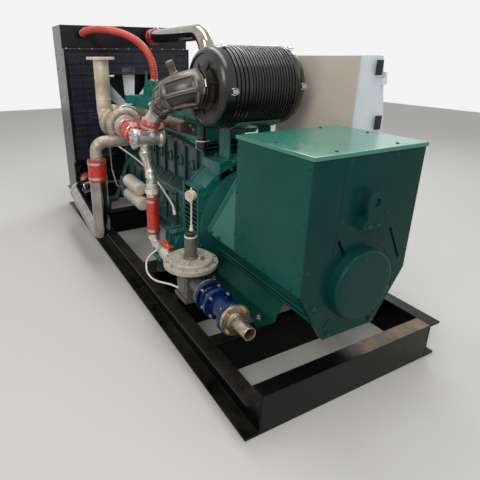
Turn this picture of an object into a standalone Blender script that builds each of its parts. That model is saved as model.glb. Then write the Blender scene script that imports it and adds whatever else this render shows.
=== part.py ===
# Solid model of a gas engine generator set on a steel skid, in metres, +Z up.
# The alternator end faces -Y, the radiator end +Y, and the gas and turbocharger side -X.
# The origin is the middle of the underside of the rear engine cross member.

import bpy
import bmesh
from math import acos, atan2, cos, pi, radians, sin, sqrt, tan
from mathutils import Matrix, Vector

# Fits and facets
SEAT = 0.0003
BITE = 0.002
OVERRUN = 0.01
ROUND_FACETS = 28
SMALL_FACETS = 14
HOSE_FACETS = 12
SHARP_ANGLE = radians(32)
BEND_STEPS = 4
BEND_TRIM_SHARE = 0.98

# Base frame of channels, with the side rails' flanges turned outwards
BASE_NEAR = 1.010
BASE_FAR_MARGIN = 0.085
BASE_HALF_WIDTH = 0.482
RAIL_HEIGHT = 0.160
RAIL_FLANGE = 0.062
RAIL_WEB = 0.007
RAIL_FLANGE_THICKNESS = 0.010
CROSS_WALL = 0.006
REAR_CROSS_WIDTH = 0.135
FRONT_CROSS_WIDTH = 0.072
FRONT_CROSS_Y = 0.9315
ALTERNATOR_CROSS_WIDTH = 0.060

# Shaft line shared by the alternator and the engine
CRANK_Z = 0.447

# Alternator
ALTERNATOR_END_Y = -0.955
TERMINAL_BOX_LENGTH = 0.409
ALTERNATOR_HALF_WIDTH = 0.2475
LID_TOP_Z = 0.9216
LID_THICKNESS = 0.014
LID_OVERHANG = 0.006
COVER_BOTTOM_DROP = 0.002
STATOR_RADIUS = 0.205
END_BRACKET_DEPTH = 0.028
END_FOOT_HALF_WIDTH = 0.1256
END_FOOT_DROP = 0.204
SIDE_COVER_THICKNESS = 0.012
SIDE_COVER_RISE = 0.330
SIDE_COVER_FAR_RISE = 0.019
SIDE_COVER_CLEARANCE = 0.006
ADAPTER_RADIUS = 0.255
ADAPTER_THICKNESS = 0.028
ADAPTER_NECK = 0.030
END_COVER_RADIUS = 0.147
END_COVER_DEPTH = 0.044
END_COVER_ROUNDING = 0.012
LUG_WIDTH = 0.075
LUG_HEIGHT = 0.090
LUG_THICKNESS = 0.012
LUG_STANDOFF = 0.020
LUG_HOLE_RADIUS = 0.013
LUG_RISE = 0.262
STATOR_RIB_HEIGHT = 0.010
STATOR_RIB_WIDTH = 0.014
ALTERNATOR_FOOT_NEAR_Y = -0.730
ALTERNATOR_FOOT_FAR_Y = -0.270
ALTERNATOR_FOOT_EDGE_X = 0.221
ALTERNATOR_FOOT_BEND_X = 0.163
ALTERNATOR_FOOT_ROOT_X = 0.125
ALTERNATOR_FOOT_TOP_Z = 0.197
ALTERNATOR_FOOT_THICKNESS = 0.008
ALTERNATOR_FOOT_HOLE_INSET = 0.050
ALTERNATOR_SPACER_RADIUS = 0.017

# Flywheel housing, its arms and the pad for the air filter bracket
HOUSING_NEAR_Y = -0.255
HOUSING_DEPTH = 0.160
HOUSING_HALF_WIDTH = 0.255
HOUSING_ARCH_RADIUS = 0.285
HOUSING_SHOULDER_RISE = 0.185
HOUSING_BOTTOM_DROP = 0.235
HOUSING_BOTTOM_HALF_WIDTH = 0.150
HOUSING_SIDE_DROP = 0.110
HOUSING_RIB_HEIGHT = 0.010
HOUSING_RIB_WIDTH = 0.012
HOUSING_RIBS = 5
HOUSING_RIB_START_SHARE = 0.6
HOUSING_RIB_RISE_SHARE = 0.8
REAR_ARM_TOP_Z = 0.385
REAR_ARM_REACH_X = 0.395
REAR_ARM_FOOT_TOP_Z = 0.255
REAR_ARM_FOOT_THICKNESS = 0.022
REAR_ARM_NEAR_Y = -0.085
REAR_ARM_FAR_Y = -0.015
REAR_ARM_LAP = 0.030
FILTER_PAD_HALF_WIDTH = 0.150
FILTER_PAD_RISE = 0.293

# Rubber mounts under the engine arms
MOUNT_X = 0.360
MOUNT_RADIUS = 0.031
MOUNT_WAIST = 0.026
MOUNT_WASHER = 0.004

# Engine block, sump and front arms
BLOCK_FRONT_Y = 0.970
CRANKCASE_HALF_WIDTH = 0.200
CRANKCASE_BOTTOM_Z = 0.300
CRANKCASE_TOP_Z = 0.520
DECK_HALF_WIDTH = 0.142
DECK_Z = 0.780
BLOCK_SHOULDER_Z = 0.570
BLOCK_RIB_REACH = 0.020
BLOCK_RIB_WIDTH = 0.014
BLOCK_RIB_INSET = 0.018
BLOCK_BAYS = 6
BLOCK_BAY_START_Y = -0.030
BLOCK_BAY_PITCH = 0.134
TIMING_COVER_DEPTH = 0.045
BEARING_TOWER_DEPTH = 0.025
FRONT_ARM_REACH_X = 0.390
FRONT_ARM_ROOT_Z = 0.500
FRONT_ARM_BEND_X = 0.290
FRONT_ARM_WIDTH = 0.060
SUMP_HALF_WIDTH = 0.165
SUMP_BOTTOM_Z = 0.185
SUMP_SHALLOW_Z = 0.235
SUMP_STEP_SHARE = 0.42
SUMP_END_INSET = 0.030
SUMP_DRAFT = 0.025

# Cylinder head with one finned rocker cover a cylinder, and the intake manifold
HEAD_HALF_WIDTH = 0.135
HEAD_TOP_Z = 0.950
ROCKER_HALF_WIDTH = 0.088
ROCKER_LENGTH = 0.116
ROCKER_HEIGHT = 0.070
ROCKER_TAPER = 0.012
ROCKER_FINS = 4
ROCKER_FIN_HEIGHT = 0.008
ROCKER_FIN_WIDTH = 0.006
THERMOSTAT_X = -0.030
THERMOSTAT_Y = 0.835
THERMOSTAT_TOP_Z = 1.065
THERMOSTAT_RADIUS = 0.0225
THERMOSTAT_BASE_RADIUS = 0.045
THERMOSTAT_BASE_HEIGHT = 0.045
INTAKE_X = 0.190
INTAKE_HALF_WIDTH = 0.045
INTAKE_BOTTOM_Z = 0.815
INTAKE_TOP_Z = 0.915
INTAKE_NECK_Y = 0.470
INTAKE_NECK_TOP_Z = 0.960
INTAKE_NECK_X = 0.196
INTAKE_NECK_FLANGE = 0.058
INTAKE_FLANGE_THICKNESS = 0.014

# Oil filters on their head, along the crankcase
FILTER_HEAD_Y = 0.705
FILTER_HEAD_LENGTH = 0.070
OIL_FILTER_X = -0.265
OIL_FILTER_Z_UPPER = 0.432
OIL_FILTER_Z_LOWER = 0.345
OIL_FILTER_RADIUS = 0.042
OIL_FILTER_LENGTH = 0.225
OIL_FILTER_ROUNDING = 0.010
OIL_FILTER_STAGGER = 0.035

# Exhaust manifold and turbocharger
MANIFOLD_X = -0.200
MANIFOLD_Z = 0.870
MANIFOLD_RADIUS = 0.033
RUNNER_RADIUS = 0.022
TURBO_X = -0.379
TURBO_Z = 0.836
TURBO_FLANGE_X = -0.262
TURBINE_NEAR_Y = 0.500
TURBINE_FAR_Y = 0.650
TURBINE_RADIUS = 0.088
TURBINE_OUTLET_RADIUS = 0.042
TURBINE_INLET_RADIUS = 0.036
COMPRESSOR_NEAR_Y = 0.330
COMPRESSOR_DISC_Y = 0.385
COMPRESSOR_FAR_Y = 0.435
COMPRESSOR_INLET_RADIUS = 0.040
COMPRESSOR_SHROUD_RADIUS = 0.062
VOLUTE_RADIUS = 0.076
VOLUTE_TUBE_START = 0.016
VOLUTE_TUBE_END = 0.032
VOLUTE_STEPS = 14
VOLUTE_WRAP_SHARE = 0.88
BEARING_RADIUS = 0.048
CHARGE_X = -0.545
COMPRESSOR_OUTLET_BEND = 0.052
COMPRESSOR_OUTLET_END_Z = 0.660

# Exhaust pipe behind the turbine
EXHAUST_Y = 0.755
EXHAUST_RADIUS = 0.044
EXHAUST_BEND = 0.062
EXHAUST_TOP_Z = 1.185
EXHAUST_FLANGE_RADIUS = 0.081
EXHAUST_FLANGE_THICKNESS = 0.013
EXHAUST_WALL = 0.004
EXHAUST_BORE_SHARE = 0.48
EXHAUST_STUB_SHARE = 0.693
EXHAUST_STUB_RADIUS = 0.006
EXHAUST_STUB_LENGTH = 0.036
EXHAUST_BAND_SHARE = 0.312
EXHAUST_BAND_HEIGHT = 0.008
EXHAUST_BAND_PROUD = 0.003

# Charge air pipes between the turbocharger, the radiator and the engine
CHARGE_RADIUS = 0.048
CHARGE_HOSE_RADIUS = 0.051
CHARGE_LOW_TOP_Z = 0.560
CHARGE_LOW_Z = 0.202
CHARGE_FAR_Z = 0.310
CHARGE_FAR_RUN = 0.140
CHARGE_INLET_X = -0.405
CHARGE_BEND = 0.105
CHARGE_FAR_TURN = 0.075
CHARGE_LOW_STUB = 0.065
CHARGE_HOSE_LENGTH = 0.075
CHARGE_TOP_X = 0.170
CHARGE_TOP_DROP = 0.068
CHARGE_TOP_STUB = 0.055
CHARGE_TOP_BEND = 0.110

# Radiator with its tanks, core, fan shroud and guard
RADIATOR_HALF_WIDTH = 0.478
RADIATOR_NEAR_Y = 1.355
RADIATOR_DEPTH = 0.280
RADIATOR_TOP_Z = 1.390
RADIATOR_TANK_HEIGHT = 0.150
RADIATOR_SIDE_THICKNESS = 0.046
RADIATOR_FOOT_Z = 0.245
CORE_INSET = 0.125
CORE_DEPTH = 0.120
CORE_FIN_DEPTH = 0.004
CORE_FINS = 16
SHROUD_INSET = 0.045
SHROUD_THICKNESS = 0.006
GUARD_STANDOUT = 0.045
GUARD_THICKNESS = 0.004
GUARD_TOP_CLEARANCE = 0.003
GUARD_BOTTOM_Z = 0.440
GUARD_BAR = 0.007
GUARD_EDGE = 0.024
GUARD_CUT_HALF_WIDTH = 0.170
GUARD_CUT_DROP = 0.177
GUARD_BAYS_HIGH = 9
GUARD_BAYS_WIDE = 6
COOLANT_STUB_X = -0.335
COOLANT_STUB_DROP = 0.055
COOLANT_RADIUS = 0.024
COOLANT_STUB_LENGTH = 0.055
COOLANT_RISE = 0.050
COOLANT_REACH = 0.300
COOLANT_SIDE_REACH = 0.060
COOLANT_DROP = 0.400
COOLANT_STEPS = 18

# Fan, its drive and the belt
FAN_RISE_SHARE = 0.5376884
FAN_RADIUS_SHARE = 0.3316583
FAN_STANDOUT = 0.010
FAN_DEPTH = 0.070
FAN_HUB_RADIUS = 0.085
FAN_BLADES = 8
FAN_ROOT_CHORD = 0.075
FAN_TIP_CHORD = 0.095
FAN_ROOT_PITCH = radians(42)
FAN_TIP_PITCH = radians(24)
FAN_BLADE_THICKNESS = 0.004
FAN_BLADE_STEPS = 4
FAN_SHAFT_RADIUS = 0.034
FAN_TIP_CLEARANCE = 0.015
FAN_BEARING_RADIUS = 0.050
PULLEY_NEAR_Y = 1.020
PULLEY_WIDTH = 0.034
FAN_PULLEY_RADIUS = 0.078
CRANK_PULLEY_RADIUS = 0.095
CRANK_HUB_RADIUS = 0.036
BELT_THICKNESS = 0.009
BELT_WIDTH = 0.024
BELT_CLEARANCE = 0.0008
BELT_STEPS = 16
RUNNING_GAP = 0.0008

# Air filter on its saddle bracket, and the moulded elbow
AIR_FILTER_Y = -0.209
AIR_FILTER_Z = 1.063
AIR_FILTER_RADIUS = 0.173
AIR_FILTER_LEFT_X = -0.213
AIR_FILTER_RIGHT_X = 0.214
AIR_FILTER_CAP_LENGTH = 0.075
AIR_FILTER_GROOVES = 12
AIR_FILTER_GROOVE_DEPTH = 0.003
AIR_FILTER_ROUNDING = 0.022
AIR_FILTER_NECK_RADIUS = 0.074
AIR_FILTER_NECK_LENGTH = 0.020
DUST_BOWL_X = -0.150
DUST_BOWL_RADIUS = 0.034
DUST_BOWL_LENGTH = 0.050
BRACKET_HALF_WIDTH = 0.125
BRACKET_PLATE = 0.008
BRACKET_HALF_DEPTH = 0.045
BRACKET_WRAP = radians(38)
ELBOW_RADIUS = 0.080
ELBOW_END_RADIUS = 0.046
ELBOW_REACH_X = -0.363
ELBOW_BEND = 0.088
ELBOW_DROP = 0.010
ELBOW_TAIL = 0.052
ELBOW_END_X = -0.297
ELBOW_END_Y = 0.096
ELBOW_END_Z = 0.936
ELBOW_STEPS = 7

# Gas mixer, with the silver inlet tube and the red hoses on it
MIXER_Y = 0.140
MIXER_Z = 0.808
MIXER_LEFT_X = -0.420
MIXER_RIGHT_X = -0.262
MIXER_RADIUS = 0.048
MIXER_COVER_RADIUS = 0.0585
MIXER_COVER_THICKNESS = 0.016
MIXER_PORT_X = -0.315
MIXER_PORT_TOP_Z = 0.867
MIXER_PORT_RADIUS = 0.050
MIXER_HOSE_RADIUS = 0.056
MIXER_HOSE_HEIGHT = 0.024
MIXER_OUTLET_RADIUS = 0.038
MIXER_OUTLET_Y = 0.205
INLET_TUBE_RADIUS = 0.042
TUBE_STEPS = 5
COMPRESSOR_HOSE_RADIUS = 0.050

# Gas train: riser, ball valve, regulator, flame arrester and inlet
GAS_X = -0.380
GAS_Z = 0.298
RISER_Y = 0.004
RISER_HOSE_BOTTOM_Z = 0.349
RISER_HOSE_TOP_Z = 0.544
RISER_HOSE_RADIUS = 0.0315
RISER_RADIUS = 0.025
RISER_NUT_RADIUS = 0.034
RISER_NUT_HEIGHT = 0.028
RISER_BEND_Z = 0.640
RISER_BEND = 0.034
MIXER_GAS_PORT_Z = 0.745
MIXER_GAS_PORT_X = -0.355
GAS_PIPE_RADIUS = 0.024
GAS_ELBOW_BEND = 0.040
VALVE_Y = -0.170
VALVE_RADIUS = 0.034
VALVE_LENGTH = 0.080
VALVE_STEM_RADIUS = 0.008
VALVE_STEM_TOP_Z = 0.345
HANDLE_LENGTH = 0.088
HANDLE_WIDTH = 0.024
HANDLE_THICKNESS = 0.007
HANDLE_WING_LIFT = 0.014
REGULATOR_Y = -0.417
REGULATOR_RADIUS = 0.1175
REGULATOR_DISC_Z = 0.372
REGULATOR_DISC_THICKNESS = 0.020
REGULATOR_BODY_RADIUS = 0.052
REGULATOR_BODY_BOTTOM_Z = 0.205
REGULATOR_NECK_RADIUS = 0.034
REGULATOR_OUTLET_LENGTH = 0.085
REGULATOR_TOWER_RADIUS = 0.027
REGULATOR_TOWER_TOP_Z = 0.488
REGULATOR_CAP_TOP_Z = 0.520
REGULATOR_CAP_SHARE = 0.8
REGULATOR_CASE_LOW_SHARE = 0.75
REGULATOR_CASE_TOP_SHARE = 0.85
GAUGE_Z = 0.672
GAUGE_RADIUS = 0.0225
GAUGE_THICKNESS = 0.024
GAUGE_STEM_RADIUS = 0.0045
GAUGE_LEAN_Y = 0.020
ARRESTER_NEAR_Y = -0.762
ARRESTER_MIDDLE_Y = -0.640
ARRESTER_FAR_Y = -0.574
ARRESTER_FLANGE_RADIUS = 0.066
ARRESTER_FLANGE_THICKNESS = 0.016
ARRESTER_BODY_RADIUS = 0.042
GAS_FLANGE_RADIUS = 0.062
GAS_FLANGE_THICKNESS = 0.015
INLET_STUB_RADIUS = 0.026
INLET_STUB_BORE = 0.021
INLET_STUB_LENGTH = 0.090
IMPULSE_RADIUS = 0.0035
IMPULSE_LOOP = 0.055
IMPULSE_DROP = 0.050
IMPULSE_BEND = 0.016

# Control cabinet on its stand, with a sloping door on the right
CABINET_NEAR_Y = -0.560
CABINET_LENGTH = 0.500
CABINET_BACK_X = 0.304
CABINET_TOP_X = 0.4335
CABINET_TOP_Z = 1.195
CABINET_BOTTOM_Z = 0.620
CABINET_SLOPE = radians(11.6)
CABINET_WALL = 0.003
CABINET_LIP = 0.018
DOOR_THICKNESS = 0.018
DOOR_GAP = 0.0008
DOOR_MARGIN = 0.004
DOOR_PAN_DEPTH = 0.012
DOOR_PAN_WALL = 0.004
HINGE_RADIUS = 0.005
HINGE_LENGTH = 0.050
HINGE_INSET = 0.070
HINGE_OFFSET = 0.008
LATCH_RADIUS = 0.012
LATCH_HEIGHT = 0.010
LATCH_INSET = 0.035
STAND_POST = 0.040
STAND_POST_INSET = 0.060
STAND_BEAM_HEIGHT = 0.040
STAND_POST_EDGE = 0.030

# Worked out from the sizes above
RAIL_WEB_X = BASE_HALF_WIDTH - RAIL_FLANGE
LID_BOTTOM_Z = LID_TOP_Z - LID_THICKNESS
COVER_BOTTOM_Z = CRANK_Z - COVER_BOTTOM_DROP
BOX_FAR_Y = ALTERNATOR_END_Y + TERMINAL_BOX_LENGTH
ADAPTER_FAR_Y = HOUSING_NEAR_Y - SEAT
ADAPTER_NEAR_Y = ADAPTER_FAR_Y - ADAPTER_THICKNESS
HOUSING_FAR_Y = HOUSING_NEAR_Y + HOUSING_DEPTH
HOUSING_PAD_Z = CRANK_Z + FILTER_PAD_RISE
BLOCK_NEAR_Y = HOUSING_FAR_Y + SEAT
TIMING_NEAR_Y = BLOCK_FRONT_Y - TIMING_COVER_DEPTH
ARM_UNDER_Z = REAR_ARM_FOOT_TOP_Z - REAR_ARM_FOOT_THICKNESS
REAR_MOUNT_Y = (REAR_ARM_NEAR_Y + REAR_ARM_FAR_Y) / 2
PULLEY_FAR_Y = PULLEY_NEAR_Y + PULLEY_WIDTH
REGULATOR_NEAR_Y = ARRESTER_FAR_Y + SEAT
REGULATOR_FAR_Y = REGULATOR_Y + REGULATOR_OUTLET_LENGTH
CABINET_FAR_Y = CABINET_NEAR_Y + CABINET_LENGTH
CABINET_HEIGHT = CABINET_TOP_Z - CABINET_BOTTOM_Z
CABINET_BOTTOM_X = CABINET_TOP_X + CABINET_HEIGHT * tan(CABINET_SLOPE)
STAND_POST_X = BASE_HALF_WIDTH - STAND_POST_EDGE
EXHAUST_RISE = EXHAUST_TOP_Z - TURBO_Z
EXHAUST_BORE_DEPTH = EXHAUST_RISE * EXHAUST_BORE_SHARE
EXHAUST_STUB_Z = TURBO_Z + EXHAUST_RISE * EXHAUST_STUB_SHARE
EXHAUST_BAND_Z = TURBO_Z + EXHAUST_RISE * EXHAUST_BAND_SHARE
RADIATOR_FAR_Y = RADIATOR_NEAR_Y + RADIATOR_DEPTH
RADIATOR_TANK_BOTTOM_Z = RADIATOR_TOP_Z - RADIATOR_TANK_HEIGHT
RADIATOR_OPENING = RADIATOR_TANK_BOTTOM_Z - RADIATOR_FOOT_Z
BASE_FAR = RADIATOR_FAR_Y + BASE_FAR_MARGIN
CORE_NEAR_Y = RADIATOR_NEAR_Y + CORE_INSET
CORE_FAR_Y = CORE_NEAR_Y + CORE_DEPTH
SHROUD_NEAR_Y = RADIATOR_NEAR_Y + SHROUD_INSET
GUARD_NEAR_Y = RADIATOR_NEAR_Y - GUARD_STANDOUT
GUARD_TOP_Z = RADIATOR_TANK_BOTTOM_Z - GUARD_TOP_CLEARANCE
GUARD_CUT_TOP_Z = GUARD_TOP_Z - GUARD_CUT_DROP
COOLANT_STUB_Z = RADIATOR_TOP_Z - COOLANT_STUB_DROP
COOLANT_STUB_Y = RADIATOR_NEAR_Y - COOLANT_STUB_LENGTH
CHARGE_LOW_HOSE_END_Y = RADIATOR_NEAR_Y - CHARGE_LOW_STUB
CHARGE_LOW_END_Y = CHARGE_LOW_HOSE_END_Y - CHARGE_HOSE_LENGTH
CHARGE_FAR_Y = CHARGE_LOW_END_Y - CHARGE_FAR_RUN
CHARGE_TOP_Z = RADIATOR_TOP_Z - CHARGE_TOP_DROP
CHARGE_TOP_HOSE_END_Y = RADIATOR_NEAR_Y - CHARGE_TOP_STUB
CHARGE_TOP_START_Y = CHARGE_TOP_HOSE_END_Y - CHARGE_HOSE_LENGTH
FAN_Z = RADIATOR_FOOT_Z + RADIATOR_OPENING * FAN_RISE_SHARE
FAN_RADIUS = RADIATOR_OPENING * FAN_RADIUS_SHARE
FAN_NEAR_Y = RADIATOR_NEAR_Y - FAN_STANDOUT
FAN_FAR_Y = FAN_NEAR_Y + FAN_DEPTH


def clear_scene():
    for item in list(bpy.data.objects):
        bpy.data.objects.remove(item, do_unlink=True)


def paint(name, colour, roughness, metallic=0.0):
    material = bpy.data.materials.new(name)
    material.use_nodes = True
    shader = material.node_tree.nodes["Principled BSDF"]
    shader.inputs["Base Color"].default_value = (*colour, 1.0)
    shader.inputs["Roughness"].default_value = roughness
    shader.inputs["Metallic"].default_value = metallic
    return material


def solid(bm, place=(0, 0, 0)):
    bmesh.ops.recalc_face_normals(bm, faces=bm.faces)
    mesh = bpy.data.meshes.new("shape")
    bm.to_mesh(mesh)
    bm.free()
    shape = bpy.data.objects.new("shape", mesh)
    shape.location = place
    bpy.context.collection.objects.link(shape)
    return shape


def axis_point(axis, along, across, up):
    # across and up are the two other axes in X, Y, Z order
    if axis == "X":
        return (along, across, up)
    if axis == "Y":
        return (across, along, up)
    return (across, up, along)


def prism(outline, start, end, axis):
    bm = bmesh.new()
    near = [bm.verts.new(axis_point(axis, start, a, b)) for a, b in outline]
    far = [bm.verts.new(axis_point(axis, end, a, b)) for a, b in outline]
    bm.faces.new(near)
    bm.faces.new(far)
    for index in range(len(outline)):
        after = (index + 1) % len(outline)
        bm.faces.new((near[index], near[after], far[after], far[index]))
    return solid(bm)


def block(low, high):
    outline = [(low[0], low[1]), (high[0], low[1]), (high[0], high[1]), (low[0], high[1])]
    return prism(outline, low[2], high[2], "Z")


def turned(profile, axis, centre, facets, closed=False):
    # profile holds (radius, place along the axis), and centre the two other coordinates
    bm = bmesh.new()
    rings = []
    for radius, along in profile:
        if radius == 0:
            rings.append([bm.verts.new(axis_point(axis, along, centre[0], centre[1]))])
            continue
        ring = []
        for step in range(facets):
            angle = 2 * pi * (step + 0.5) / facets
            across = centre[0] + radius * cos(angle)
            up = centre[1] + radius * sin(angle)
            ring.append(bm.verts.new(axis_point(axis, along, across, up)))
        rings.append(ring)
    pairs = list(zip(rings, rings[1:]))
    if closed:
        pairs.append((rings[-1], rings[0]))
    for ring, following in pairs:
        stitch(bm, ring, following)
    return solid(bm)


def stitch(bm, ring, following):
    count = max(len(ring), len(following))
    for step in range(count):
        after = (step + 1) % count
        if len(ring) == 1:
            bm.faces.new((ring[0], following[step], following[after]))
        elif len(following) == 1:
            bm.faces.new((ring[step], ring[after], following[0]))
        else:
            bm.faces.new((ring[step], ring[after], following[after], following[step]))


def cylinder(radius, start, end, axis, centre, facets=SMALL_FACETS):
    return turned([(0, start), (radius, start), (radius, end), (0, end)], axis, centre, facets)


def swept(points, radii, facets, leaving=None, arriving=None):
    # a round tube along points, whose ring never twists between them
    points = [Vector(point) for point in points]
    if not isinstance(radii, (list, tuple)):
        radii = [radii] * len(points)
    bm = bmesh.new()
    rings = []
    side = None
    for index, point in enumerate(points):
        before = points[max(index - 1, 0)]
        after = points[min(index + 1, len(points) - 1)]
        heading = (after - before).normalized()
        if index == 0 and leaving is not None:
            heading = Vector(leaving).normalized()
        if index == len(points) - 1 and arriving is not None:
            heading = Vector(arriving).normalized()
        if side is None:
            side = heading.orthogonal().normalized()
        side = (side - heading * side.dot(heading)).normalized()
        other = heading.cross(side)
        ring = []
        for step in range(facets):
            angle = 2 * pi * (step + 0.5) / facets
            offset = side * cos(angle) + other * sin(angle)
            ring.append(bm.verts.new(point + offset * radii[index]))
        rings.append(ring)
    for ring, following in zip(rings, rings[1:]):
        stitch(bm, ring, following)
    bm.faces.new(rings[0])
    bm.faces.new(rings[-1])
    return solid(bm)


def bent_route(corners, bend, steps=BEND_STEPS):
    # straight runs joined by round bends whose middle line has the radius bend
    corners = [Vector(corner) for corner in corners]
    route = [corners[0]]
    for before, corner, after in zip(corners, corners[1:], corners[2:]):
        inward = (before - corner).normalized()
        outward = (after - corner).normalized()
        opening = acos(max(-1, min(1, inward.dot(outward))))
        if pi - opening < radians(1):
            route.append(corner)
            continue
        legs = ((before - corner).length, (after - corner).length)
        trim = min(bend / tan(opening / 2), min(legs) * BEND_TRIM_SHARE)
        radius = trim * tan(opening / 2)
        middle = corner + (inward + outward).normalized() * (radius / sin(opening / 2))
        start = corner + inward * trim - middle
        end = corner + outward * trim - middle
        turn = pi - opening
        for step in range(steps + 1):
            share = step / steps
            blended = start * sin((1 - share) * turn) + end * sin(share * turn)
            route.append(middle + blended / sin(turn))
    route.append(corners[-1])
    return route


def swinging_route(start, leaving, end, arriving, steps):
    # one cubic curve that leaves start along leaving and reaches end along arriving
    start = Vector(start)
    end = Vector(end)
    first = start + Vector(leaving)
    second = end - Vector(arriving)
    route = []
    for step in range(steps + 1):
        t = step / steps
        near = start * (1 - t) ** 3 + first * (3 * t * (1 - t) ** 2)
        route.append(near + second * (3 * t ** 2 * (1 - t)) + end * t ** 3)
    return route


def combine(piece, tool, operation):
    modifier = piece.modifiers.new("combine", "BOOLEAN")
    modifier.operation = operation
    modifier.solver = "EXACT"
    modifier.object = tool
    bpy.context.view_layer.update()
    depsgraph = bpy.context.evaluated_depsgraph_get()
    mesh = bpy.data.meshes.new_from_object(piece.evaluated_get(depsgraph))
    piece.modifiers.clear()
    piece.data = mesh
    bpy.data.objects.remove(tool, do_unlink=True)
    return piece


def join(piece, *tools):
    for tool in tools:
        combine(piece, tool, "UNION")
    return piece


def cut(piece, *tools):
    for tool in tools:
        combine(piece, tool, "DIFFERENCE")
    return piece


def finish(name, piece, material, parent, origin=None):
    piece.name = name
    piece.data.name = name
    piece.data.materials.clear()
    piece.data.materials.append(material)
    if origin is not None:
        piece.data.transform(Matrix.Translation(-Vector(origin)))
        piece.location = origin
    piece.data.shade_smooth()
    piece.data.set_sharp_from_angle(angle=SHARP_ANGLE)
    piece.parent = parent
    return piece


def arc(centre, radius, start, end, steps):
    points = []
    for step in range(steps + 1):
        angle = start + (end - start) * step / steps
        points.append((centre[0] + radius * cos(angle), centre[1] + radius * sin(angle)))
    return points


# Base frame

def side_rail(side):
    outer = side * BASE_HALF_WIDTH
    inner = side * RAIL_WEB_X
    web = side * (RAIL_WEB_X + RAIL_WEB)
    lip = RAIL_FLANGE_THICKNESS
    outline = [(inner, 0), (outer, 0), (outer, lip), (web, lip)]
    outline += [(web, RAIL_HEIGHT - lip), (outer, RAIL_HEIGHT - lip)]
    outline += [(outer, RAIL_HEIGHT), (inner, RAIL_HEIGHT)]
    return prism(outline, -BASE_NEAR, BASE_FAR, "Y")


def end_rail(end_y, inward):
    web = end_y + inward * RAIL_WEB
    tip = end_y + inward * RAIL_FLANGE
    lip = RAIL_FLANGE_THICKNESS
    outline = [(end_y, 0), (tip, 0), (tip, lip), (web, lip)]
    outline += [(web, RAIL_HEIGHT - lip), (tip, RAIL_HEIGHT - lip)]
    outline += [(tip, RAIL_HEIGHT), (end_y, RAIL_HEIGHT)]
    reach = RAIL_WEB_X - SEAT
    return prism(outline, -reach, reach, "X")


def cross_member(middle_y, width):
    reach = RAIL_WEB_X - SEAT
    half = width / 2
    beam = block((-reach, middle_y - half, 0), (reach, middle_y + half, RAIL_HEIGHT))
    hollow_low = (-reach - OVERRUN, middle_y - half + CROSS_WALL, CROSS_WALL)
    hollow_high = (reach + OVERRUN, middle_y + half - CROSS_WALL, RAIL_HEIGHT - CROSS_WALL)
    return cut(beam, block(hollow_low, hollow_high))


def build_base(paints, root):
    black = paints["frame"]
    finish("base_left_rail", side_rail(-1), black, root)
    finish("base_right_rail", side_rail(1), black, root)
    finish("base_near_rail", end_rail(-BASE_NEAR, 1), black, root)
    finish("base_far_rail", end_rail(BASE_FAR, -1), black, root)
    finish("base_rear_engine_beam", cross_member(0, REAR_CROSS_WIDTH), black, root)
    finish("base_front_engine_beam", cross_member(FRONT_CROSS_Y, FRONT_CROSS_WIDTH), black, root)
    near = ALTERNATOR_FOOT_NEAR_Y + ALTERNATOR_FOOT_HOLE_INSET
    far = ALTERNATOR_FOOT_FAR_Y - ALTERNATOR_FOOT_HOLE_INSET
    finish("base_alternator_near_beam", cross_member(near, ALTERNATOR_CROSS_WIDTH), black, root)
    finish("base_alternator_far_beam", cross_member(far, ALTERNATOR_CROSS_WIDTH), black, root)


# Alternator

def alternator_foot(side):
    top = ALTERNATOR_FOOT_TOP_Z
    under = top - ALTERNATOR_FOOT_THICKNESS
    root_z = CRANK_Z - sqrt(STATOR_RADIUS ** 2 - ALTERNATOR_FOOT_ROOT_X ** 2) + BITE
    edge = side * ALTERNATOR_FOOT_EDGE_X
    bend = side * ALTERNATOR_FOOT_BEND_X
    root_outer = side * ALTERNATOR_FOOT_ROOT_X
    root_inner = side * (ALTERNATOR_FOOT_ROOT_X - ALTERNATOR_FOOT_THICKNESS)
    outline = [(edge, under), (edge, top), (bend, top), (root_outer, root_z + BITE)]
    outline += [(root_inner, root_z), (bend - side * ALTERNATOR_FOOT_THICKNESS / 2, under)]
    foot = prism(outline, ALTERNATOR_FOOT_NEAR_Y, ALTERNATOR_FOOT_FAR_Y, "Y")
    spacer_x = edge - side * ALTERNATOR_SPACER_RADIUS
    near = ALTERNATOR_FOOT_NEAR_Y + ALTERNATOR_FOOT_HOLE_INSET
    far = ALTERNATOR_FOOT_FAR_Y - ALTERNATOR_FOOT_HOLE_INSET
    for y in (near, far):
        low = RAIL_HEIGHT + SEAT
        join(foot, cylinder(ALTERNATOR_SPACER_RADIUS, low, under + BITE, "Z", (spacer_x, y)))
    return foot


def alternator_frame():
    start = ALTERNATOR_END_Y + END_BRACKET_DEPTH + SEAT
    neck = ADAPTER_NEAR_Y - ADAPTER_NECK
    profile = [(0, start), (STATOR_RADIUS, start), (STATOR_RADIUS, neck)]
    profile += [(ADAPTER_RADIUS, ADAPTER_NEAR_Y), (ADAPTER_RADIUS, ADAPTER_FAR_Y), (0, ADAPTER_FAR_Y)]
    frame = turned(profile, "Y", (0, CRANK_Z), ROUND_FACETS)
    for angle in (radians(218), radians(234), radians(306), radians(322)):
        reach = STATOR_RADIUS - STATOR_RIB_HEIGHT / 2
        x = reach * cos(angle)
        z = CRANK_Z + reach * sin(angle)
        bar = cylinder(STATOR_RIB_WIDTH, start, neck, "Y", (x, z), SMALL_FACETS // 2)
        join(frame, bar)
    join(frame, alternator_foot(-1), alternator_foot(1))
    return frame


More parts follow.
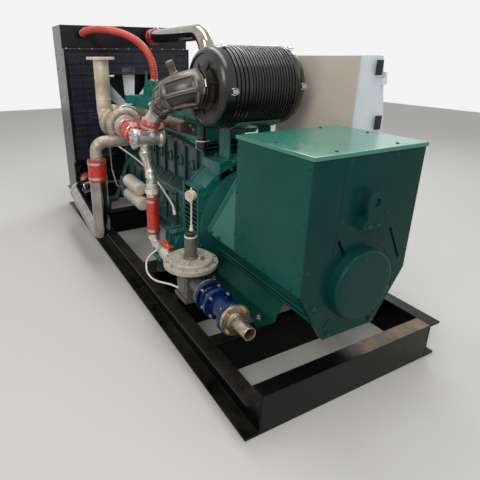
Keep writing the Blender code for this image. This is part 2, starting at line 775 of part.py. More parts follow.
def terminal_box():
    half = ALTERNATOR_HALF_WIDTH
    top = LID_BOTTOM_Z - SEAT
    radius = STATOR_RADIUS + STATOR_RIB_HEIGHT / 2
    drop = atan2(COVER_BOTTOM_DROP, radius)
    outline = [(-half, COVER_BOTTOM_Z), (-half, top), (half, top), (half, COVER_BOTTOM_Z)]
    outline += arc((0, CRANK_Z), radius, -drop, pi + drop, ROUND_FACETS // 2)
    far = ADAPTER_NEAR_Y - ADAPTER_NECK - SIDE_COVER_CLEARANCE
    box = prism(outline, ALTERNATOR_END_Y, far, "Y")
    past = far + OVERRUN
    above = LID_TOP_Z + OVERRUN
    slope_start = COVER_BOTTOM_Z + SIDE_COVER_RISE
    slope_end = COVER_BOTTOM_Z + SIDE_COVER_FAR_RISE
    wedge = [(BOX_FAR_Y, slope_start), (past, slope_end), (past, above), (BOX_FAR_Y, above)]
    cut(box, prism(wedge, -half - OVERRUN, half + OVERRUN, "X"))
    inner = half - SIDE_COVER_THICKNESS
    low = COVER_BOTTOM_Z - OVERRUN
    cut(box, block((-inner, BOX_FAR_Y, low), (inner, past, above)))
    return box


def terminal_lid():
    half = ALTERNATOR_HALF_WIDTH + LID_OVERHANG
    near = ALTERNATOR_END_Y - LID_OVERHANG
    far = BOX_FAR_Y + LID_OVERHANG
    return block((-half, near, LID_BOTTOM_Z), (half, far, LID_TOP_Z))


def end_bracket():
    half = ALTERNATOR_HALF_WIDTH
    top = COVER_BOTTOM_Z - SEAT
    low = CRANK_Z - END_FOOT_DROP
    radius = STATOR_RADIUS
    drop = atan2(CRANK_Z - top, radius)
    outline = [(-half, top), (-END_FOOT_HALF_WIDTH, low), (END_FOOT_HALF_WIDTH, low), (half, top)]
    outline += arc((0, CRANK_Z), radius, -drop, pi + drop, ROUND_FACETS // 2)
    far = ALTERNATOR_END_Y + END_BRACKET_DEPTH
    return prism(outline, ALTERNATOR_END_Y, far, "Y")


def end_cover():
    far = ALTERNATOR_END_Y - SEAT
    near = far - END_COVER_DEPTH
    rounding = END_COVER_ROUNDING
    profile = [(0, near), (END_COVER_RADIUS - rounding, near)]
    profile += [(END_COVER_RADIUS - rounding / 3, near + rounding / 3)]
    profile += [(END_COVER_RADIUS, near + rounding), (END_COVER_RADIUS, far), (0, far)]
    return turned(profile, "Y", (0, CRANK_Z), ROUND_FACETS)


def lifting_lug():
    far = ALTERNATOR_END_Y - SEAT
    near = far - LUG_STANDOFF - LUG_THICKNESS
    low = CRANK_Z + LUG_RISE
    half = LUG_WIDTH / 2
    rounded = arc((0, low + LUG_HEIGHT - half), half, 0, pi, SMALL_FACETS // 2)
    outline = [(-half, low), (half, low)] + rounded
    plate = prism(outline, near, near + LUG_THICKNESS, "Y")
    boss_low = (-half, near + LUG_THICKNESS - BITE, low)
    join(plate, block(boss_low, (half, far, low + LUG_HEIGHT / 3)))
    hole_z = low + LUG_HEIGHT - half
    hole = cylinder(LUG_HOLE_RADIUS, near - OVERRUN, far + OVERRUN, "Y", (0, hole_z))
    return cut(plate, hole)


def build_alternator(paints, root):
    green = paints["alternator_green"]
    finish("alternator_frame", alternator_frame(), green, root)
    finish("alternator_terminal_box", terminal_box(), green, root)
    finish("alternator_lid", terminal_lid(), green, root)
    finish("alternator_end_bracket", end_bracket(), green, root)
    finish("alternator_end_cover", end_cover(), green, root)
    finish("alternator_lifting_lug", lifting_lug(), green, root)


# Engine

def rear_arm(side):
    root_x = side * (HOUSING_HALF_WIDTH - BITE)
    tip = side * REAR_ARM_REACH_X
    shelf = side * (HOUSING_HALF_WIDTH + REAR_ARM_REACH_X) / 2
    waist_z = REAR_ARM_FOOT_TOP_Z + REAR_ARM_FOOT_THICKNESS
    outline = [(root_x, REAR_ARM_TOP_Z), (shelf, REAR_ARM_TOP_Z), (shelf, waist_z)]
    outline += [(tip, REAR_ARM_FOOT_TOP_Z), (tip, ARM_UNDER_Z), (root_x, ARM_UNDER_Z)]
    near = HOUSING_FAR_Y - REAR_ARM_LAP
    return prism(outline, near, REAR_ARM_FAR_Y, "Y")


def flywheel_housing():
    half = HOUSING_HALF_WIDTH
    shoulder = CRANK_Z + HOUSING_SHOULDER_RISE
    radius = HOUSING_ARCH_RADIUS
    start = atan2(HOUSING_SHOULDER_RISE, sqrt(radius ** 2 - HOUSING_SHOULDER_RISE ** 2))
    low = CRANK_Z - HOUSING_BOTTOM_DROP
    side_low = CRANK_Z - HOUSING_SIDE_DROP
    outline = [(-HOUSING_BOTTOM_HALF_WIDTH, low), (HOUSING_BOTTOM_HALF_WIDTH, low)]
    outline += [(half, side_low), (half, shoulder)]
    outline += arc((0, CRANK_Z), radius, start, pi - start, ROUND_FACETS // 2)
    outline += [(-half, shoulder), (-half, side_low)]
    housing = prism(outline, HOUSING_NEAR_Y, HOUSING_FAR_Y, "Y")
    pad = FILTER_PAD_HALF_WIDTH
    pad_low = CRANK_Z + STATOR_RADIUS
    join(housing, block((-pad, HOUSING_NEAR_Y, pad_low), (pad, HOUSING_FAR_Y, HOUSING_PAD_Z)))
    for side in (-1, 1):
        join(housing, rear_arm(side))
    return add_housing_ribs(housing)


def add_housing_ribs(housing):
    # slanting ribs on both side faces, as a flywheel housing casting has
    span = HOUSING_SIDE_DROP + HOUSING_SHOULDER_RISE
    pitch = span / (HOUSING_RIBS + 1)
    for side in (-1, 1):
        root_x = side * (HOUSING_HALF_WIDTH - BITE)
        tip_x = side * (HOUSING_HALF_WIDTH + HOUSING_RIB_HEIGHT)
        for index in range(HOUSING_RIBS):
            z = CRANK_Z - HOUSING_SIDE_DROP + pitch * (index + HOUSING_RIB_START_SHARE)
            near = HOUSING_NEAR_Y + HOUSING_RIB_WIDTH
            far = HOUSING_FAR_Y - REAR_ARM_LAP - HOUSING_RIB_WIDTH
            rise = pitch * HOUSING_RIB_RISE_SHARE
            outline = [(near, z), (far, z + rise), (far, z + rise + HOUSING_RIB_WIDTH)]
            outline += [(near, z + HOUSING_RIB_WIDTH)]
            join(housing, prism(outline, root_x, tip_x, "X"))
    return housing


def rubber_mount(side, y):
    low = RAIL_HEIGHT + SEAT
    high = ARM_UNDER_Z - SEAT
    profile = [(0, low), (MOUNT_RADIUS, low), (MOUNT_RADIUS, low + MOUNT_WASHER)]
    profile += [(MOUNT_WAIST, low + 2 * MOUNT_WASHER), (MOUNT_WAIST, high - 2 * MOUNT_WASHER)]
    profile += [(MOUNT_RADIUS, high - MOUNT_WASHER), (MOUNT_RADIUS, high), (0, high)]
    return turned(profile, "Z", (side * MOUNT_X, y), SMALL_FACETS - 2)


def front_arm(side):
    root_x = side * (CRANKCASE_HALF_WIDTH - BITE)
    bend = side * FRONT_ARM_BEND_X
    tip = side * FRONT_ARM_REACH_X
    low = CRANKCASE_BOTTOM_Z
    outline = [(root_x, FRONT_ARM_ROOT_Z), (bend, REAR_ARM_FOOT_TOP_Z)]
    outline += [(tip, REAR_ARM_FOOT_TOP_Z), (tip, ARM_UNDER_Z), (bend, ARM_UNDER_Z)]
    outline += [(root_x, low)]
    half = FRONT_ARM_WIDTH / 2
    return prism(outline, FRONT_CROSS_Y - half, FRONT_CROSS_Y + half, "Y")


def engine_block():
    case = CRANKCASE_HALF_WIDTH
    deck = DECK_HALF_WIDTH
    top = DECK_Z - SEAT
    outline = [(-case, CRANKCASE_BOTTOM_Z), (case, CRANKCASE_BOTTOM_Z), (case, CRANKCASE_TOP_Z)]
    outline += [(deck, BLOCK_SHOULDER_Z), (deck, top), (-deck, top)]
    outline += [(-deck, BLOCK_SHOULDER_Z), (-case, CRANKCASE_TOP_Z)]
    body = prism(outline, BLOCK_NEAR_Y, BLOCK_FRONT_Y, "Y")
    for index in range(BLOCK_BAYS + 1):
        y = BLOCK_BAY_START_Y + index * BLOCK_BAY_PITCH
        reach = deck + BLOCK_RIB_REACH
        low = (-reach, y - BLOCK_RIB_WIDTH / 2, CRANKCASE_TOP_Z)
        high = (reach, y + BLOCK_RIB_WIDTH / 2, DECK_Z - BLOCK_RIB_INSET)
        join(body, block(low, high))
    cover_low = (-case, TIMING_NEAR_Y, CRANKCASE_TOP_Z - BITE)
    cover_high = (case, BLOCK_FRONT_Y, top)
    join(body, block(cover_low, cover_high))
    join(body, front_arm(-1), front_arm(1))
    bearing = FAN_BEARING_RADIUS
    tower_low = (-bearing, BLOCK_FRONT_Y - BEARING_TOWER_DEPTH, CRANKCASE_TOP_Z)
    join(body, block(tower_low, (bearing, BLOCK_FRONT_Y, FAN_Z + bearing / 2)))
    boss_far = PULLEY_NEAR_Y - RUNNING_GAP
    boss_start = BLOCK_FRONT_Y - OVERRUN
    join(body, cylinder(bearing, boss_start, boss_far, "Y", (0, FAN_Z), ROUND_FACETS // 2))
    return body


def oil_sump():
    top = CRANKCASE_BOTTOM_Z - SEAT
    near = BLOCK_NEAR_Y + SUMP_END_INSET
    far = TIMING_NEAR_Y - SUMP_END_INSET
    step_y = near + (far - near) * SUMP_STEP_SHARE
    outline = [(near, top), (near + SUMP_DRAFT, SUMP_SHALLOW_Z), (step_y, SUMP_SHALLOW_Z)]
    outline += [(step_y + SUMP_DRAFT, SUMP_BOTTOM_Z), (far - SUMP_DRAFT, SUMP_BOTTOM_Z), (far, top)]
    return prism(outline, -SUMP_HALF_WIDTH, SUMP_HALF_WIDTH, "X")


def tapered_box(low, high, taper):
    bm = bmesh.new()
    rings = []
    for z, inset in ((low[2], 0), (high[2] - taper, 0), (high[2], taper)):
        corners = [(low[0] + inset, low[1] + inset), (high[0] - inset, low[1] + inset)]
        corners += [(high[0] - inset, high[1] - inset), (low[0] + inset, high[1] - inset)]
        rings.append([bm.verts.new((x, y, z)) for x, y in corners])
    for ring, following in zip(rings, rings[1:]):
        stitch(bm, ring, following)
    bm.faces.new(rings[0])
    bm.faces.new(rings[-1])
    return solid(bm)


def rocker_cover(head, y):
    half = ROCKER_LENGTH / 2
    top = HEAD_TOP_Z + ROCKER_HEIGHT
    low = (-ROCKER_HALF_WIDTH, y - half, HEAD_TOP_Z - BITE)
    join(head, tapered_box(low, (ROCKER_HALF_WIDTH, y + half, top), ROCKER_TAPER))
    flat = ROCKER_LENGTH - 2 * ROCKER_TAPER
    reach = ROCKER_HALF_WIDTH - ROCKER_TAPER
    for index in range(ROCKER_FINS):
        fin_y = y - flat / 2 + flat * (index + 0.5) / ROCKER_FINS
        fin_low = (-reach, fin_y - ROCKER_FIN_WIDTH / 2, top - BITE)
        fin_high = (reach, fin_y + ROCKER_FIN_WIDTH / 2, top + ROCKER_FIN_HEIGHT)
        join(head, block(fin_low, fin_high))


def cylinder_head():
    first = BLOCK_BAY_START_Y
    last = BLOCK_BAY_START_Y + BLOCK_BAYS * BLOCK_BAY_PITCH
    low = (-HEAD_HALF_WIDTH, first, DECK_Z)
    head = block(low, (HEAD_HALF_WIDTH, BLOCK_FRONT_Y - SUMP_END_INSET, HEAD_TOP_Z))
    for index in range(BLOCK_BAYS):
        rocker_cover(head, first + (index + 0.5) * BLOCK_BAY_PITCH)
    base_top = HEAD_TOP_Z + THERMOSTAT_BASE_HEIGHT
    profile = [(0, HEAD_TOP_Z - BITE), (THERMOSTAT_BASE_RADIUS, HEAD_TOP_Z - BITE)]
    profile += [(THERMOSTAT_BASE_RADIUS, base_top), (THERMOSTAT_RADIUS, base_top + THERMOSTAT_RADIUS)]
    profile += [(THERMOSTAT_RADIUS, THERMOSTAT_TOP_Z), (0, THERMOSTAT_TOP_Z)]
    place = (THERMOSTAT_X, max(THERMOSTAT_Y, last + THERMOSTAT_BASE_RADIUS - ROCKER_TAPER))
    join(head, turned(profile, "Z", place, SMALL_FACETS))
    return head


def intake_manifold():
    near = BLOCK_BAY_START_Y + BLOCK_RIB_INSET
    far = BLOCK_BAY_START_Y + BLOCK_BAYS * BLOCK_BAY_PITCH - BLOCK_RIB_INSET
    left = HEAD_HALF_WIDTH + SEAT
    right = INTAKE_X + INTAKE_HALF_WIDTH
    lean = INTAKE_HALF_WIDTH / 2
    outline = [(left, INTAKE_BOTTOM_Z), (right - lean, INTAKE_BOTTOM_Z), (right, INTAKE_BOTTOM_Z + lean)]
    outline += [(right, INTAKE_TOP_Z - lean), (right - lean, INTAKE_TOP_Z), (left, INTAKE_TOP_Z)]
    manifold = prism(outline, near, far, "Y")
    flange_low = INTAKE_NECK_TOP_Z - INTAKE_FLANGE_THICKNESS
    profile = [(0, INTAKE_TOP_Z - BITE), (CHARGE_RADIUS, INTAKE_TOP_Z - BITE)]
    profile += [(CHARGE_RADIUS, flange_low), (INTAKE_NECK_FLANGE, flange_low)]
    profile += [(INTAKE_NECK_FLANGE, INTAKE_NECK_TOP_Z), (0, INTAKE_NECK_TOP_Z)]
    join(manifold, turned(profile, "Z", (INTAKE_NECK_X, INTAKE_NECK_Y), SMALL_FACETS))
    return manifold


def oil_filters():
    left = OIL_FILTER_X - OIL_FILTER_RADIUS
    right = -CRANKCASE_HALF_WIDTH - SEAT
    low = (left, FILTER_HEAD_Y, OIL_FILTER_Z_LOWER - OIL_FILTER_RADIUS / 2)
    high = (right, FILTER_HEAD_Y + FILTER_HEAD_LENGTH, OIL_FILTER_Z_UPPER + OIL_FILTER_RADIUS / 2)
    head = block(low, high)
    near = FILTER_HEAD_Y - OIL_FILTER_LENGTH
    rounding = OIL_FILTER_ROUNDING
    for z, shift in ((OIL_FILTER_Z_UPPER, 0), (OIL_FILTER_Z_LOWER, -OIL_FILTER_STAGGER)):
        start = near + shift
        profile = [(0, start), (OIL_FILTER_RADIUS - rounding, start)]
        profile += [(OIL_FILTER_RADIUS, start + rounding)]
        profile += [(OIL_FILTER_RADIUS, FILTER_HEAD_Y + BITE), (0, FILTER_HEAD_Y + BITE)]
        join(head, turned(profile, "Y", (OIL_FILTER_X, z), SMALL_FACETS + SMALL_FACETS // 4))
    return head


def build_engine(paints, root):
    teal = paints["engine_teal"]
    finish("flywheel_housing", flywheel_housing(), teal, root)
    finish("engine_block", engine_block(), teal, root)
    finish("oil_sump", oil_sump(), teal, root)
    finish("cylinder_head", cylinder_head(), teal, root)
    finish("intake_manifold", intake_manifold(), teal, root)
    finish("oil_filters", oil_filters(), paints["cream"], root)
    for word, side in (("left", -1), ("right", 1)):
        finish("rear_mount_" + word, rubber_mount(side, REAR_MOUNT_Y), paints["rubber"], root)
        finish("front_mount_" + word, rubber_mount(side, FRONT_CROSS_Y), paints["rubber"], root)


# Exhaust side

def exhaust_manifold():
    near = BLOCK_BAY_START_Y + BLOCK_BAY_PITCH / 2
    far = near + (BLOCK_BAYS - 1) * BLOCK_BAY_PITCH
    end = MANIFOLD_RADIUS
    log = cylinder(MANIFOLD_RADIUS, near - end, far + end, "Y", (MANIFOLD_X, MANIFOLD_Z))
    head_x = -HEAD_HALF_WIDTH - SEAT
    for index in range(BLOCK_BAYS):
        y = near + index * BLOCK_BAY_PITCH
        join(log, cylinder(RUNNER_RADIUS, MANIFOLD_X, head_x, "X", (y, MANIFOLD_Z), SMALL_FACETS - 4))
    turbine_y = (TURBINE_NEAR_Y + TURBINE_FAR_Y) / 2
    neck = cylinder(TURBINE_INLET_RADIUS, TURBO_FLANGE_X, MANIFOLD_X, "X", (turbine_y, TURBO_Z))
    join(log, neck)
    return log


def turbine_housing():
    near = TURBINE_NEAR_Y + SEAT
    far = TURBINE_FAR_Y
    depth = far - near
    profile = [(0, near), (BEARING_RADIUS, near), (TURBINE_RADIUS - TURBINE_RADIUS / 4, near)]
    profile += [(TURBINE_RADIUS, near + depth / 4), (TURBINE_RADIUS, near + depth / 2)]
    profile += [(TURBINE_OUTLET_RADIUS + TURBINE_RADIUS / 5, near + depth * 3 / 4)]
    profile += [(TURBINE_OUTLET_RADIUS, far), (0, far)]
    housing = turned(profile, "Y", (TURBO_X, TURBO_Z), ROUND_FACETS - 8)
    middle_y = (TURBINE_NEAR_Y + TURBINE_FAR_Y) / 2
    inlet_end = TURBO_FLANGE_X - SEAT
    inlet = cylinder(TURBINE_INLET_RADIUS, TURBO_X, inlet_end, "X", (middle_y, TURBO_Z))
    return join(housing, inlet)


def compressor_volute():
    # the scroll's tube grows towards the outlet at the bottom
    points = []
    radii = []
    for step in range(VOLUTE_STEPS + 1):
        share = step / VOLUTE_STEPS
        angle = -pi / 2 + 2 * pi * VOLUTE_WRAP_SHARE * (1 - share)
        x = TURBO_X + VOLUTE_RADIUS * cos(angle)
        z = TURBO_Z + VOLUTE_RADIUS * sin(angle)
        points.append((x, COMPRESSOR_DISC_Y, z))
        radii.append(VOLUTE_TUBE_START + (VOLUTE_TUBE_END - VOLUTE_TUBE_START) * share)
    return swept(points, radii, SMALL_FACETS - 6)


def compressor_housing():
    near = COMPRESSOR_NEAR_Y
    disc = COMPRESSOR_DISC_Y
    far = COMPRESSOR_FAR_Y
    end = TURBINE_NEAR_Y
    profile = [(0, near), (COMPRESSOR_INLET_RADIUS, near), (COMPRESSOR_INLET_RADIUS, near + BITE * 6)]
    profile += [(COMPRESSOR_SHROUD_RADIUS, disc - VOLUTE_TUBE_START)]
    profile += [(VOLUTE_RADIUS, disc), (VOLUTE_RADIUS, far), (BEARING_RADIUS, far)]
    profile += [(BEARING_RADIUS, end), (0, end)]
    housing = turned(profile, "Y", (TURBO_X, TURBO_Z), ROUND_FACETS - 8)
    join(housing, compressor_volute())
    outlet_z = TURBO_Z - VOLUTE_RADIUS
    corners = [(TURBO_X + VOLUTE_TUBE_START, disc, outlet_z), (CHARGE_X, disc, outlet_z)]
    corners += [(CHARGE_X, disc, COMPRESSOR_OUTLET_END_Z)]
    outlet = swept(bent_route(corners, COMPRESSOR_OUTLET_BEND), VOLUTE_TUBE_END, SMALL_FACETS - 4)
    return join(housing, outlet)


def exhaust_pipe():
    start = TURBINE_FAR_Y + SEAT
    corners = [(TURBO_X, start, TURBO_Z), (TURBO_X, EXHAUST_Y, TURBO_Z)]
    corners += [(TURBO_X, EXHAUST_Y, EXHAUST_TOP_Z)]
    pipe = swept(bent_route(corners, EXHAUST_BEND), EXHAUST_RADIUS, SMALL_FACETS)
    middle = (TURBO_X, EXHAUST_Y)
    flange_low = EXHAUST_TOP_Z - EXHAUST_FLANGE_THICKNESS
    flange_top = EXHAUST_TOP_Z + BITE
    join(pipe, cylinder(EXHAUST_FLANGE_RADIUS, flange_low, flange_top, "Z", middle, ROUND_FACETS - 8))
    band = EXHAUST_RADIUS + EXHAUST_BAND_PROUD
    band_high = EXHAUST_BAND_Z + EXHAUST_BAND_HEIGHT
    join(pipe, cylinder(band, EXHAUST_BAND_Z, band_high, "Z", middle, SMALL_FACETS))
    stub_end = TURBO_X + EXHAUST_RADIUS + EXHAUST_STUB_LENGTH
    stub_place = (EXHAUST_Y, EXHAUST_STUB_Z)
    join(pipe, cylinder(EXHAUST_STUB_RADIUS, TURBO_X, stub_end, "X", stub_place, SMALL_FACETS // 2))
    bore = EXHAUST_RADIUS - EXHAUST_WALL
    bore_low = EXHAUST_TOP_Z - EXHAUST_BORE_DEPTH
    return cut(pipe, cylinder(bore, bore_low, EXHAUST_TOP_Z + OVERRUN, "Z", middle, SMALL_FACETS))


def build_exhaust(paints, root):
    finish("exhaust_manifold", exhaust_manifold(), paints["cast_iron"], root)
    finish("turbine_housing", turbine_housing(), paints["heat_tan"], root)
    finish("compressor_housing", compressor_housing(), paints["cast_aluminium"], root)
    finish("exhaust_pipe", exhaust_pipe(), paints["steel_pipe"], root)


# Charge air

def lower_charge_hose():
    low = CHARGE_LOW_TOP_Z + SEAT
    high = COMPRESSOR_OUTLET_END_Z - SEAT
    return cylinder(CHARGE_HOSE_RADIUS, low, high, "Z", (CHARGE_X, COMPRESSOR_DISC_Y), ROUND_FACETS - 8)


def lower_charge_pipe():
    y = COMPRESSOR_DISC_Y
    corners = [(CHARGE_X, y, CHARGE_LOW_TOP_Z), (CHARGE_X, y, CHARGE_LOW_Z)]
    corners += [(CHARGE_X, CHARGE_FAR_Y, CHARGE_FAR_Z)]
    corners += [(CHARGE_INLET_X, CHARGE_LOW_END_Y - CHARGE_FAR_TURN, CHARGE_FAR_Z)]
    corners += [(CHARGE_INLET_X, CHARGE_LOW_END_Y, CHARGE_FAR_Z)]
    return swept(bent_route(corners, CHARGE_BEND), CHARGE_RADIUS, SMALL_FACETS, arriving=(0, 1, 0))


def charge_hose(x, z, near, far):
    return cylinder(CHARGE_HOSE_RADIUS, near + SEAT, far - SEAT, "Y", (x, z), ROUND_FACETS - 8)


def upper_charge_pipe():
    end_x = INTAKE_NECK_X
    corners = [(CHARGE_TOP_X, CHARGE_TOP_START_Y, CHARGE_TOP_Z)]
    corners += [(CHARGE_TOP_X, INTAKE_NECK_Y, CHARGE_TOP_Z)]
    corners += [(end_x, INTAKE_NECK_Y, INTAKE_NECK_TOP_Z + CHARGE_RADIUS)]
    corners += [(end_x, INTAKE_NECK_Y, INTAKE_NECK_TOP_Z + SEAT)]
    return swept(bent_route(corners, CHARGE_TOP_BEND), CHARGE_RADIUS, SMALL_FACETS + 4)


def build_charge_air(paints, root):
    chrome = paints["chrome"]
    red = paints["red_silicone"]
    finish("lower_charge_hose", lower_charge_hose(), red, root)
    finish("lower_charge_pipe", lower_charge_pipe(), chrome, root)
    low_hose = charge_hose(CHARGE_INLET_X, CHARGE_FAR_Z, CHARGE_LOW_END_Y, CHARGE_LOW_HOSE_END_Y)
    finish("radiator_inlet_hose", low_hose, red, root)
    finish("upper_charge_pipe", upper_charge_pipe(), chrome, root)
    top_hose = charge_hose(CHARGE_TOP_X, CHARGE_TOP_Z, CHARGE_TOP_START_Y, CHARGE_TOP_HOSE_END_Y)
    finish("radiator_outlet_hose", top_hose, red, root)


# Radiator

def stub(radius, x, z, near):
    return cylinder(radius, near, RADIATOR_NEAR_Y + BITE, "Y", (x, z), SMALL_FACETS + 4)


def radiator_frame():
    half = RADIATOR_HALF_WIDTH
    near = RADIATOR_NEAR_Y
    far = RADIATOR_FAR_Y
    low = (-half, near, RAIL_HEIGHT + SEAT)
    frame = block(low, (half, far, RADIATOR_TOP_Z))
    inner = half - RADIATOR_SIDE_THICKNESS
    cut_low = (-inner, near - OVERRUN, RADIATOR_FOOT_Z)
    cut(frame, block(cut_low, (inner, far + OVERRUN, RADIATOR_TANK_BOTTOM_Z)))
    shroud_far = SHROUD_NEAR_Y + SHROUD_THICKNESS
    shroud_low = (-inner - BITE, SHROUD_NEAR_Y, RADIATOR_FOOT_Z - BITE)
    shroud = block(shroud_low, (inner + BITE, shroud_far, RADIATOR_TANK_BOTTOM_Z + BITE))
    hole = FAN_RADIUS + FAN_TIP_CLEARANCE
    mouth = cylinder(hole, SHROUD_NEAR_Y - OVERRUN, shroud_far + OVERRUN, "Y", (0, FAN_Z), ROUND_FACETS)
    join(frame, cut(shroud, mouth))
    join(frame, stub(CHARGE_RADIUS, CHARGE_INLET_X, CHARGE_FAR_Z, CHARGE_LOW_HOSE_END_Y))
    join(frame, stub(CHARGE_RADIUS, CHARGE_TOP_X, CHARGE_TOP_Z, CHARGE_TOP_HOSE_END_Y))
    join(frame, stub(COOLANT_RADIUS, COOLANT_STUB_X, COOLANT_STUB_Z, COOLANT_STUB_Y))
    return frame


def radiator_core():
    # zigzag front and back faces stand for the fin rows
    half = RADIATOR_HALF_WIDTH - RADIATOR_SIDE_THICKNESS - SEAT
    low = RADIATOR_FOOT_Z + SEAT
    high = RADIATOR_TANK_BOTTOM_Z - SEAT
    width = 2 * half / CORE_FINS
    front = []
    back = []
    for index in range(CORE_FINS):
        x = -half + index * width
        front += [(x, CORE_NEAR_Y), (x + width / 2, CORE_NEAR_Y + CORE_FIN_DEPTH)]
        back += [(x, CORE_FAR_Y), (x + width / 2, CORE_FAR_Y - CORE_FIN_DEPTH)]
    front.append((half, CORE_NEAR_Y))
    back.append((half, CORE_FAR_Y))
    return prism(front + back[::-1], low, high, "Z")


def guard_lines():
    half = RADIATOR_HALF_WIDTH
    bar = GUARD_BAR
    edge = GUARD_EDGE
    cut_half = GUARD_CUT_HALF_WIDTH
    columns = [(-half, -half + edge), (half - edge, half)]
    columns += [(-cut_half - edge, -cut_half), (cut_half, cut_half + edge)]
    side_span = half - edge - cut_half - edge
    side_bays = GUARD_BAYS_WIDE // 2
    for index in range(1, side_bays):
        offset = cut_half + edge + side_span * index / side_bays
        columns += [(-offset - bar / 2, -offset + bar / 2), (offset - bar / 2, offset + bar / 2)]
    columns.append((-bar / 2, bar / 2))
    columns.sort()
    rows = [(GUARD_BOTTOM_Z, GUARD_BOTTOM_Z + edge), (GUARD_TOP_Z - edge, GUARD_TOP_Z)]
    rows.append((GUARD_CUT_TOP_Z, GUARD_CUT_TOP_Z + bar))
    low = GUARD_BOTTOM_Z + edge
    span = GUARD_CUT_TOP_Z - low
    high_bays = GUARD_BAYS_HIGH - 2
    for index in range(1, high_bays):
        z = low + span * index / high_bays
        rows.append((z - bar / 2, z + bar / 2))
    middle = (GUARD_CUT_TOP_Z + bar + GUARD_TOP_Z - edge) / 2
    rows.append((middle - bar / 2, middle + bar / 2))
    rows.sort()
    return columns, rows


def fan_guard():
    # one flat lattice: every bar and every crossing is a cell of one grid
    columns, rows = guard_lines()
    xs = sorted({value for pair in columns for value in pair})
    zs = sorted({value for pair in rows for value in pair})
    cells = set()
    for i in range(len(xs) - 1):
        for k in range(len(zs) - 1):
            x = (xs[i] + xs[i + 1]) / 2
            z = (zs[k] + zs[k + 1]) / 2
            if abs(x) < GUARD_CUT_HALF_WIDTH and z < GUARD_CUT_TOP_Z:
                continue
            on_column = any(a < x < b for a, b in columns)
            on_row = any(a < z < b for a, b in rows)
            if on_column or on_row:
                cells.add((i, k))
    bm = bmesh.new()
    spots = {}

    def spot(i, k, y):
        if (i, k, y) not in spots:
            spots[(i, k, y)] = bm.verts.new((xs[i], y, zs[k]))
        return spots[(i, k, y)]

    near = GUARD_NEAR_Y
    far = GUARD_NEAR_Y + GUARD_THICKNESS
    for i, k in cells:
        for y in (near, far):
            bm.faces.new((spot(i, k, y), spot(i + 1, k, y), spot(i + 1, k + 1, y), spot(i, k + 1, y)))
        edges = {(i - 1, k): ((i, k), (i, k + 1)), (i + 1, k): ((i + 1, k), (i + 1, k + 1))}
        edges[(i, k - 1)] = ((i, k), (i + 1, k))
        edges[(i, k + 1)] = ((i, k + 1), (i + 1, k + 1))
        for neighbour, (start, end) in edges.items():
            if neighbour not in cells:
                bm.faces.new((spot(*start, near), spot(*end, near), spot(*end, far), spot(*start, far)))
    flat = radians(1)
    bmesh.ops.dissolve_limit(bm, angle_limit=flat, verts=bm.verts, edges=bm.edges)
    bmesh.ops.triangulate(bm, faces=bm.faces)
    guard = solid(bm)
    for side in (-1, 1):
        outer = side * RADIATOR_HALF_WIDTH
        inner = side * (RADIATOR_HALF_WIDTH - GUARD_THICKNESS)
        low = (min(outer, inner), far - BITE, GUARD_BOTTOM_Z)
        join(guard, block(low, (max(outer, inner), RADIATOR_NEAR_Y - SEAT, GUARD_TOP_Z)))
    return guard


def coolant_hose():
    start = (COOLANT_STUB_X, COOLANT_STUB_Y - SEAT, COOLANT_STUB_Z)
    end = (THERMOSTAT_X, THERMOSTAT_Y, THERMOSTAT_TOP_Z + SEAT)
    leaving = (COOLANT_SIDE_REACH, -COOLANT_REACH, COOLANT_RISE)
    arriving = (0, 0, -COOLANT_DROP)
    route = swinging_route(start, leaving, end, arriving, COOLANT_STEPS)
    return swept(route, COOLANT_RADIUS, HOSE_FACETS, (0, -1, 0), (0, 0, -1))


def build_radiator(paints, root):
    finish("radiator_frame", radiator_frame(), paints["frame"], root)
    finish("radiator_core", radiator_core(), paints["core"], root)
    finish("fan_guard", fan_guard(), paints["frame"], root)
    finish("coolant_hose", coolant_hose(), paints["red_silicone"], root)


# Fan and belt drive

def fan_blade(angle):
    # a twisted blade lofted from root to tip, then turned about the shaft
    bm = bmesh.new()
    rings = []
    middle = FAN_NEAR_Y + FAN_DEPTH / 2
    start = FAN_HUB_RADIUS - BITE * 5
    for step in range(FAN_BLADE_STEPS + 1):
        share = step / FAN_BLADE_STEPS
        radius = start + (FAN_RADIUS - start) * share
        chord = FAN_ROOT_CHORD + (FAN_TIP_CHORD - FAN_ROOT_CHORD) * share
        pitch = FAN_ROOT_PITCH + (FAN_TIP_PITCH - FAN_ROOT_PITCH) * share
        half = min(chord, FAN_DEPTH / sin(pitch)) / 2
        ring = []
        for along, thick in ((-1, 0), (0, -1), (1, 0), (0, 1)):
            across = along * half * cos(pitch) - thick * FAN_BLADE_THICKNESS * sin(pitch)
            depth = along * half * sin(pitch) + thick * FAN_BLADE_THICKNESS * cos(pitch)
            depth = depth * (1 - 2 * FAN_BLADE_THICKNESS / FAN_DEPTH)
            height = sqrt(max(radius ** 2 - across ** 2, 0))
            ring.append(Vector((across, middle + depth, height)))
        rings.append(ring)
    spin = Matrix.Rotation(angle, 4, "Y")
    lift = Vector((0, 0, FAN_Z))
    rows = [[bm.verts.new(spin @ spot + lift) for spot in ring] for ring in rings]
    for ring, following in zip(rows, rows[1:]):
        stitch(bm, ring, following)
    bm.faces.new(rows[0])
    bm.faces.new(rows[-1])
    return solid(bm)


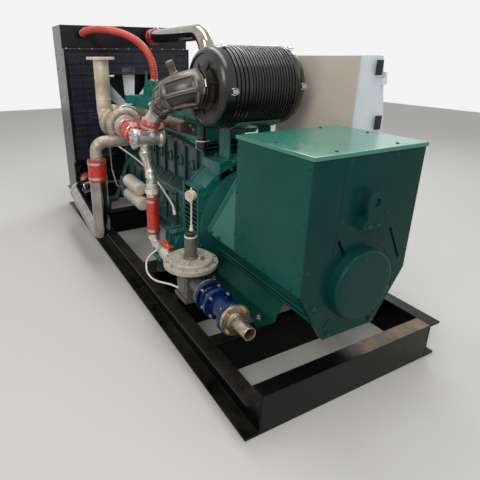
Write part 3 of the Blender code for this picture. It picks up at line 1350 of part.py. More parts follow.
def fan():
    near = FAN_NEAR_Y
    far = FAN_FAR_Y
    rim = FAN_PULLEY_RADIUS
    profile = [(0, PULLEY_NEAR_Y), (rim, PULLEY_NEAR_Y), (rim, PULLEY_FAR_Y)]
    profile += [(FAN_SHAFT_RADIUS, PULLEY_FAR_Y + FAN_SHAFT_RADIUS / 2), (FAN_SHAFT_RADIUS, near)]
    profile += [(FAN_HUB_RADIUS, near), (FAN_HUB_RADIUS, far), (0, far)]
    wheel = turned(profile, "Y", (0, FAN_Z), ROUND_FACETS - 4)
    for index in range(FAN_BLADES):
        join(wheel, fan_blade(2 * pi * index / FAN_BLADES))
    return wheel


def crank_pulley():
    near = BLOCK_FRONT_Y + RUNNING_GAP
    profile = [(0, near), (CRANK_HUB_RADIUS, near), (CRANK_HUB_RADIUS, PULLEY_NEAR_Y)]
    profile += [(CRANK_PULLEY_RADIUS, PULLEY_NEAR_Y), (CRANK_PULLEY_RADIUS, PULLEY_FAR_Y)]
    profile += [(CRANK_HUB_RADIUS, PULLEY_FAR_Y), (CRANK_HUB_RADIUS, PULLEY_FAR_Y - BITE * 3)]
    profile += [(0, PULLEY_FAR_Y - BITE * 3)]
    return turned(profile, "Y", (0, CRANK_Z), ROUND_FACETS)


def belt_outline(gap):
    # two arcs joined by the straight runs that are tangent to both
    small = FAN_PULLEY_RADIUS + gap
    large = CRANK_PULLEY_RADIUS + gap
    lean = acos(max(-1, min(1, (large - small) / (FAN_Z - CRANK_Z))))
    top = arc((0, FAN_Z), small, pi / 2 - lean, pi / 2 + lean, BELT_STEPS)
    low = arc((0, CRANK_Z), large, pi / 2 + lean, 5 * pi / 2 - lean, BELT_STEPS)
    return top + low


def fan_belt():
    middle = (PULLEY_NEAR_Y + PULLEY_FAR_Y) / 2
    near = middle - BELT_WIDTH / 2
    far = middle + BELT_WIDTH / 2
    inner = belt_outline(BELT_CLEARANCE)
    outer = belt_outline(BELT_CLEARANCE + BELT_THICKNESS)
    bm = bmesh.new()
    rings = []
    for outline, y in ((inner, near), (outer, near), (outer, far), (inner, far)):
        rings.append([bm.verts.new((x, y, z)) for x, z in outline])
    for ring, following in zip(rings, rings[1:] + rings[:1]):
        stitch(bm, ring, following)
    return solid(bm)


def joint_empty(name, place, parent):
    empty = bpy.data.objects.new(name, None)
    empty.location = place
    empty.parent = parent
    bpy.context.collection.objects.link(empty)
    return empty


def build_fan_drive(paints, root):
    finish("fan", fan(), paints["white_plastic"], root, (0, FAN_NEAR_Y, FAN_Z))
    finish("crank_pulley", crank_pulley(), paints["frame"], root, (0, PULLEY_NEAR_Y, CRANK_Z))
    finish("fan_belt", fan_belt(), paints["rubber"], root)


# Air intake

def air_filter():
    left = AIR_FILTER_LEFT_X
    right = AIR_FILTER_RIGHT_X
    outer = AIR_FILTER_RADIUS
    rounding = AIR_FILTER_ROUNDING
    groove = AIR_FILTER_GROOVE_DEPTH
    neck = AIR_FILTER_NECK_RADIUS
    cap_left = left + AIR_FILTER_CAP_LENGTH
    cap_right = right - AIR_FILTER_CAP_LENGTH / 2
    profile = [(0, left - AIR_FILTER_NECK_LENGTH), (neck, left - AIR_FILTER_NECK_LENGTH)]
    profile += [(neck, left), (outer - rounding, left)]
    profile += [(outer - rounding / 3, left + rounding / 3), (outer, left + rounding), (outer, cap_left)]
    pitch = (cap_right - cap_left) / AIR_FILTER_GROOVES
    for index in range(AIR_FILTER_GROOVES):
        start = cap_left + index * pitch
        profile += [(outer - groove, start + pitch / 2), (outer, start + pitch)]
    profile += [(outer, right - rounding), (outer - rounding / 3, right - rounding / 3)]
    profile += [(outer - rounding, right), (0, right)]
    body = turned(profile, "X", (AIR_FILTER_Y, AIR_FILTER_Z), ROUND_FACETS - 4)
    bowl_top = AIR_FILTER_Z - outer + OVERRUN * 2
    bowl_low = AIR_FILTER_Z - outer - DUST_BOWL_LENGTH
    place = (DUST_BOWL_X, AIR_FILTER_Y + outer / 4)
    return join(body, cylinder(DUST_BOWL_RADIUS, bowl_low, bowl_top, "Z", place))


def filter_bracket():
    low = HOUSING_PAD_Z + SEAT
    radius = AIR_FILTER_RADIUS + SEAT * 3
    half = BRACKET_HALF_WIDTH
    near = AIR_FILTER_Y - BRACKET_HALF_DEPTH
    far = AIR_FILTER_Y + BRACKET_HALF_DEPTH
    wrap = BRACKET_WRAP
    centre = (AIR_FILTER_Y, AIR_FILTER_Z)
    steps = SMALL_FACETS // 2
    inner = arc(centre, radius, -pi / 2 - wrap, -pi / 2 + wrap, steps)
    outer = arc(centre, radius + BRACKET_PLATE, -pi / 2 + wrap, -pi / 2 - wrap, steps)
    saddle = prism(inner + outer, -half + BRACKET_PLATE * 3, half, "X")
    leg_top = AIR_FILTER_Z - radius - BRACKET_PLATE / 2
    for x in (-half + BRACKET_PLATE * 3, half - BRACKET_PLATE):
        join(saddle, block((x, near, low), (x + BRACKET_PLATE, far, leg_top)))
    base_high = (half + BRACKET_PLATE, far, low + BRACKET_PLATE)
    join(saddle, block((-half, near, low), base_high))
    return saddle


def filter_elbow():
    start_x = AIR_FILTER_LEFT_X - AIR_FILTER_NECK_LENGTH - SEAT
    corners = [(start_x, AIR_FILTER_Y, AIR_FILTER_Z)]
    corners += [(ELBOW_REACH_X, AIR_FILTER_Y, AIR_FILTER_Z - ELBOW_DROP)]
    top, port = elbow_exit()
    corners += [top - (port - top).normalized() * ELBOW_TAIL, top]
    route = bent_route(corners, ELBOW_BEND, ELBOW_STEPS)
    runs = [(after - before).length for before, after in zip(route, route[1:])]
    radii = []
    for index in range(len(route)):
        share = sum(runs[:index]) / sum(runs)
        radii.append(ELBOW_RADIUS + (ELBOW_END_RADIUS - ELBOW_RADIUS) * share)
    return swept(route, radii, SMALL_FACETS + 4, (-1, 0, 0), port - top)


def elbow_exit():
    # the last straight direction of the elbow, shared with the tube that continues it
    top = Vector((ELBOW_END_X, ELBOW_END_Y, ELBOW_END_Z))
    port = Vector((MIXER_PORT_X, MIXER_Y, MIXER_PORT_TOP_Z + MIXER_HOSE_HEIGHT))
    return top, port


def mixer_inlet_tube():
    top, port = elbow_exit()
    heading = (port - top).normalized()
    start = top + heading * SEAT
    end = port + Vector((0, 0, SEAT))
    return swept([start, end], INLET_TUBE_RADIUS, SMALL_FACETS + 4, heading, (0, 0, -1))


def gas_mixer():
    left = MIXER_LEFT_X
    right = MIXER_RIGHT_X
    cover = MIXER_COVER_RADIUS
    plate = MIXER_COVER_THICKNESS
    body = MIXER_RADIUS
    profile = [(0, left), (cover, left), (cover, left + plate), (body, left + plate)]
    profile += [(body, right - plate), (cover, right - plate), (cover, right), (0, right)]
    mixer = turned(profile, "X", (MIXER_Y, MIXER_Z), ROUND_FACETS - 8)
    port_place = (MIXER_PORT_X, MIXER_Y)
    port_top = MIXER_PORT_TOP_Z - SEAT
    join(mixer, cylinder(MIXER_PORT_RADIUS, MIXER_Z, port_top, "Z", port_place, ROUND_FACETS - 8))
    gas_place = (MIXER_GAS_PORT_X, MIXER_Y)
    join(mixer, cylinder(RISER_RADIUS, MIXER_GAS_PORT_Z + SEAT, MIXER_Z, "Z", gas_place))
    outlet_place = (TURBO_X, MIXER_Z)
    join(mixer, cylinder(MIXER_OUTLET_RADIUS, MIXER_Y, MIXER_OUTLET_Y, "Y", outlet_place))
    return mixer


def mixer_top_hose():
    low = MIXER_PORT_TOP_Z
    high = low + MIXER_HOSE_HEIGHT
    return cylinder(MIXER_HOSE_RADIUS, low, high, "Z", (MIXER_PORT_X, MIXER_Y), ROUND_FACETS - 8)


def compressor_inlet_hose():
    start = (TURBO_X, MIXER_OUTLET_Y + SEAT, MIXER_Z)
    end = (TURBO_X, COMPRESSOR_NEAR_Y - SEAT, TURBO_Z)
    run = (COMPRESSOR_NEAR_Y - MIXER_OUTLET_Y) / 2
    route = swinging_route(start, (0, run, 0), end, (0, run, 0), TUBE_STEPS)
    return swept(route, COMPRESSOR_HOSE_RADIUS, SMALL_FACETS + 4, (0, 1, 0), (0, 1, 0))


def build_air_intake(paints, root):
    plastic = paints["black_plastic"]
    finish("air_filter", air_filter(), plastic, root)
    finish("air_filter_bracket", filter_bracket(), paints["engine_teal"], root)
    finish("air_filter_elbow", filter_elbow(), paints["rubber"], root)
    finish("mixer_inlet_tube", mixer_inlet_tube(), paints["aluminium_tube"], root)
    finish("mixer_top_hose", mixer_top_hose(), paints["red_silicone"], root)
    finish("gas_mixer", gas_mixer(), paints["cast_aluminium"], root)
    finish("compressor_inlet_hose", compressor_inlet_hose(), paints["red_silicone"], root)


# Gas train

def riser_hose():
    low = RISER_HOSE_BOTTOM_Z + SEAT
    high = RISER_HOSE_TOP_Z - SEAT
    return cylinder(RISER_HOSE_RADIUS, low, high, "Z", (GAS_X, RISER_Y), SMALL_FACETS + 4)


def riser_pipe():
    corners = [(GAS_X, RISER_Y, RISER_HOSE_TOP_Z), (GAS_X, RISER_Y, RISER_BEND_Z)]
    corners += [(MIXER_GAS_PORT_X, MIXER_Y, MIXER_GAS_PORT_Z - RISER_BEND)]
    corners += [(MIXER_GAS_PORT_X, MIXER_Y, MIXER_GAS_PORT_Z)]
    pipe = swept(bent_route(corners, RISER_BEND), RISER_RADIUS, SMALL_FACETS, arriving=(0, 0, 1))
    low = RISER_HOSE_TOP_Z + RISER_NUT_HEIGHT / 2
    nut = cylinder(RISER_NUT_RADIUS, low, low + RISER_NUT_HEIGHT, "Z", (GAS_X, RISER_Y), 8)
    return join(pipe, nut)


def gas_valve():
    end_y = REGULATOR_FAR_Y + SEAT
    corners = [(GAS_X, RISER_Y, RISER_HOSE_BOTTOM_Z), (GAS_X, RISER_Y, GAS_Z), (GAS_X, end_y, GAS_Z)]
    pipe = swept(bent_route(corners, GAS_ELBOW_BEND), GAS_PIPE_RADIUS, SMALL_FACETS - 4)
    half = VALVE_LENGTH / 2
    place = (GAS_X, GAS_Z)
    join(pipe, cylinder(VALVE_RADIUS, VALVE_Y - half, VALVE_Y + half, "Y", place, 8))
    stem_high = VALVE_STEM_TOP_Z - HANDLE_THICKNESS - SEAT
    join(pipe, cylinder(VALVE_STEM_RADIUS, GAS_Z, stem_high, "Z", (GAS_X, VALVE_Y), 8))
    return pipe


def valve_handle():
    # a butterfly handle: two raised wings on a round hub
    low = VALVE_STEM_TOP_Z - HANDLE_THICKNESS
    high = VALVE_STEM_TOP_Z
    half = HANDLE_LENGTH / 2
    wide = HANDLE_WIDTH / 2
    lift = HANDLE_WING_LIFT
    hub = cylinder(wide, low, high + BITE, "Z", (GAS_X, VALVE_Y), SMALL_FACETS)
    for side in (-1, 1):
        tip = VALVE_Y + side * half
        knee = VALVE_Y + side * half / 2
        outline = [(VALVE_Y, low + BITE / 2), (knee, low + BITE / 2), (tip, low + lift)]
        outline += [(tip, high + lift), (knee, high), (VALVE_Y, high)]
        join(hub, prism(outline, GAS_X - wide / 2, GAS_X + wide / 2, "X"))
    return hub


def gas_regulator():
    disc = REGULATOR_DISC_Z
    thick = REGULATOR_DISC_THICKNESS
    bowl = REGULATOR_BODY_RADIUS
    low = REGULATOR_BODY_BOTTOM_Z
    rim = REGULATOR_RADIUS
    dome = REGULATOR_TOWER_RADIUS
    cap = dome * REGULATOR_CAP_SHARE
    under = rim * REGULATOR_CASE_LOW_SHARE
    shoulder = rim * REGULATOR_CASE_TOP_SHARE
    profile = [(0, low), (bowl, low), (bowl, GAS_Z), (under, disc - thick), (rim, disc - thick / 2)]
    profile += [(rim, disc + thick / 2), (shoulder, disc + thick / 2), (dome, disc + thick * 3 / 2)]
    profile += [(dome, REGULATOR_TOWER_TOP_Z), (cap, REGULATOR_TOWER_TOP_Z)]
    profile += [(cap, REGULATOR_CAP_TOP_Z), (0, REGULATOR_CAP_TOP_Z)]
    body = turned(profile, "Z", (GAS_X, REGULATOR_Y), ROUND_FACETS - 8)
    place = (GAS_X, GAS_Z)
    near = REGULATOR_NEAR_Y
    far = REGULATOR_FAR_Y
    join(body, cylinder(REGULATOR_NECK_RADIUS, near, far, "Y", place))
    flange_far = near + GAS_FLANGE_THICKNESS
    join(body, cylinder(GAS_FLANGE_RADIUS, near, flange_far, "Y", place, ROUND_FACETS - 12))
    return body


def gauge():
    low = REGULATOR_CAP_TOP_Z + SEAT
    lean_y = REGULATOR_Y - GAUGE_LEAN_Y
    ends = [(GAS_X, REGULATOR_Y, low), (GAS_X, lean_y, GAUGE_Z)]
    stem = swept(ends, GAUGE_STEM_RADIUS, 8, leaving=(0, 0, 1))
    half = GAUGE_THICKNESS / 2
    face = cylinder(GAUGE_RADIUS, lean_y - half, lean_y + half, "Y", (GAS_X, GAUGE_Z), SMALL_FACETS + 4)
    return join(stem, face)


def flame_arrester():
    near = ARRESTER_NEAR_Y
    far = ARRESTER_FAR_Y
    middle = ARRESTER_MIDDLE_Y
    flange = ARRESTER_FLANGE_RADIUS
    thick = ARRESTER_FLANGE_THICKNESS
    body = ARRESTER_BODY_RADIUS
    groove = thick / 4
    profile = [(0, near), (flange, near), (flange, near + thick), (body, near + thick)]
    profile += [(body, middle - thick - groove), (flange, middle - thick - groove)]
    profile += [(flange, middle - groove), (flange - thick, middle - groove)]
    profile += [(flange - thick, middle + groove), (flange, middle + groove)]
    profile += [(flange, middle + thick + groove), (body, middle + thick + groove)]
    profile += [(body, far - thick), (flange, far - thick), (flange, far), (0, far)]
    return turned(profile, "Y", (GAS_X, GAS_Z), ROUND_FACETS - 12)


def gas_inlet():
    far = ARRESTER_NEAR_Y - SEAT
    flange_near = far - GAS_FLANGE_THICKNESS
    near = flange_near - INLET_STUB_LENGTH
    profile = [(INLET_STUB_BORE, near), (INLET_STUB_RADIUS, near), (INLET_STUB_RADIUS, flange_near)]
    profile += [(GAS_FLANGE_RADIUS, flange_near), (GAS_FLANGE_RADIUS, far), (INLET_STUB_BORE, far)]
    return turned(profile, "Y", (GAS_X, GAS_Z), ROUND_FACETS - 8, closed=True)


def impulse_tube():
    side_x = GAS_X - GAS_PIPE_RADIUS - SEAT
    start_y = (VALVE_Y + RISER_Y) / 2
    out_x = side_x - IMPULSE_LOOP
    body_y = REGULATOR_Y
    body_x = GAS_X - REGULATOR_BODY_RADIUS - SEAT
    low_z = GAS_Z - IMPULSE_DROP
    corners = [(side_x, start_y, GAS_Z), (out_x, start_y, GAS_Z), (out_x, start_y, low_z)]
    corners += [(out_x, body_y, low_z), (body_x, body_y, low_z)]
    return swept(bent_route(corners, IMPULSE_BEND, 3), IMPULSE_RADIUS, 6)


def build_gas_train(paints, root):
    silver = paints["galvanised"]
    finish("gas_riser_hose", riser_hose(), paints["red_silicone"], root)
    finish("gas_riser_pipe", riser_pipe(), silver, root)
    finish("gas_valve", gas_valve(), silver, root)
    turn_place = (GAS_X, VALVE_Y, VALVE_STEM_TOP_Z)
    finish("gas_valve_handle", valve_handle(), paints["handle_red"], root, turn_place)
    finish("gas_regulator", gas_regulator(), paints["cast_aluminium"], root)
    finish("gas_gauge", gauge(), paints["cream"], root)
    finish("flame_arrester", flame_arrester(), paints["blue_enamel"], root)
    finish("gas_inlet", gas_inlet(), silver, root)
    finish("impulse_tube", impulse_tube(), silver, root)


# Control cabinet

def cabinet_outline(inset):
    # back, top, slope and bottom, with the slope's wall measured square to it
    slant = inset / cos(CABINET_SLOPE)
    low = CABINET_BOTTOM_Z + inset
    high = CABINET_TOP_Z - inset
    rise_low = (CABINET_TOP_Z - low) * tan(CABINET_SLOPE)
    rise_high = (CABINET_TOP_Z - high) * tan(CABINET_SLOPE)
    back = CABINET_BACK_X + inset
    front_low = CABINET_TOP_X + rise_low - slant
    front_high = CABINET_TOP_X + rise_high - slant
    return [(back, low), (front_low, low), (front_high, high), (back, high)]


def slope_place():
    # the frame of the door's plane: Z up the slope and X out of the cabinet
    middle_y = (CABINET_NEAR_Y + CABINET_FAR_Y) / 2
    low = Vector((CABINET_BOTTOM_X, middle_y, CABINET_BOTTOM_Z))
    return Matrix.Translation(low) @ Matrix.Rotation(-CABINET_SLOPE, 4, "Y")


def slope_length():
    return CABINET_HEIGHT / cos(CABINET_SLOPE)


def moved(shape, matrix):
    shape.data.transform(matrix)
    return shape


def hinge_axis_place():
    # in the door plane's frame: just past the near edge, level with the door's face
    near = -CABINET_LENGTH / 2
    return DOOR_GAP + DOOR_THICKNESS, near - HINGE_OFFSET


def cabinet_body():
    body = prism(cabinet_outline(0), CABINET_NEAR_Y, CABINET_FAR_Y, "Y")
    near = CABINET_NEAR_Y + CABINET_WALL
    far = CABINET_FAR_Y - CABINET_WALL
    cut(body, prism(cabinet_outline(CABINET_WALL), near, far, "Y"))
    length = slope_length()
    half = CABINET_LENGTH / 2
    lip = CABINET_LIP
    window = block((-lip, -half + lip, lip), (lip, half - lip, length - lip))
    cut(body, moved(window, slope_place()))
    axis_x, axis_y = hinge_axis_place()
    reach = CABINET_WALL / 2
    for z in (HINGE_INSET, length - HINGE_INSET - HINGE_LENGTH):
        near_y = axis_y - HINGE_RADIUS / 2
        end = z + HINGE_LENGTH / 2
        leaf = block((-reach, near_y, z), (axis_x, axis_y + HINGE_RADIUS / 2, end))
        join(leaf, block((-reach * 4, near_y, z), (-reach, -half + reach, end)))
        barrel = cylinder(HINGE_RADIUS, z, end, "Z", (axis_x, axis_y), HOSE_FACETS)
        join(body, moved(join(leaf, barrel), slope_place()))
    return body


def cabinet_door():
    length = slope_length()
    half = CABINET_LENGTH / 2
    margin = DOOR_MARGIN
    low = DOOR_GAP
    high = DOOR_GAP + DOOR_THICKNESS
    door = block((low, -half + margin, margin), (high, half - margin, length - margin))
    wall = DOOR_PAN_WALL
    pan_low = (low - OVERRUN, -half + margin + wall, margin + wall)
    cut(door, block(pan_low, (low + DOOR_PAN_DEPTH, half - margin - wall, length - margin - wall)))
    axis_x, axis_y = hinge_axis_place()
    for z in (HINGE_INSET, length - HINGE_INSET - HINGE_LENGTH):
        start = z + HINGE_LENGTH / 2 + SEAT
        end = z + HINGE_LENGTH
        strap_low = (high - HINGE_RADIUS / 2, axis_y, start)
        strap = block(strap_low, (high + HINGE_RADIUS / 2, -half + margin + LATCH_INSET, end))
        barrel = cylinder(HINGE_RADIUS, start, end, "Z", (axis_x, axis_y), HOSE_FACETS)
        join(door, join(strap, barrel))
    latch_y = half - margin - LATCH_INSET
    latch_place = (latch_y, length / 2)
    latch = cylinder(LATCH_RADIUS, high - BITE, high + LATCH_HEIGHT, "X", latch_place, HOSE_FACETS)
    return join(door, latch)


def cabinet_stand():
    post = STAND_POST
    left = STAND_POST_X - post / 2
    right = STAND_POST_X + post / 2
    top = CABINET_BOTTOM_Z - SEAT
    beam_low = top - STAND_BEAM_HEIGHT
    near = CABINET_NEAR_Y + STAND_POST_INSET
    far = CABINET_FAR_Y - STAND_POST_INSET
    frame = block((left, near, beam_low), (right, far, top))
    for y in (near, far - post):
        join(frame, block((left, y, RAIL_HEIGHT + SEAT), (right, y + post, beam_low + BITE)))
        join(frame, block((CABINET_BACK_X, y, beam_low), (left + BITE, y + post, top)))
    return frame


def build_cabinet(paints, root):
    finish("cabinet_body", cabinet_body(), paints["cabinet_white"], root)
    finish("cabinet_stand", cabinet_stand(), paints["frame"], root)
    place = slope_place()
    axis_x, axis_y = hinge_axis_place()
    hinge = joint_empty("cabinet_door_hinge", (0, 0, 0), root)
    hinge.matrix_local = place @ Matrix.Translation((axis_x, axis_y, 0))
    door = cabinet_door()
    door.data.transform(Matrix.Translation((-axis_x, -axis_y, 0)))
    finish("cabinet_door", door, paints["cabinet_white"], hinge)


def make_paints():
    return {
        "frame": paint("gloss_black", (0.012, 0.013, 0.015), 0.28),
        "alternator_green": paint("alternator_green", (0.016, 0.095, 0.070), 0.30),
        "engine_teal": paint("engine_teal", (0.012, 0.110, 0.095), 0.32),
        "rubber": paint("black_rubber", (0.015, 0.015, 0.016), 0.60),
        "cast_iron": paint("cast_iron", (0.12, 0.10, 0.08), 0.70, 0.6),
        "heat_tan": paint("heat_tinted_iron", (0.42, 0.30, 0.20), 0.55, 0.7),
        "cast_aluminium": paint("cast_aluminium", (0.50, 0.49, 0.47), 0.42, 0.9),
        "steel_pipe": paint("steel_pipe", (0.58, 0.54, 0.48), 0.40, 0.8),
        "chrome": paint("polished_pipe", (0.75, 0.75, 0.76), 0.10, 1.0),
        "red_silicone": paint("red_silicone", (0.55, 0.035, 0.015), 0.40),
        "core": paint("radiator_fins", (0.020, 0.020, 0.022), 0.55, 0.4),
        "white_plastic": paint("fan_white", (0.72, 0.76, 0.78), 0.45),
        "black_plastic": paint("filter_black", (0.014, 0.014, 0.015), 0.38),
        "aluminium_tube": paint("inlet_tube", (0.62, 0.62, 0.62), 0.30, 0.9),
        "galvanised": paint("galvanised_fittings", (0.56, 0.54, 0.50), 0.38, 0.85),
        "handle_red": paint("handle_orange_red", (0.70, 0.08, 0.02), 0.45),
        "cream": paint("cream_enamel", (0.78, 0.70, 0.58), 0.45),
        "blue_enamel": paint("blue_enamel", (0.010, 0.055, 0.36), 0.25),
        "cabinet_white": paint("cabinet_white", (0.74, 0.76, 0.80), 0.42),
    }


def main():
    clear_scene()
    root = joint_empty("generator_set", (0, 0, 0), None)
    paints = make_paints()
    build_base(paints, root)
    build_alternator(paints, root)
    build_engine(paints, root)
    build_exhaust(paints, root)
    build_charge_air(paints, root)
    build_radiator(paints, root)
    build_fan_drive(paints, root)
    build_air_intake(paints, root)
    build_gas_train(paints, root)
    build_cabinet(paints, root)


main()
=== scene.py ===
# Dresses the gas engine generator set: every surface's finish, and the small parts left out of the solids.
from math import acos, atan2, cos, pi, radians, sin, sqrt, tan

import bmesh
import bpy
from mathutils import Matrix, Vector


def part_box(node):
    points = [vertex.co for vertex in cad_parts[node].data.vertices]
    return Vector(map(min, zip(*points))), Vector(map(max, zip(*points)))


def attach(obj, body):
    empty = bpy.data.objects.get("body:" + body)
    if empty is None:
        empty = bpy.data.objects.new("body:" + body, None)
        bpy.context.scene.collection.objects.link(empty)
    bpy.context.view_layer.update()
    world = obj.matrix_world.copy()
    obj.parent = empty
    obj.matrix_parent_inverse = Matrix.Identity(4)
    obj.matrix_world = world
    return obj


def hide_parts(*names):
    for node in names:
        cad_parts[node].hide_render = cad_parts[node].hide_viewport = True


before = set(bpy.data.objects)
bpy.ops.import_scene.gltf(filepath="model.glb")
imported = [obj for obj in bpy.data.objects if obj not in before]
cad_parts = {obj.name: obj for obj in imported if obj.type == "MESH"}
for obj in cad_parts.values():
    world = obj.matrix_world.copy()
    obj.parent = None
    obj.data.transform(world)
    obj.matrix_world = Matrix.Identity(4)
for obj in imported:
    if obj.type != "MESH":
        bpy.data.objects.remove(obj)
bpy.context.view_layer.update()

fixedBody = "genset_frame"
print("frame:", len(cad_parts), "nodes")


cornerSigns = ((-1, -1), (1, -1), (1, 1), (-1, 1))  # the corners of a rectangle, in order
axes = {"X": (1, 0, 0), "-X": (-1, 0, 0), "Y": (0, 1, 0), "-Y": (0, -1, 0), "Z": (0, 0, 1), "-Z": (0, 0, -1)}


def heading(direction):  # from a vector or from the name of an axis
    return Vector(axes[direction] if isinstance(direction, str) else direction).normalized()


def basis(direction):  # two directions square to this one, the second as near up as can be
    ahead = heading(direction)
    rough = Vector((0, 0, 1)) if abs(ahead.z) < 0.9 else Vector((0, 1, 0))
    across = ahead.cross(rough).normalized()
    return ahead, across, across.cross(ahead).normalized()


def mm(*spots):  # spots given in millimetres
    return [tuple(number / 1000 for number in spot) for spot in spots]


def turnedRing(centre, across, up, radius, steps):
    ring = []
    for step in range(steps):
        angle = 2 * pi * (step + 0.5) / steps
        ring.append(Vector(centre) + (across * cos(angle) + up * sin(angle)) * radius)
    return ring


class Sizes(dict):  # a dictionary of sizes in metres, which are also read as attributes
    __getattr__ = dict.__getitem__


class Draft:  # gathers the solid shapes of one piece, each with the width of its own rounded edges
    def __init__(self):
        self.shapes = []

    def loft(self, rings, edge=0.0, closed=False):
        count = len(rings[0])
        spots = [Vector(spot) for ring in rings for spot in ring]
        faces = []
        for row in range(len(rings) - (0 if closed else 1)):
            first = row * count
            second = (row + 1) % len(rings) * count
            for step in range(count):
                after = (step + 1) % count
                faces.append((first + step, first + after, second + after, second + step))
        if not closed:
            faces.append(tuple(range(count)))
            faces.append(tuple(range((len(rings) - 1) * count, len(rings) * count)))
        self.shapes.append((spots, faces, edge))
        return self

    def plate(self, outline, start, end, axis, edge=0.0):
        place = {"X": lambda a, b, s: (s, a, b), "Y": lambda a, b, s: (a, s, b),
            "Z": lambda a, b, s: (a, b, s)}[axis]
        return self.loft([[place(a, b, start) for a, b in outline], [place(a, b, end) for a, b in outline]],
            edge)

    def box(self, first, second, edge=0.0):  # from any two opposite corners
        low, high = [min(pair) for pair in zip(first, second)], [max(pair) for pair in zip(first, second)]
        outline = [(low[0], low[1]), (high[0], low[1]), (high[0], high[1]), (low[0], high[1])]
        return self.plate(outline, low[2], high[2], "Z", edge)

    def spin(self, place, direction, profile, steps=48, edge=0.0, closed=False):
        ahead, across, up = basis(direction)  # profile holds (radius, place along the direction)
        rings = [turnedRing(Vector(place) + ahead * along, across, up, max(radius, 0.00005), steps) for radius,
            along in profile]
        return self.loft(rings, edge, closed)

    def rod(self, start, end, radius, steps=16, edge=0.0):
        reach = Vector(end) - Vector(start)
        return self.spin(start, reach, [(radius, 0), (radius, reach.length)], steps, edge)

    def tube(self, route, radius, steps=32, leaving=None, arriving=None, edge=0.0):
        route = [Vector(spot) for spot in route]
        radii = radius if isinstance(radius, list) else [radius] * len(route)
        rings = []
        side = None
        for index, spot in enumerate(route):
            ahead = (route[min(index + 1, len(route) - 1)] - route[max(index - 1, 0)]).normalized()
            if index == 0 and leaving:
                ahead = heading(leaving)
            if index == len(route) - 1 and arriving:
                ahead = heading(arriving)
            side = ahead.orthogonal() if side is None else side - ahead * side.dot(ahead)
            side.normalize()
            rings.append(turnedRing(spot, side, ahead.cross(side), radii[index], steps))
        return self.loft(rings, edge)

    def bolt(self, place, direction, size, tall=0.62):  # a six-sided head on its washer
        ahead, across, up = basis(direction)
        self.spin(place, ahead, [(size, -size / 4), (size, size / 5)], 18)
        start = Vector(place) + ahead * (size / 5)
        head = [turnedRing(start - ahead * (size / 5), across, up, size * 0.86, 6),
            turnedRing(start + ahead * (size * tall), across, up, size * 0.86, 6)]
        return self.loft(head, size / 12)

    def bolts(self, spots, direction, size, tall=0.62):
        for spot in spots:
            self.bolt(spot, direction, size, tall)

    def screw(self, place, direction, size):
        profile = [(size, -size / 2), (size, size / 5), (size * 0.8, size / 2.2), (size * 0.35, size / 2),
            (size * 0.3, size / 5)]
        return self.spin(place, direction, profile, 16)

    def clamp(self, place, direction, radius, width=0.012, turn=0.0):
        ahead, across, up = basis(direction)
        lift = 0.0016
        band = [(radius, -width / 2), (radius + lift, -width / 2), (radius + lift, width / 2),
            (radius, width / 2)]
        self.spin(place, ahead, band, 56, 0.0, True)
        out = across * cos(turn) + up * sin(turn)
        along = ahead.cross(out)
        centre = Vector(place) + out * (radius + width * 0.45)
        self.rod(centre - along * width * 0.9, centre + along * width * 0.9, width * 0.42, 14, width / 14)
        self.rod(centre + along * width * 0.9, centre + along * width * 1.35, width * 0.34, 6, width / 20)
        saddle = Vector(place) + out * (radius + lift)
        corners = []
        for a, b in cornerSigns:
            corners.append(saddle + ahead * (a * width * 0.5) + along * (b * width * 0.8))
        return self.loft([corners, [corner + out * (width * 0.35) for corner in corners]], width / 16)


# even spots on a circle round the axis, the first at this angle
def around(centre, axis, radius, count, first=0):
    spots = []
    for index in range(count):
        angle = radians(first + 360 * index / count)
        across, up = radius * cos(angle), radius * sin(angle)
        shift = {"X": (0, across, up), "Y": (across, 0, up), "Z": (across, up, 0)}[axis]
        spots.append(tuple(start + step for start, step in zip(centre, shift)))
    return spots


def roundedBy(profile, reach, steps=4):  # the same profile with each inner corner turned into a small arc
    result = [profile[0]]
    for before, corner, after in zip(profile, profile[1:], profile[2:]):
        a, b, c = Vector(before), Vector(corner), Vector(after)
        trim = min(reach, (a - b).length * 0.48, (c - b).length * 0.48)
        start = b + (a - b).normalized() * trim
        end = b + (c - b).normalized() * trim
        for step in range(steps + 1):
            share = step / steps
            result.append(tuple(start * (1 - share) ** 2 + b * 2 * share * (1 - share) + end * share ** 2))
    return result + [profile[-1]]


def bentRoute(corners, bend, steps=12):  # straight runs joined by round bends
    corners = [Vector(corner) for corner in corners]
    route = [corners[0]]
    for before, corner, after in zip(corners, corners[1:], corners[2:]):
        inward = (before - corner).normalized()
        outward = (after - corner).normalized()
        opening = acos(max(-1, min(1, inward.dot(outward))))
        if pi - opening < radians(1):
            route.append(corner)
            continue
        legs = ((before - corner).length, (after - corner).length)
        trim = min(bend / tan(opening / 2), min(legs) * 0.98)
        radius = trim * tan(opening / 2)
        middle = corner + (inward + outward).normalized() * (radius / sin(opening / 2))
        start = corner + inward * trim - middle
        end = corner + outward * trim - middle
        turn = pi - opening
        for step in range(steps + 1):
            share = step / steps
            blended = start * sin((1 - share) * turn) + end * sin(share * turn)
            route.append(middle + blended / sin(turn))
    return route + [corners[-1]]


def curveRoute(points, steps):  # a smooth curve through the points
    points = [Vector(point) for point in points]
    padded = [2 * points[0] - points[1]] + points + [2 * points[-1] - points[-2]]
    route = []
    for a, b, c, d in zip(padded, padded[1:], padded[2:], padded[3:]):
        for step in range(steps):
            t = step / steps
            bent = (2 * a - 5 * b + 4 * c - d) * t ** 2 + (3 * b - a - 3 * c + d) * t ** 3
            route.append(b + ((c - a) * t + bent) / 2)
    return route + [points[-1]]


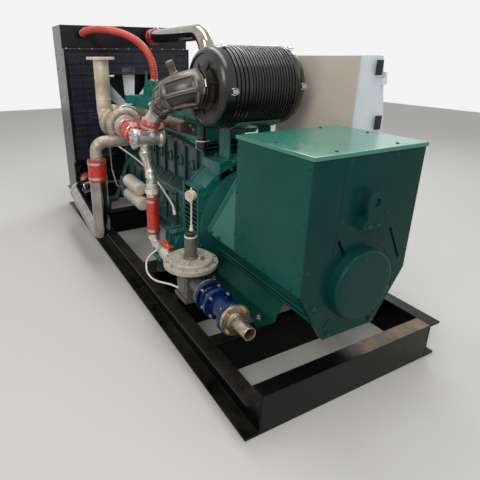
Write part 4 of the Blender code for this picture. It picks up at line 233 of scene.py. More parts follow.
def cubicRoute(start, leaving, end, arriving, steps):  # one swing from start to end
    start, end = Vector(start), Vector(end)
    first, second = start + Vector(leaving), end - Vector(arriving)
    route = []
    for step in range(steps + 1):
        t = step / steps
        near = start * (1 - t) ** 3 + first * (3 * t * (1 - t) ** 2)
        route.append(near + second * (3 * t ** 2 * (1 - t)) + end * t ** 3)
    return route


def arcSpots(centre, radius, start, end, steps):
    return [(centre[0] + radius * cos(start + (end - start) * step / steps),
        centre[1] + radius * sin(start + (end - start) * step / steps)) for step in range(steps + 1)]


def softenEdges(mesh, width):  # rounds off every edge where two faces meet at more than 28 degrees
    if width <= 0:
        return
    sharp = [edge for edge in mesh.edges if len(edge.link_faces) == 2 and edge.calc_face_angle(0) > radians(28)]
    bmesh.ops.bevel(mesh, geom=sharp, offset=width, segments=2, profile=0.6, affect="EDGES", clamp_overlap=True)


def addToScene(name, data):
    holder = bpy.data.objects.new(name, data)
    bpy.context.collection.objects.link(holder)
    return holder


def meshFrom(name, shapes):
    whole = bmesh.new()
    for spots, faces, edge in shapes:
        one = bmesh.new()
        corners = [one.verts.new(spot) for spot in spots]
        for face in faces:
            one.faces.new([corners[index] for index in face])
        bmesh.ops.recalc_face_normals(one, faces=one.faces)
        softenEdges(one, edge)
        part = bpy.data.meshes.new("part")
        one.to_mesh(part)
        one.free()
        whole.from_mesh(part)
        bpy.data.meshes.remove(part)
    mesh = bpy.data.meshes.new(name)
    whole.to_mesh(mesh)
    whole.free()
    return mesh


def settle(piece, look, body, hides):
    mesh = piece.data
    mesh.materials.clear()
    mesh.materials.append(finishes[look][0])
    mesh.shade_smooth()
    mesh.set_sharp_from_angle(angle=radians(38))
    piece.modifiers.new("even faces", "WEIGHTED_NORMAL").keep_sharp = True
    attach(piece, body)
    if hides:
        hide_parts(*hides)


def makePiece(name, draft, look, hides=(), body=fixedBody, cutter=None):
    piece = addToScene(name, meshFrom(name, draft.shapes))
    if cutter is not None:
        tool = addToScene("tool", meshFrom("tool", cutter.shapes))
        carve = piece.modifiers.new("carve", "BOOLEAN")
        carve.operation = "DIFFERENCE"
        carve.solver = "EXACT"
        carve.use_self = True
        carve.object = tool
        bpy.context.view_layer.update()
        carved = bpy.data.meshes.new_from_object(piece.evaluated_get(bpy.context.evaluated_depsgraph_get()))
        piece.modifiers.clear()
        piece.data = carved
        bpy.data.objects.remove(tool)
    settle(piece, look, body, hides)


def softCopy(node, look, edge, body=fixedBody):  # the CAD shape again, with its hard edges rounded off
    one = bmesh.new()
    one.from_mesh(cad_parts[node].data)
    bmesh.ops.remove_doubles(one, verts=one.verts, dist=0.00002)
    bmesh.ops.dissolve_limit(one, angle_limit=radians(0.6), verts=one.verts, edges=one.edges)
    softenEdges(one, edge)
    mesh = bpy.data.meshes.new(node + "_shape")
    one.to_mesh(mesh)
    one.free()
    settle(addToScene(node + "_shape", mesh), look, body, [node])


def linear(code):  # a colour written as a hex code, as the shader wants it
    shares = [int(code[index:index + 2], 16) / 255 for index in (1, 3, 5)]
    return tuple(s / 12.92 if s <= 0.04045 else ((s + 0.055) / 1.055) ** 2.4 for s in shares) + (1.0,)


# a new node with its inputs set or linked; gives one output
def addNode(tree, kind, inputs, output=0, **settings):
    made = tree.nodes.new("ShaderNode" + kind)
    for name, value in settings.items():
        setattr(made, name, value)
    for socket, value in inputs.items():
        if isinstance(value, bpy.types.NodeSocket):
            tree.links.new(value, made.inputs[socket])
        else:
            made.inputs[socket].default_value = value
    return made.outputs[output]


def noiseNode(tree, spots, size, detail, rough):
    return addNode(tree, "TexNoise", {"Vector": spots, "Scale": 1 / size, "Detail": detail, "Roughness": rough},
        "Fac")


def rangeNode(tree, value, low, high, newLow=0.0, newHigh=1.0):
    inputs = {"Value": value, "From Min": low, "From Max": high, "To Min": newLow, "To Max": newHigh}
    return addNode(tree, "MapRange", inputs, "Result")


def mixNode(tree, share, first, second):
    return addNode(tree, "Mix", {0: share, 6: first, 7: second}, 2, data_type="RGBA", clamp_factor=True)


def timesNode(tree, first, second, kind="MULTIPLY"):
    return addNode(tree, "Math", {0: first, 1: second}, operation=kind, use_clamp=True)


def newFinish(name, look):
    material = bpy.data.materials.new(name)
    material.use_nodes = True
    tree = material.node_tree
    shader = tree.nodes["Principled BSDF"]
    spots = addNode(tree, "TexCoord", {}, "Object")
    stretched = spots
    if "stretch" in look:
        stretched = addNode(tree, "Mapping", {"Scale": look["stretch"], "Vector": spots}, "Vector")
    mottle = noiseNode(tree, spots, look["mottleSize"], 5.0, 0.6)
    colour = mixNode(tree, rangeNode(tree, mottle, 0.35, 0.65), linear(look["dark"]), linear(look["light"]))
    fine = noiseNode(tree, stretched, look["grainSize"], 3.0, 0.6)
    patch = noiseNode(tree, stretched, look["patchSize"], 6.0, 0.62)
    spread = look["roughSpread"]
    rough = rangeNode(tree, patch, 0.3, 0.7, look["rough"] - spread, look["rough"] + spread)
    if "tint" in look:  # a second colour that comes and goes in wide patches, such as heat or oil
        wide = noiseNode(tree, spots, look["tintSize"], 3.0, 0.5)
        colour = mixNode(tree, rangeNode(tree, wide, 0.42, 0.62, 0.0, 0.85), colour, linear(look["tint"]))
    if look["dust"] > 0:  # dust lies on what faces up, thicker in patches
        normal = addNode(tree, "NewGeometry", {}, "Normal")
        upward = rangeNode(tree, addNode(tree, "SeparateXYZ", {0: normal}, "Z"), 0.3, 0.98)
        streak = noiseNode(tree, spots, look["dustSize"], 8.0, 0.72)
        amount = timesNode(tree, upward, rangeNode(tree, streak, look["dustLow"], 0.72, 0.0, look["dust"]))
        if "dustFrom" in look:  # only one end of the piece is dusty
            along = addNode(tree, "SeparateXYZ", {0: spots}, "X")
            amount = timesNode(tree, amount, rangeNode(tree, along, *look["dustFrom"]))
        colour = mixNode(tree, amount, colour, linear(look["dustColour"]))
        rough = timesNode(tree, rough, timesNode(tree, amount, 0.5), "ADD")
    if "ridge" in look:  # raised edges painted lighter: a painted highlight on the ridges
        raised = addNode(tree, "NewGeometry", {}, "Pointiness")
        colour = mixNode(tree, rangeNode(tree, raised, 0.502, 0.535, 0.0, 0.85), colour, linear(look["ridge"]))
    if "chips" in look:  # rubbed and chipped edges show what is under the paint
        rounded = addNode(tree, "Bevel", {"Radius": look["chips"]}, samples=3)
        normal = addNode(tree, "NewGeometry", {}, "Normal")
        match = addNode(tree, "VectorMath", {0: rounded, 1: normal}, "Value", operation="DOT_PRODUCT")
        worn = rangeNode(tree, match, 0.99, 0.9)
        flakes = noiseNode(tree, spots, look["flakeSize"], 8.0, 0.75)
        share = timesNode(tree, worn, rangeNode(tree, flakes, 0.52, 0.6))
        colour = mixNode(tree, share, colour, linear(look["under"]))
        rough = timesNode(tree, rough, timesNode(tree, share, 0.3), "ADD")
    tree.links.new(colour, shader.inputs["Base Color"])
    tree.links.new(rough, shader.inputs["Roughness"])
    sockets = {"Metallic": "metal", "Coat Weight": "coat", "Coat Roughness": "coatRough",
        "Specular IOR Level": "specular"}
    for socket, key in sockets.items():
        shader.inputs[socket].default_value = look[key]
    height = timesNode(tree, fine, look["grain"])
    if look["swell"] > 0:  # slow waves, as in sprayed paint or a casting's skin
        slow = noiseNode(tree, stretched, look["swellSize"], 3.0, 0.5)
        height = timesNode(tree, height, timesNode(tree, slow, look["swell"]), "ADD")
    inputs = {"Strength": look["bump"], "Distance": look["bumpDepth"], "Height": height}
    tree.links.new(addNode(tree, "Bump", inputs, "Normal"), shader.inputs["Normal"])
    return material


# sizes in metres
plainLook = {"mottleSize": 0.08, "grainSize": 0.002, "patchSize": 0.03, "flakeSize": 0.006, "roughSpread": 0.06,
    "dust": 0, "dustSize": 0.05, "dustLow": 0.36, "dustColour": "#8c8474", "metal": 0.0, "coat": 0.0,
    "coatRough": 0.06, "specular": 0.5, "grain": 0.4, "swell": 0, "swellSize": 0.02, "bump": 0.25,
    "bumpDepth": 0.0006}
finishes = {}
looks = {}


# on top of an earlier look or the plain one
def addLook(name, slotName, dark, light, rough, like=None, **more):
    looks[name] = {**(looks[like] if like else plainLook), "dark": dark, "light": light, "rough": rough, **more}
    finishes[name] = (newFinish(name, looks[name]), slotName)


addLook("glossBlack", "gloss_black", "#08090d", "#101117", 0.24, dust=0.25, dustSize=0.09, specular=0.3,
    grain=0.25, swell=0.7, swellSize=0.012, bump=0.12, chips=0.002, under="#6b6358")
addLook("railBlack", "gloss_black", "#040505", "#070708", 0.28, "glossBlack", dust=0.22, dustSize=0.16,
    dustColour="#6e675d", specular=0.12, chips=0.0025, under="#3c3027")
addLook("dustyBlack", "gloss_black", "#050607", "#090a0b", 0.28, "glossBlack", dust=1.0, dustSize=0.1,
    dustLow=0.22, dustColour="#94806f", specular=0.2, grain=0.5, bump=0.2, dustFrom=(0.015, 0.075), chips=0.004,
    under="#2b2019")
addLook("alternatorGreen", "alternator_green", "#134a40", "#185348", 0.3, mottleSize=0.3, specular=0.12,
    grain=0.2, swell=0.8, swellSize=0.007, bump=0.1)
# the same green painted darker for the end face, bracket, round cover and lug: painted shade for the lesser
# light that falls there
addLook("endGreenPaintedShade", "alternator_green", "#0b3734", "#10403c", 0.26, "alternatorGreen", mottleSize=0.25,
    specular=0.1, tint="#123b33", tintSize=0.4)
# the alternator green painted much lighter for the lid: a painted highlight of the overhead lamps on its top
addLook("lidPaintedHighlightGreen", "alternator_green", "#377d6b", "#3e8774", 0.2, "alternatorGreen", coat=0.3, coatRough=0.08,
    specular=0.5, swellSize=0.012)
addLook("coverGreen", "alternator_green", "#2a6a5f", "#31756a", 0.34, "alternatorGreen", mottleSize=0.2,
    specular=0.3)
# near-black green: painted shade, laid in the cooling slots of the end sheet and in the recess on the flywheel
# housing's sides
addLook("paintedShadeGreen", "alternator_green", "#030a09", "#050f0d", 0.8, specular=0.05, bump=0.1)
addLook("engineTeal", "engine_teal", "#10564f", "#19695f", 0.3, grainSize=0.0018, dust=0.25,
    dustColour="#6f8a80", coat=0.3, coatRough=0.12, grain=0.6, swell=0.9, swellSize=0.012, bump=0.4,
    bumpDepth=0.0009)
# the engine teal painted darker for the block, sump, rocker covers and filter head: painted shade for the air
# filter's shadow and the dim light on the engine's side
addLook("blockTealPaintedShade", "engine_teal", "#07302f", "#0e423e", 0.3, "engineTeal", grainSize=0.002, dust=0.2,
    dustColour="#54706a", coat=0.2)
addLook("headTeal", "engine_teal", "#136c62", "#1e8478", 0.28, "blockTealPaintedShade", dust=0, dustColour="#8c8474",
    coat=0.3)
# a light grey for the radiator's trim strips and cap ring: painted highlight along the tank's black flange
# edges
addLook("paintedHighlightGrey", "gloss_black", "#47475a", "#5e5e75", 0.3, bump=0.1)
addLook("guardBlack", "gloss_black", "#1d1e28", "#2c2d3a", 0.35, bump=0.1)
addLook("warmCast", "cast_aluminium", "#8f8678", "#b9af9f", 0.5, mottleSize=0.02, grainSize=0.0012, metal=0.35,
    grain=0.9, swell=0.6, bump=0.5)
addLook("inletSteel", "galvanised_fittings", "#857c6e", "#b9ad99", 0.28, mottleSize=0.02, metal=0.85, grain=0.5)
addLook("rubber", "black_rubber", "#141414", "#1e1e1f", 0.55, grainSize=0.0012, dust=0.3, grain=0.5, bump=0.3)
# the elbow's black plastic; its raised ridges get a painted highlight
addLook("elbowPlastic", "black_rubber", "#131211", "#1d1b1a", 0.3, dust=0.4, dustSize=0.12, dustLow=0.2,
    dustColour="#857a6d", coat=0.2, coatRough=0.15, swell=0.3, bump=0.15, ridge="#857a6e")
addLook("filterPlastic", "filter_black", "#0e0d0e", "#171617", 0.25, grainSize=0.001, dust=0.12,
    dustColour="#5e5850", coat=0.15, coatRough=0.12, grain=0.3, swell=0.4, swellSize=0.03, bump=0.14)
addLook("filterEnd", "filter_black", "#1c1613", "#30261f", 0.5, specular=0.3, bump=0.2)
addLook("castIron", "cast_iron", "#5d544b", "#857767", 0.6, mottleSize=0.03, grainSize=0.0014, metal=0.75,
    grain=0.8, swell=0.8, bump=0.7, bumpDepth=0.001, tint="#4f4035", tintSize=0.12)
addLook("heatIron", "heat_tinted_iron", "#91836f", "#bcac94", 0.5, "castIron", metal=0.5, bump=0.6,
    tint="#80674e", tintSize=0.09)
addLook("castAluminium", "cast_aluminium", "#b3b0ac", "#dedbd6", 0.36, "warmCast", grainSize=0.0011, dust=0.2,
    dustColour="#7d7466", metal=0.7, swell=0.5, bump=0.55)
addLook("steelPipe", "steel_pipe", "#bfb19b", "#ddd1bd", 0.42, mottleSize=0.05, metal=0.3, tint="#a8927a",
    tintSize=0.14, stretch=(1.0, 1.0, 0.12))
addLook("redSilicone", "red_silicone", "#ab1d0c", "#c73118", 0.27, "rubber", mottleSize=0.03, dust=0.12,
    coat=0.35, coatRough=0.15, swell=0.7, swellSize=0.009, bump=0.25)
addLook("ribbedSilicone", "red_silicone", "#a82a1c", "#cc4430", 0.34, grainSize=0.0012, coat=0.2, coatRough=0.2,
    grain=0.6, swell=0.8, bump=0.35)
addLook("polishedPipe", "polished_pipe", "#8f8b83", "#aca79e", 0.07, mottleSize=0.06, roughSpread=0.04,
    metal=1.0, grain=0.12, swell=0.5, swellSize=0.03, bump=0.08)
addLook("radiatorFins", "radiator_fins", "#0c0c0d", "#1a1a1b", 0.5, dust=0.3, metal=0.3, bump=0.3)
addLook("fanWhite", "fan_white", "#c9d2d4", "#e2e8e9", 0.38, dust=0.3, dustColour="#8f8a80", grain=0.3,
    bump=0.15)
addLook("inletTube", "inlet_tube", "#b5aea2", "#d6cfc2", 0.26, mottleSize=0.03, metal=0.85, grain=0.3,
    bump=0.15)
addLook("zincFittings", "galvanised_fittings", "#c2beb6", "#ebe7de", 0.34, "warmCast", mottleSize=0.015,
    metal=0.75, grain=0.7, bump=0.45, tint="#978d7e", tintSize=0.05)
addLook("whiteFitting", "galvanised_fittings", "#cfcbc2", "#e9e6de", 0.4, "inletSteel", metal=0.2)
addLook("boltSteel", "galvanised_fittings", "#a5a49f", "#d3d2cc", 0.28, mottleSize=0.01, metal=0.95, bump=0.2)
addLook("goldZinc", "galvanised_fittings", "#a8884a", "#d8bd7c", 0.3, mottleSize=0.008, metal=0.9, bump=0.2)
addLook("redHandle", "handle_orange_red", "#c8301a", "#e04424", 0.35, swell=0.6, chips=0.0015, under="#a9a49a")
addLook("creamEnamel", "cream_enamel", "#cdbfac", "#e0d3c0", 0.34, mottleSize=0.1, dust=0.25, coat=0.2,
    grain=0.3, swell=0.5, bump=0.15)
addLook("blueEnamel", "blue_enamel", "#041740", "#082858", 0.22, coat=0.1, specular=0.3, grain=0.5, swell=0.8,
    swellSize=0.006, bump=0.3, chips=0.0015, under="#8a8a86")
addLook("cabinetBeige", "cabinet_white", "#c3b9ac", "#cdc4b7", 0.5, mottleSize=0.3, bump=0.1)
addLook("cabinetWhite", "cabinet_white", "#dbe4ea", "#e6edf2", 0.42, mottleSize=0.3, grainSize=0.0014,
    dust=0.12, grain=0.6, swell=0.5, swellSize=0.004, bump=0.2)
addLook("warmGrey", "cast_aluminium", "#a0978a", "#beb5a7", 0.55, "castAluminium", dust=0.3, metal=0.25,
    swell=0, bump=0.4)
addLook("oliveGrey", "cast_aluminium", "#55524a", "#6d695e", 0.5, "warmGrey", dust=0, dustColour="#8c8474",
    metal=0.3)
addLook("oliveTube", "galvanised_fittings", "#67654f", "#85816a", 0.36, metal=0.5, grain=0.3, bump=0.15)
# near-black: painted shade in the cabinet's vents, and the real black print of the gauge's marks and hand
addLook("paintedShadeAndInk", "gloss_black", "#050606", "#090a0a", 0.7, bump=0.1)
addLook("dialFace", "cream_enamel", "#c8ad9c", "#d6bcab", 0.3, coat=0.5, bump=0.05)
addLook("wireCasing", "black_rubber", "#101010", "#1b1b1b", 0.45, grain=0.6, bump=0.4)
print("finishes:", len(finishes))


baseFrame = Sizes(edge=0.0022, webInside=0.42, weld=0.0035, rails=("left_rail", "right_rail", "far_rail"),
    beams=("rear_engine_beam", "front_engine_beam", "alternator_near_beam", "alternator_far_beam"))


def dressBase():
    b = baseFrame
    softCopy("base_near_rail", "dustyBlack", b.edge)
    for name in b.rails + b.beams:
        softCopy("base_" + name, "railBlack", b.edge)
    welds = Draft()  # the fillets where the cross members meet the rails
    for name in b.beams:
        node = "base_" + name
        low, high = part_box(node)
        for x in (-b.webInside + 0.002, b.webInside - 0.002):
            for y in (low.y, high.y):
                welds.rod((x, y, 0.004), (x, y, high.z - 0.003), b.weld, 10)
            welds.rod((x, low.y, high.z - 0.001), (x, high.y, high.z - 0.001), b.weld, 10)
    makePiece("base_welds", welds, "railBlack")


alternator = Sizes(shaftZ=0.447, endY=-0.955, boxFarY=-0.546, coverFarY=-0.3195, halfWidth=0.2475,
    coverLowZ=0.445, lidTop=0.9216, lidThickness=0.014, lidOverhang=0.006, statorRadius=0.205,
    bracketDepth=0.028, footHalfWidth=0.1256, footLowZ=0.243, coverRadius=0.134, coverDepth=0.044, coverZ=0.45,
    sheetArch=0.158, adapterRadius=0.255, adapterNearY=-0.2833, adapterFarY=-0.2553, neckY=-0.3133,
    slopeTopZ=0.76, slopeFarZ=0.464, sheet=0.002, footTop=0.197, footThickness=0.008, footNear=-0.73,
    footFar=-0.27, footEdge=0.221, footBend=0.163, footRoot=0.125, footHoleRadius=0.009, holeX=0.192,
    holeInset=0.035, anchorX=0.204, anchorInset=0.05, screwSize=0.0062, boltSize=0.0085)


def dressAlternator():
    a = alternator
    shaft = (0, a.shaftZ)
    gap = 0.0012
    top = a.lidTop - a.lidThickness - 0.0003
    archRadius = a.statorRadius + 0.005
    arch = arcSpots(shaft, archRadius, 0, pi, 72)
    box = Draft()
    shell = [(-a.halfWidth, a.coverLowZ + gap), (-a.halfWidth, top), (a.halfWidth, top),
        (a.halfWidth, a.coverLowZ + gap)]
    arch = [(x, max(z, a.coverLowZ + gap)) for x, z in arch]
    box.plate(shell + arch, a.endY + a.sheet, a.boxFarY, "Y", 0.0018)
    seam = -0.118  # the end sheet is in two parts with a narrow gap between them
    endLow = 0.69
    left = [(-a.halfWidth, a.coverLowZ + gap), (-a.halfWidth, top), (seam - gap / 2, top)]
    endArch = arcSpots(shaft, a.sheetArch, 0, pi, 72)
    left += [(seam - gap / 2, endLow)] + [spot for spot in endArch if spot[0] < seam - 0.02]
    right = [(a.halfWidth, a.coverLowZ + gap), (a.halfWidth, top), (seam + gap / 2, top)]
    right += [(seam + gap / 2, endLow)] + [spot for spot in reversed(endArch) if spot[0] > seam - 0.02]
    sheets = Draft()
    for outline in (left, right):
        sheets.plate(outline, a.endY - 0.0012, a.endY + a.sheet + 0.001, "Y", 0.0006)
    wedges = Draft()
    for side in (-1, 1):  # side sheets stand a little proud, with a turned-in rim
        outer = side * (a.halfWidth + 0.0008)
        inner = side * (a.halfWidth - 0.004)
        sheet = [(a.endY + 0.004, a.coverLowZ + 0.001), (a.boxFarY - 0.001, a.coverLowZ + 0.001),
            (a.boxFarY - 0.001, top - 0.002), (a.endY + 0.004, top - 0.002)]
        box.plate(sheet, inner, outer, "X", 0.0008)
        cover = side * (a.halfWidth - 0.005)
        rim = side * (a.halfWidth - 0.001)
        inside = side * (a.halfWidth - 0.016)
        wedge = [(a.boxFarY - 0.004, a.coverLowZ), (a.coverFarY, a.coverLowZ), (a.coverFarY, a.slopeFarZ),
            (a.boxFarY - 0.004, a.slopeTopZ)]
        wedges.plate(wedge, inside, cover, "X", 0.0015)
        lean = Vector((a.coverFarY - a.boxFarY, a.slopeFarZ - a.slopeTopZ)).normalized()
        out = Vector((-lean.y, lean.x))
        for shift, reach in mm((0, 6), (-14, 3)):  # the double line along the sloping edge
            start = Vector((a.boxFarY, a.slopeTopZ)) + out * shift
            end = Vector((a.coverFarY, a.slopeFarZ)) + out * shift
            strip = [tuple(start), tuple(end), tuple(end - out * reach), tuple(start - out * reach)]
            wedges.plate(strip, inside, rim, "X", 0.0008)
    makePiece("alternator_side_covers", wedges, "coverGreen")
    # the end sheets take the darker green of painted shade
    makePiece("alternator_end_sheets", sheets, "endGreenPaintedShade")
    makePiece("alternator_box", box, "alternatorGreen", ["alternator_terminal_box"])

    lid = Draft()
    half = a.halfWidth + a.lidOverhang
    near, far = a.endY - a.lidOverhang, a.boxFarY + a.lidOverhang
    lid.box((-half, near, a.lidTop - a.lidThickness), (half, far, a.lidTop), 0.0025)
    # the lid's lighter green is a painted highlight
    makePiece("alternator_lid_sheet", lid, "lidPaintedHighlightGreen", ["alternator_lid"])

    frameBody = Draft()
    start = a.endY + a.bracketDepth + 0.0003
    profile = [(a.statorRadius, start), (a.statorRadius, a.neckY), (a.adapterRadius, a.adapterNearY),
        (a.adapterRadius, a.adapterFarY)]
    frameBody.spin((0, 0, a.shaftZ), "Y", profile, 96, 0.002)
    for radius, depth in ((a.adapterRadius - 0.012, 0.004), (a.adapterRadius - 0.032, 0.009)):
        ring = [(radius - 0.004, a.adapterNearY - depth), (radius + 0.004, a.adapterNearY - depth),
            (radius + 0.004, a.adapterNearY + 0.004), (radius - 0.004, a.adapterNearY + 0.004)]
        frameBody.spin((0, 0, a.shaftZ), "Y", ring, 96, 0.0012, True)
    for index in range(11):  # the cooling ribs under the side sheets
        angle = radians(205 + index * 13)
        ribRadius = a.statorRadius + 0.004
        x, z = ribRadius * cos(angle), a.shaftZ + ribRadius * sin(angle)
        frameBody.rod((x, start, z), (x, a.neckY, z), 0.005, 10)
    for side in (-1, 1):
        under = a.footTop - a.footThickness
        root = a.shaftZ - sqrt(a.statorRadius ** 2 - a.footRoot ** 2)
        outline = [(side * a.footEdge, under), (side * a.footEdge, a.footTop), (side * a.footBend, a.footTop),
            (side * a.footRoot, root + 0.004), (side * (a.footRoot - 0.008), root),
            (side * (a.footBend - 0.004), under)]
        cut, foot = Draft(), Draft()
        foot.plate(outline, a.footNear, a.footFar, "Y", 0.0015)
        for y in (a.footNear + a.holeInset, a.footFar - a.holeInset):
            cut.rod((side * a.holeX, y, 0.15), (side * a.holeX, y, 0.25), a.footHoleRadius, 28)
        word = "left" if side < 0 else "right"
        makePiece("alternator_foot_" + word, foot, "alternatorGreen", cutter=cut)
        for y in (a.footNear + a.anchorInset, a.footFar - a.anchorInset):
            frameBody.rod((side * a.anchorX, y, 0.1603), (side * a.anchorX, y, under + 0.001), 0.017, 32, 0.001)
    makePiece("alternator_barrel", frameBody, "alternatorGreen", ["alternator_frame"])

    bracket = Draft()
    low = a.footLowZ
    edgeArch = arcSpots(shaft, a.statorRadius, 0, pi, 72)
    outline = [(-a.halfWidth, a.coverLowZ - gap), (-a.footHalfWidth, low), (a.footHalfWidth, low),
        (a.halfWidth, a.coverLowZ - gap)]
    bracket.plate(outline + edgeArch, a.endY, a.endY + a.bracketDepth, "Y", 0.002)
    for angle in (200, 340, 232, 308):  # the casting's raised ribs
        cosine, sine = cos(radians(angle)), sin(radians(angle))
        bracket.rod((0.16 * cosine, a.endY - 0.001, a.shaftZ + 0.16 * sine),
            (0.197 * cosine, a.endY - 0.001, a.shaftZ + 0.197 * sine), 0.006, 12)
    makePiece("alternator_bracket", bracket, "endGreenPaintedShade", ["alternator_end_bracket"])

    slots = Draft()  # near-black strips of painted shade, standing for the cooling slots either side of the top of the round cover
    for side, spots in ((-1, ((-0.112, 0.63), (-0.078, 0.574))), (1, ((0.134, 0.63), (0.205, 0.5)))):
        (x0, z0), (x1, z1) = spots
        lean = Vector((x1 - x0, z1 - z0)).normalized()
        wide = Vector((-lean.y, lean.x)) * 0.005
        strip = [(x0 + wide.x, z0 + wide.y), (x1 + wide.x, z1 + wide.y), (x1 - wide.x, z1 - wide.y),
            (x0 - wide.x, z0 - wide.y)]
        slots.plate(strip, a.endY - 0.0018, a.endY + 0.004, "Y", 0.0004)
    makePiece("alternator_slots", slots, "paintedShadeGreen")

    cover = Draft()
    far = a.endY - 0.0003
    profile = [(0.0, -a.coverDepth), (a.coverRadius - 0.002, -a.coverDepth)]
    profile = roundedBy(profile + [(a.coverRadius, 0.0)], 0.016, 8)
    cover.spin((0, far, a.coverZ), "Y", profile, 96)
    makePiece("alternator_cover", cover, "endGreenPaintedShade", ["alternator_end_cover"])

    lug = Draft()
    near = far - 0.04
    hole = Draft()
    half, low, high = 0.0375, 0.684, 0.792
    foot = 0.036
    outline = [(-foot, low + 0.016), (-foot - 0.008, low), (foot + 0.008, low), (foot, low + 0.016),
        (half, low + 0.042)]
    outline += arcSpots((0, high - half), half, 0, pi, 28) + [(-half, low + 0.042)]
    lug.plate(outline, near, near + 0.012, "Y", 0.0025)
    lug.box((-foot - 0.008, near + 0.004, low - 0.02), (foot + 0.008, far, low + 0.018), 0.003)
    hole.rod((0, near - 0.01, high - half), (0, near + 0.03, high - half), 0.015, 36)
    makePiece("alternator_lug", lug, "endGreenPaintedShade", ["alternator_lifting_lug"], cutter=hole)

    bolts = Draft()
    for x in (-0.018, 0.018):
        bolts.bolt((x, near + 0.004, low - 0.008), "-Y", 0.007)
    for y, z in mm((-940, 882), (-939, 706), (-937, 529), (-555, 877), (-553, 703), (-550, 527)):
        for side in (-1, 1):
            bolts.screw((side * (a.halfWidth + 0.001), y, z), (side, 0, 0), a.screwSize)
    for y in (-0.349, -0.417, -0.629, -0.764, -0.899):
        for side in (-1, 1):
            bolts.bolt((side * a.halfWidth, y, 0.457), (side, 0, -0.2), a.boltSize)
    for x, y in mm((-139, -560), (-215, -731), (-136, -927), (136, -927), (215, -731), (139, -560)):
        bolts.screw((x, y, a.lidTop), "Z", a.screwSize)
    for x, z in mm((-96, 893), (110, 893), (-100, 693), (100, 693), (-228, 536), (228, 536)):
        bolts.screw((x, a.endY, z), "-Y", a.screwSize)
    for spot in around((0, far - a.coverDepth + 0.0005, a.coverZ), "Y", 0.106, 5, 25):
        bolts.screw(spot, "-Y", 0.005)
    for x, z in mm((-190, 395), (190, 395), (-105, 262), (105, 262)):
        bolts.bolt((x, a.endY, z), "-Y", 0.011)
    bolts.bolts(around((0, a.adapterNearY - 0.001, a.shaftZ), "Y", 0.236, 12, 15), "-Y", 0.0095)
    makePiece("alternator_bolts", bolts, "alternatorGreen")
    anchors = Draft()
    for side in (-1, 1):
        for y in (a.footNear + a.anchorInset, a.footFar - a.anchorInset):
            anchors.bolt((side * a.anchorX, y, a.footTop), "Z", 0.014)
            anchors.rod((side * a.anchorX, y, a.footTop), (side * a.anchorX, y, a.footTop + 0.022), 0.006, 16)
    makePiece("alternator_anchor_bolts", anchors, "boltSteel")


engine = Sizes(shaftZ=0.447, housingNear=-0.255, housingFar=-0.095, housingHalf=0.255, archRadius=0.285,
    blockNear=-0.0947, blockFar=0.97, caseHalf=0.2, caseLow=0.3, caseTop=0.52, deckHalf=0.142, deckZ=0.78,
    shoulderZ=0.57, bayStart=-0.03, bayPitch=0.134, bays=6, headHalf=0.135, headTop=0.95, rockerHalf=0.12,
    rockerLength=0.116, rockerHeight=0.07, rearArmY=-0.05, frontArmY=0.9315, mountX=0.36, armUnder=0.233,
    armTop=0.255)


bayMiddles = [engine.bayStart + (index + 0.5) * engine.bayPitch for index in range(engine.bays)]


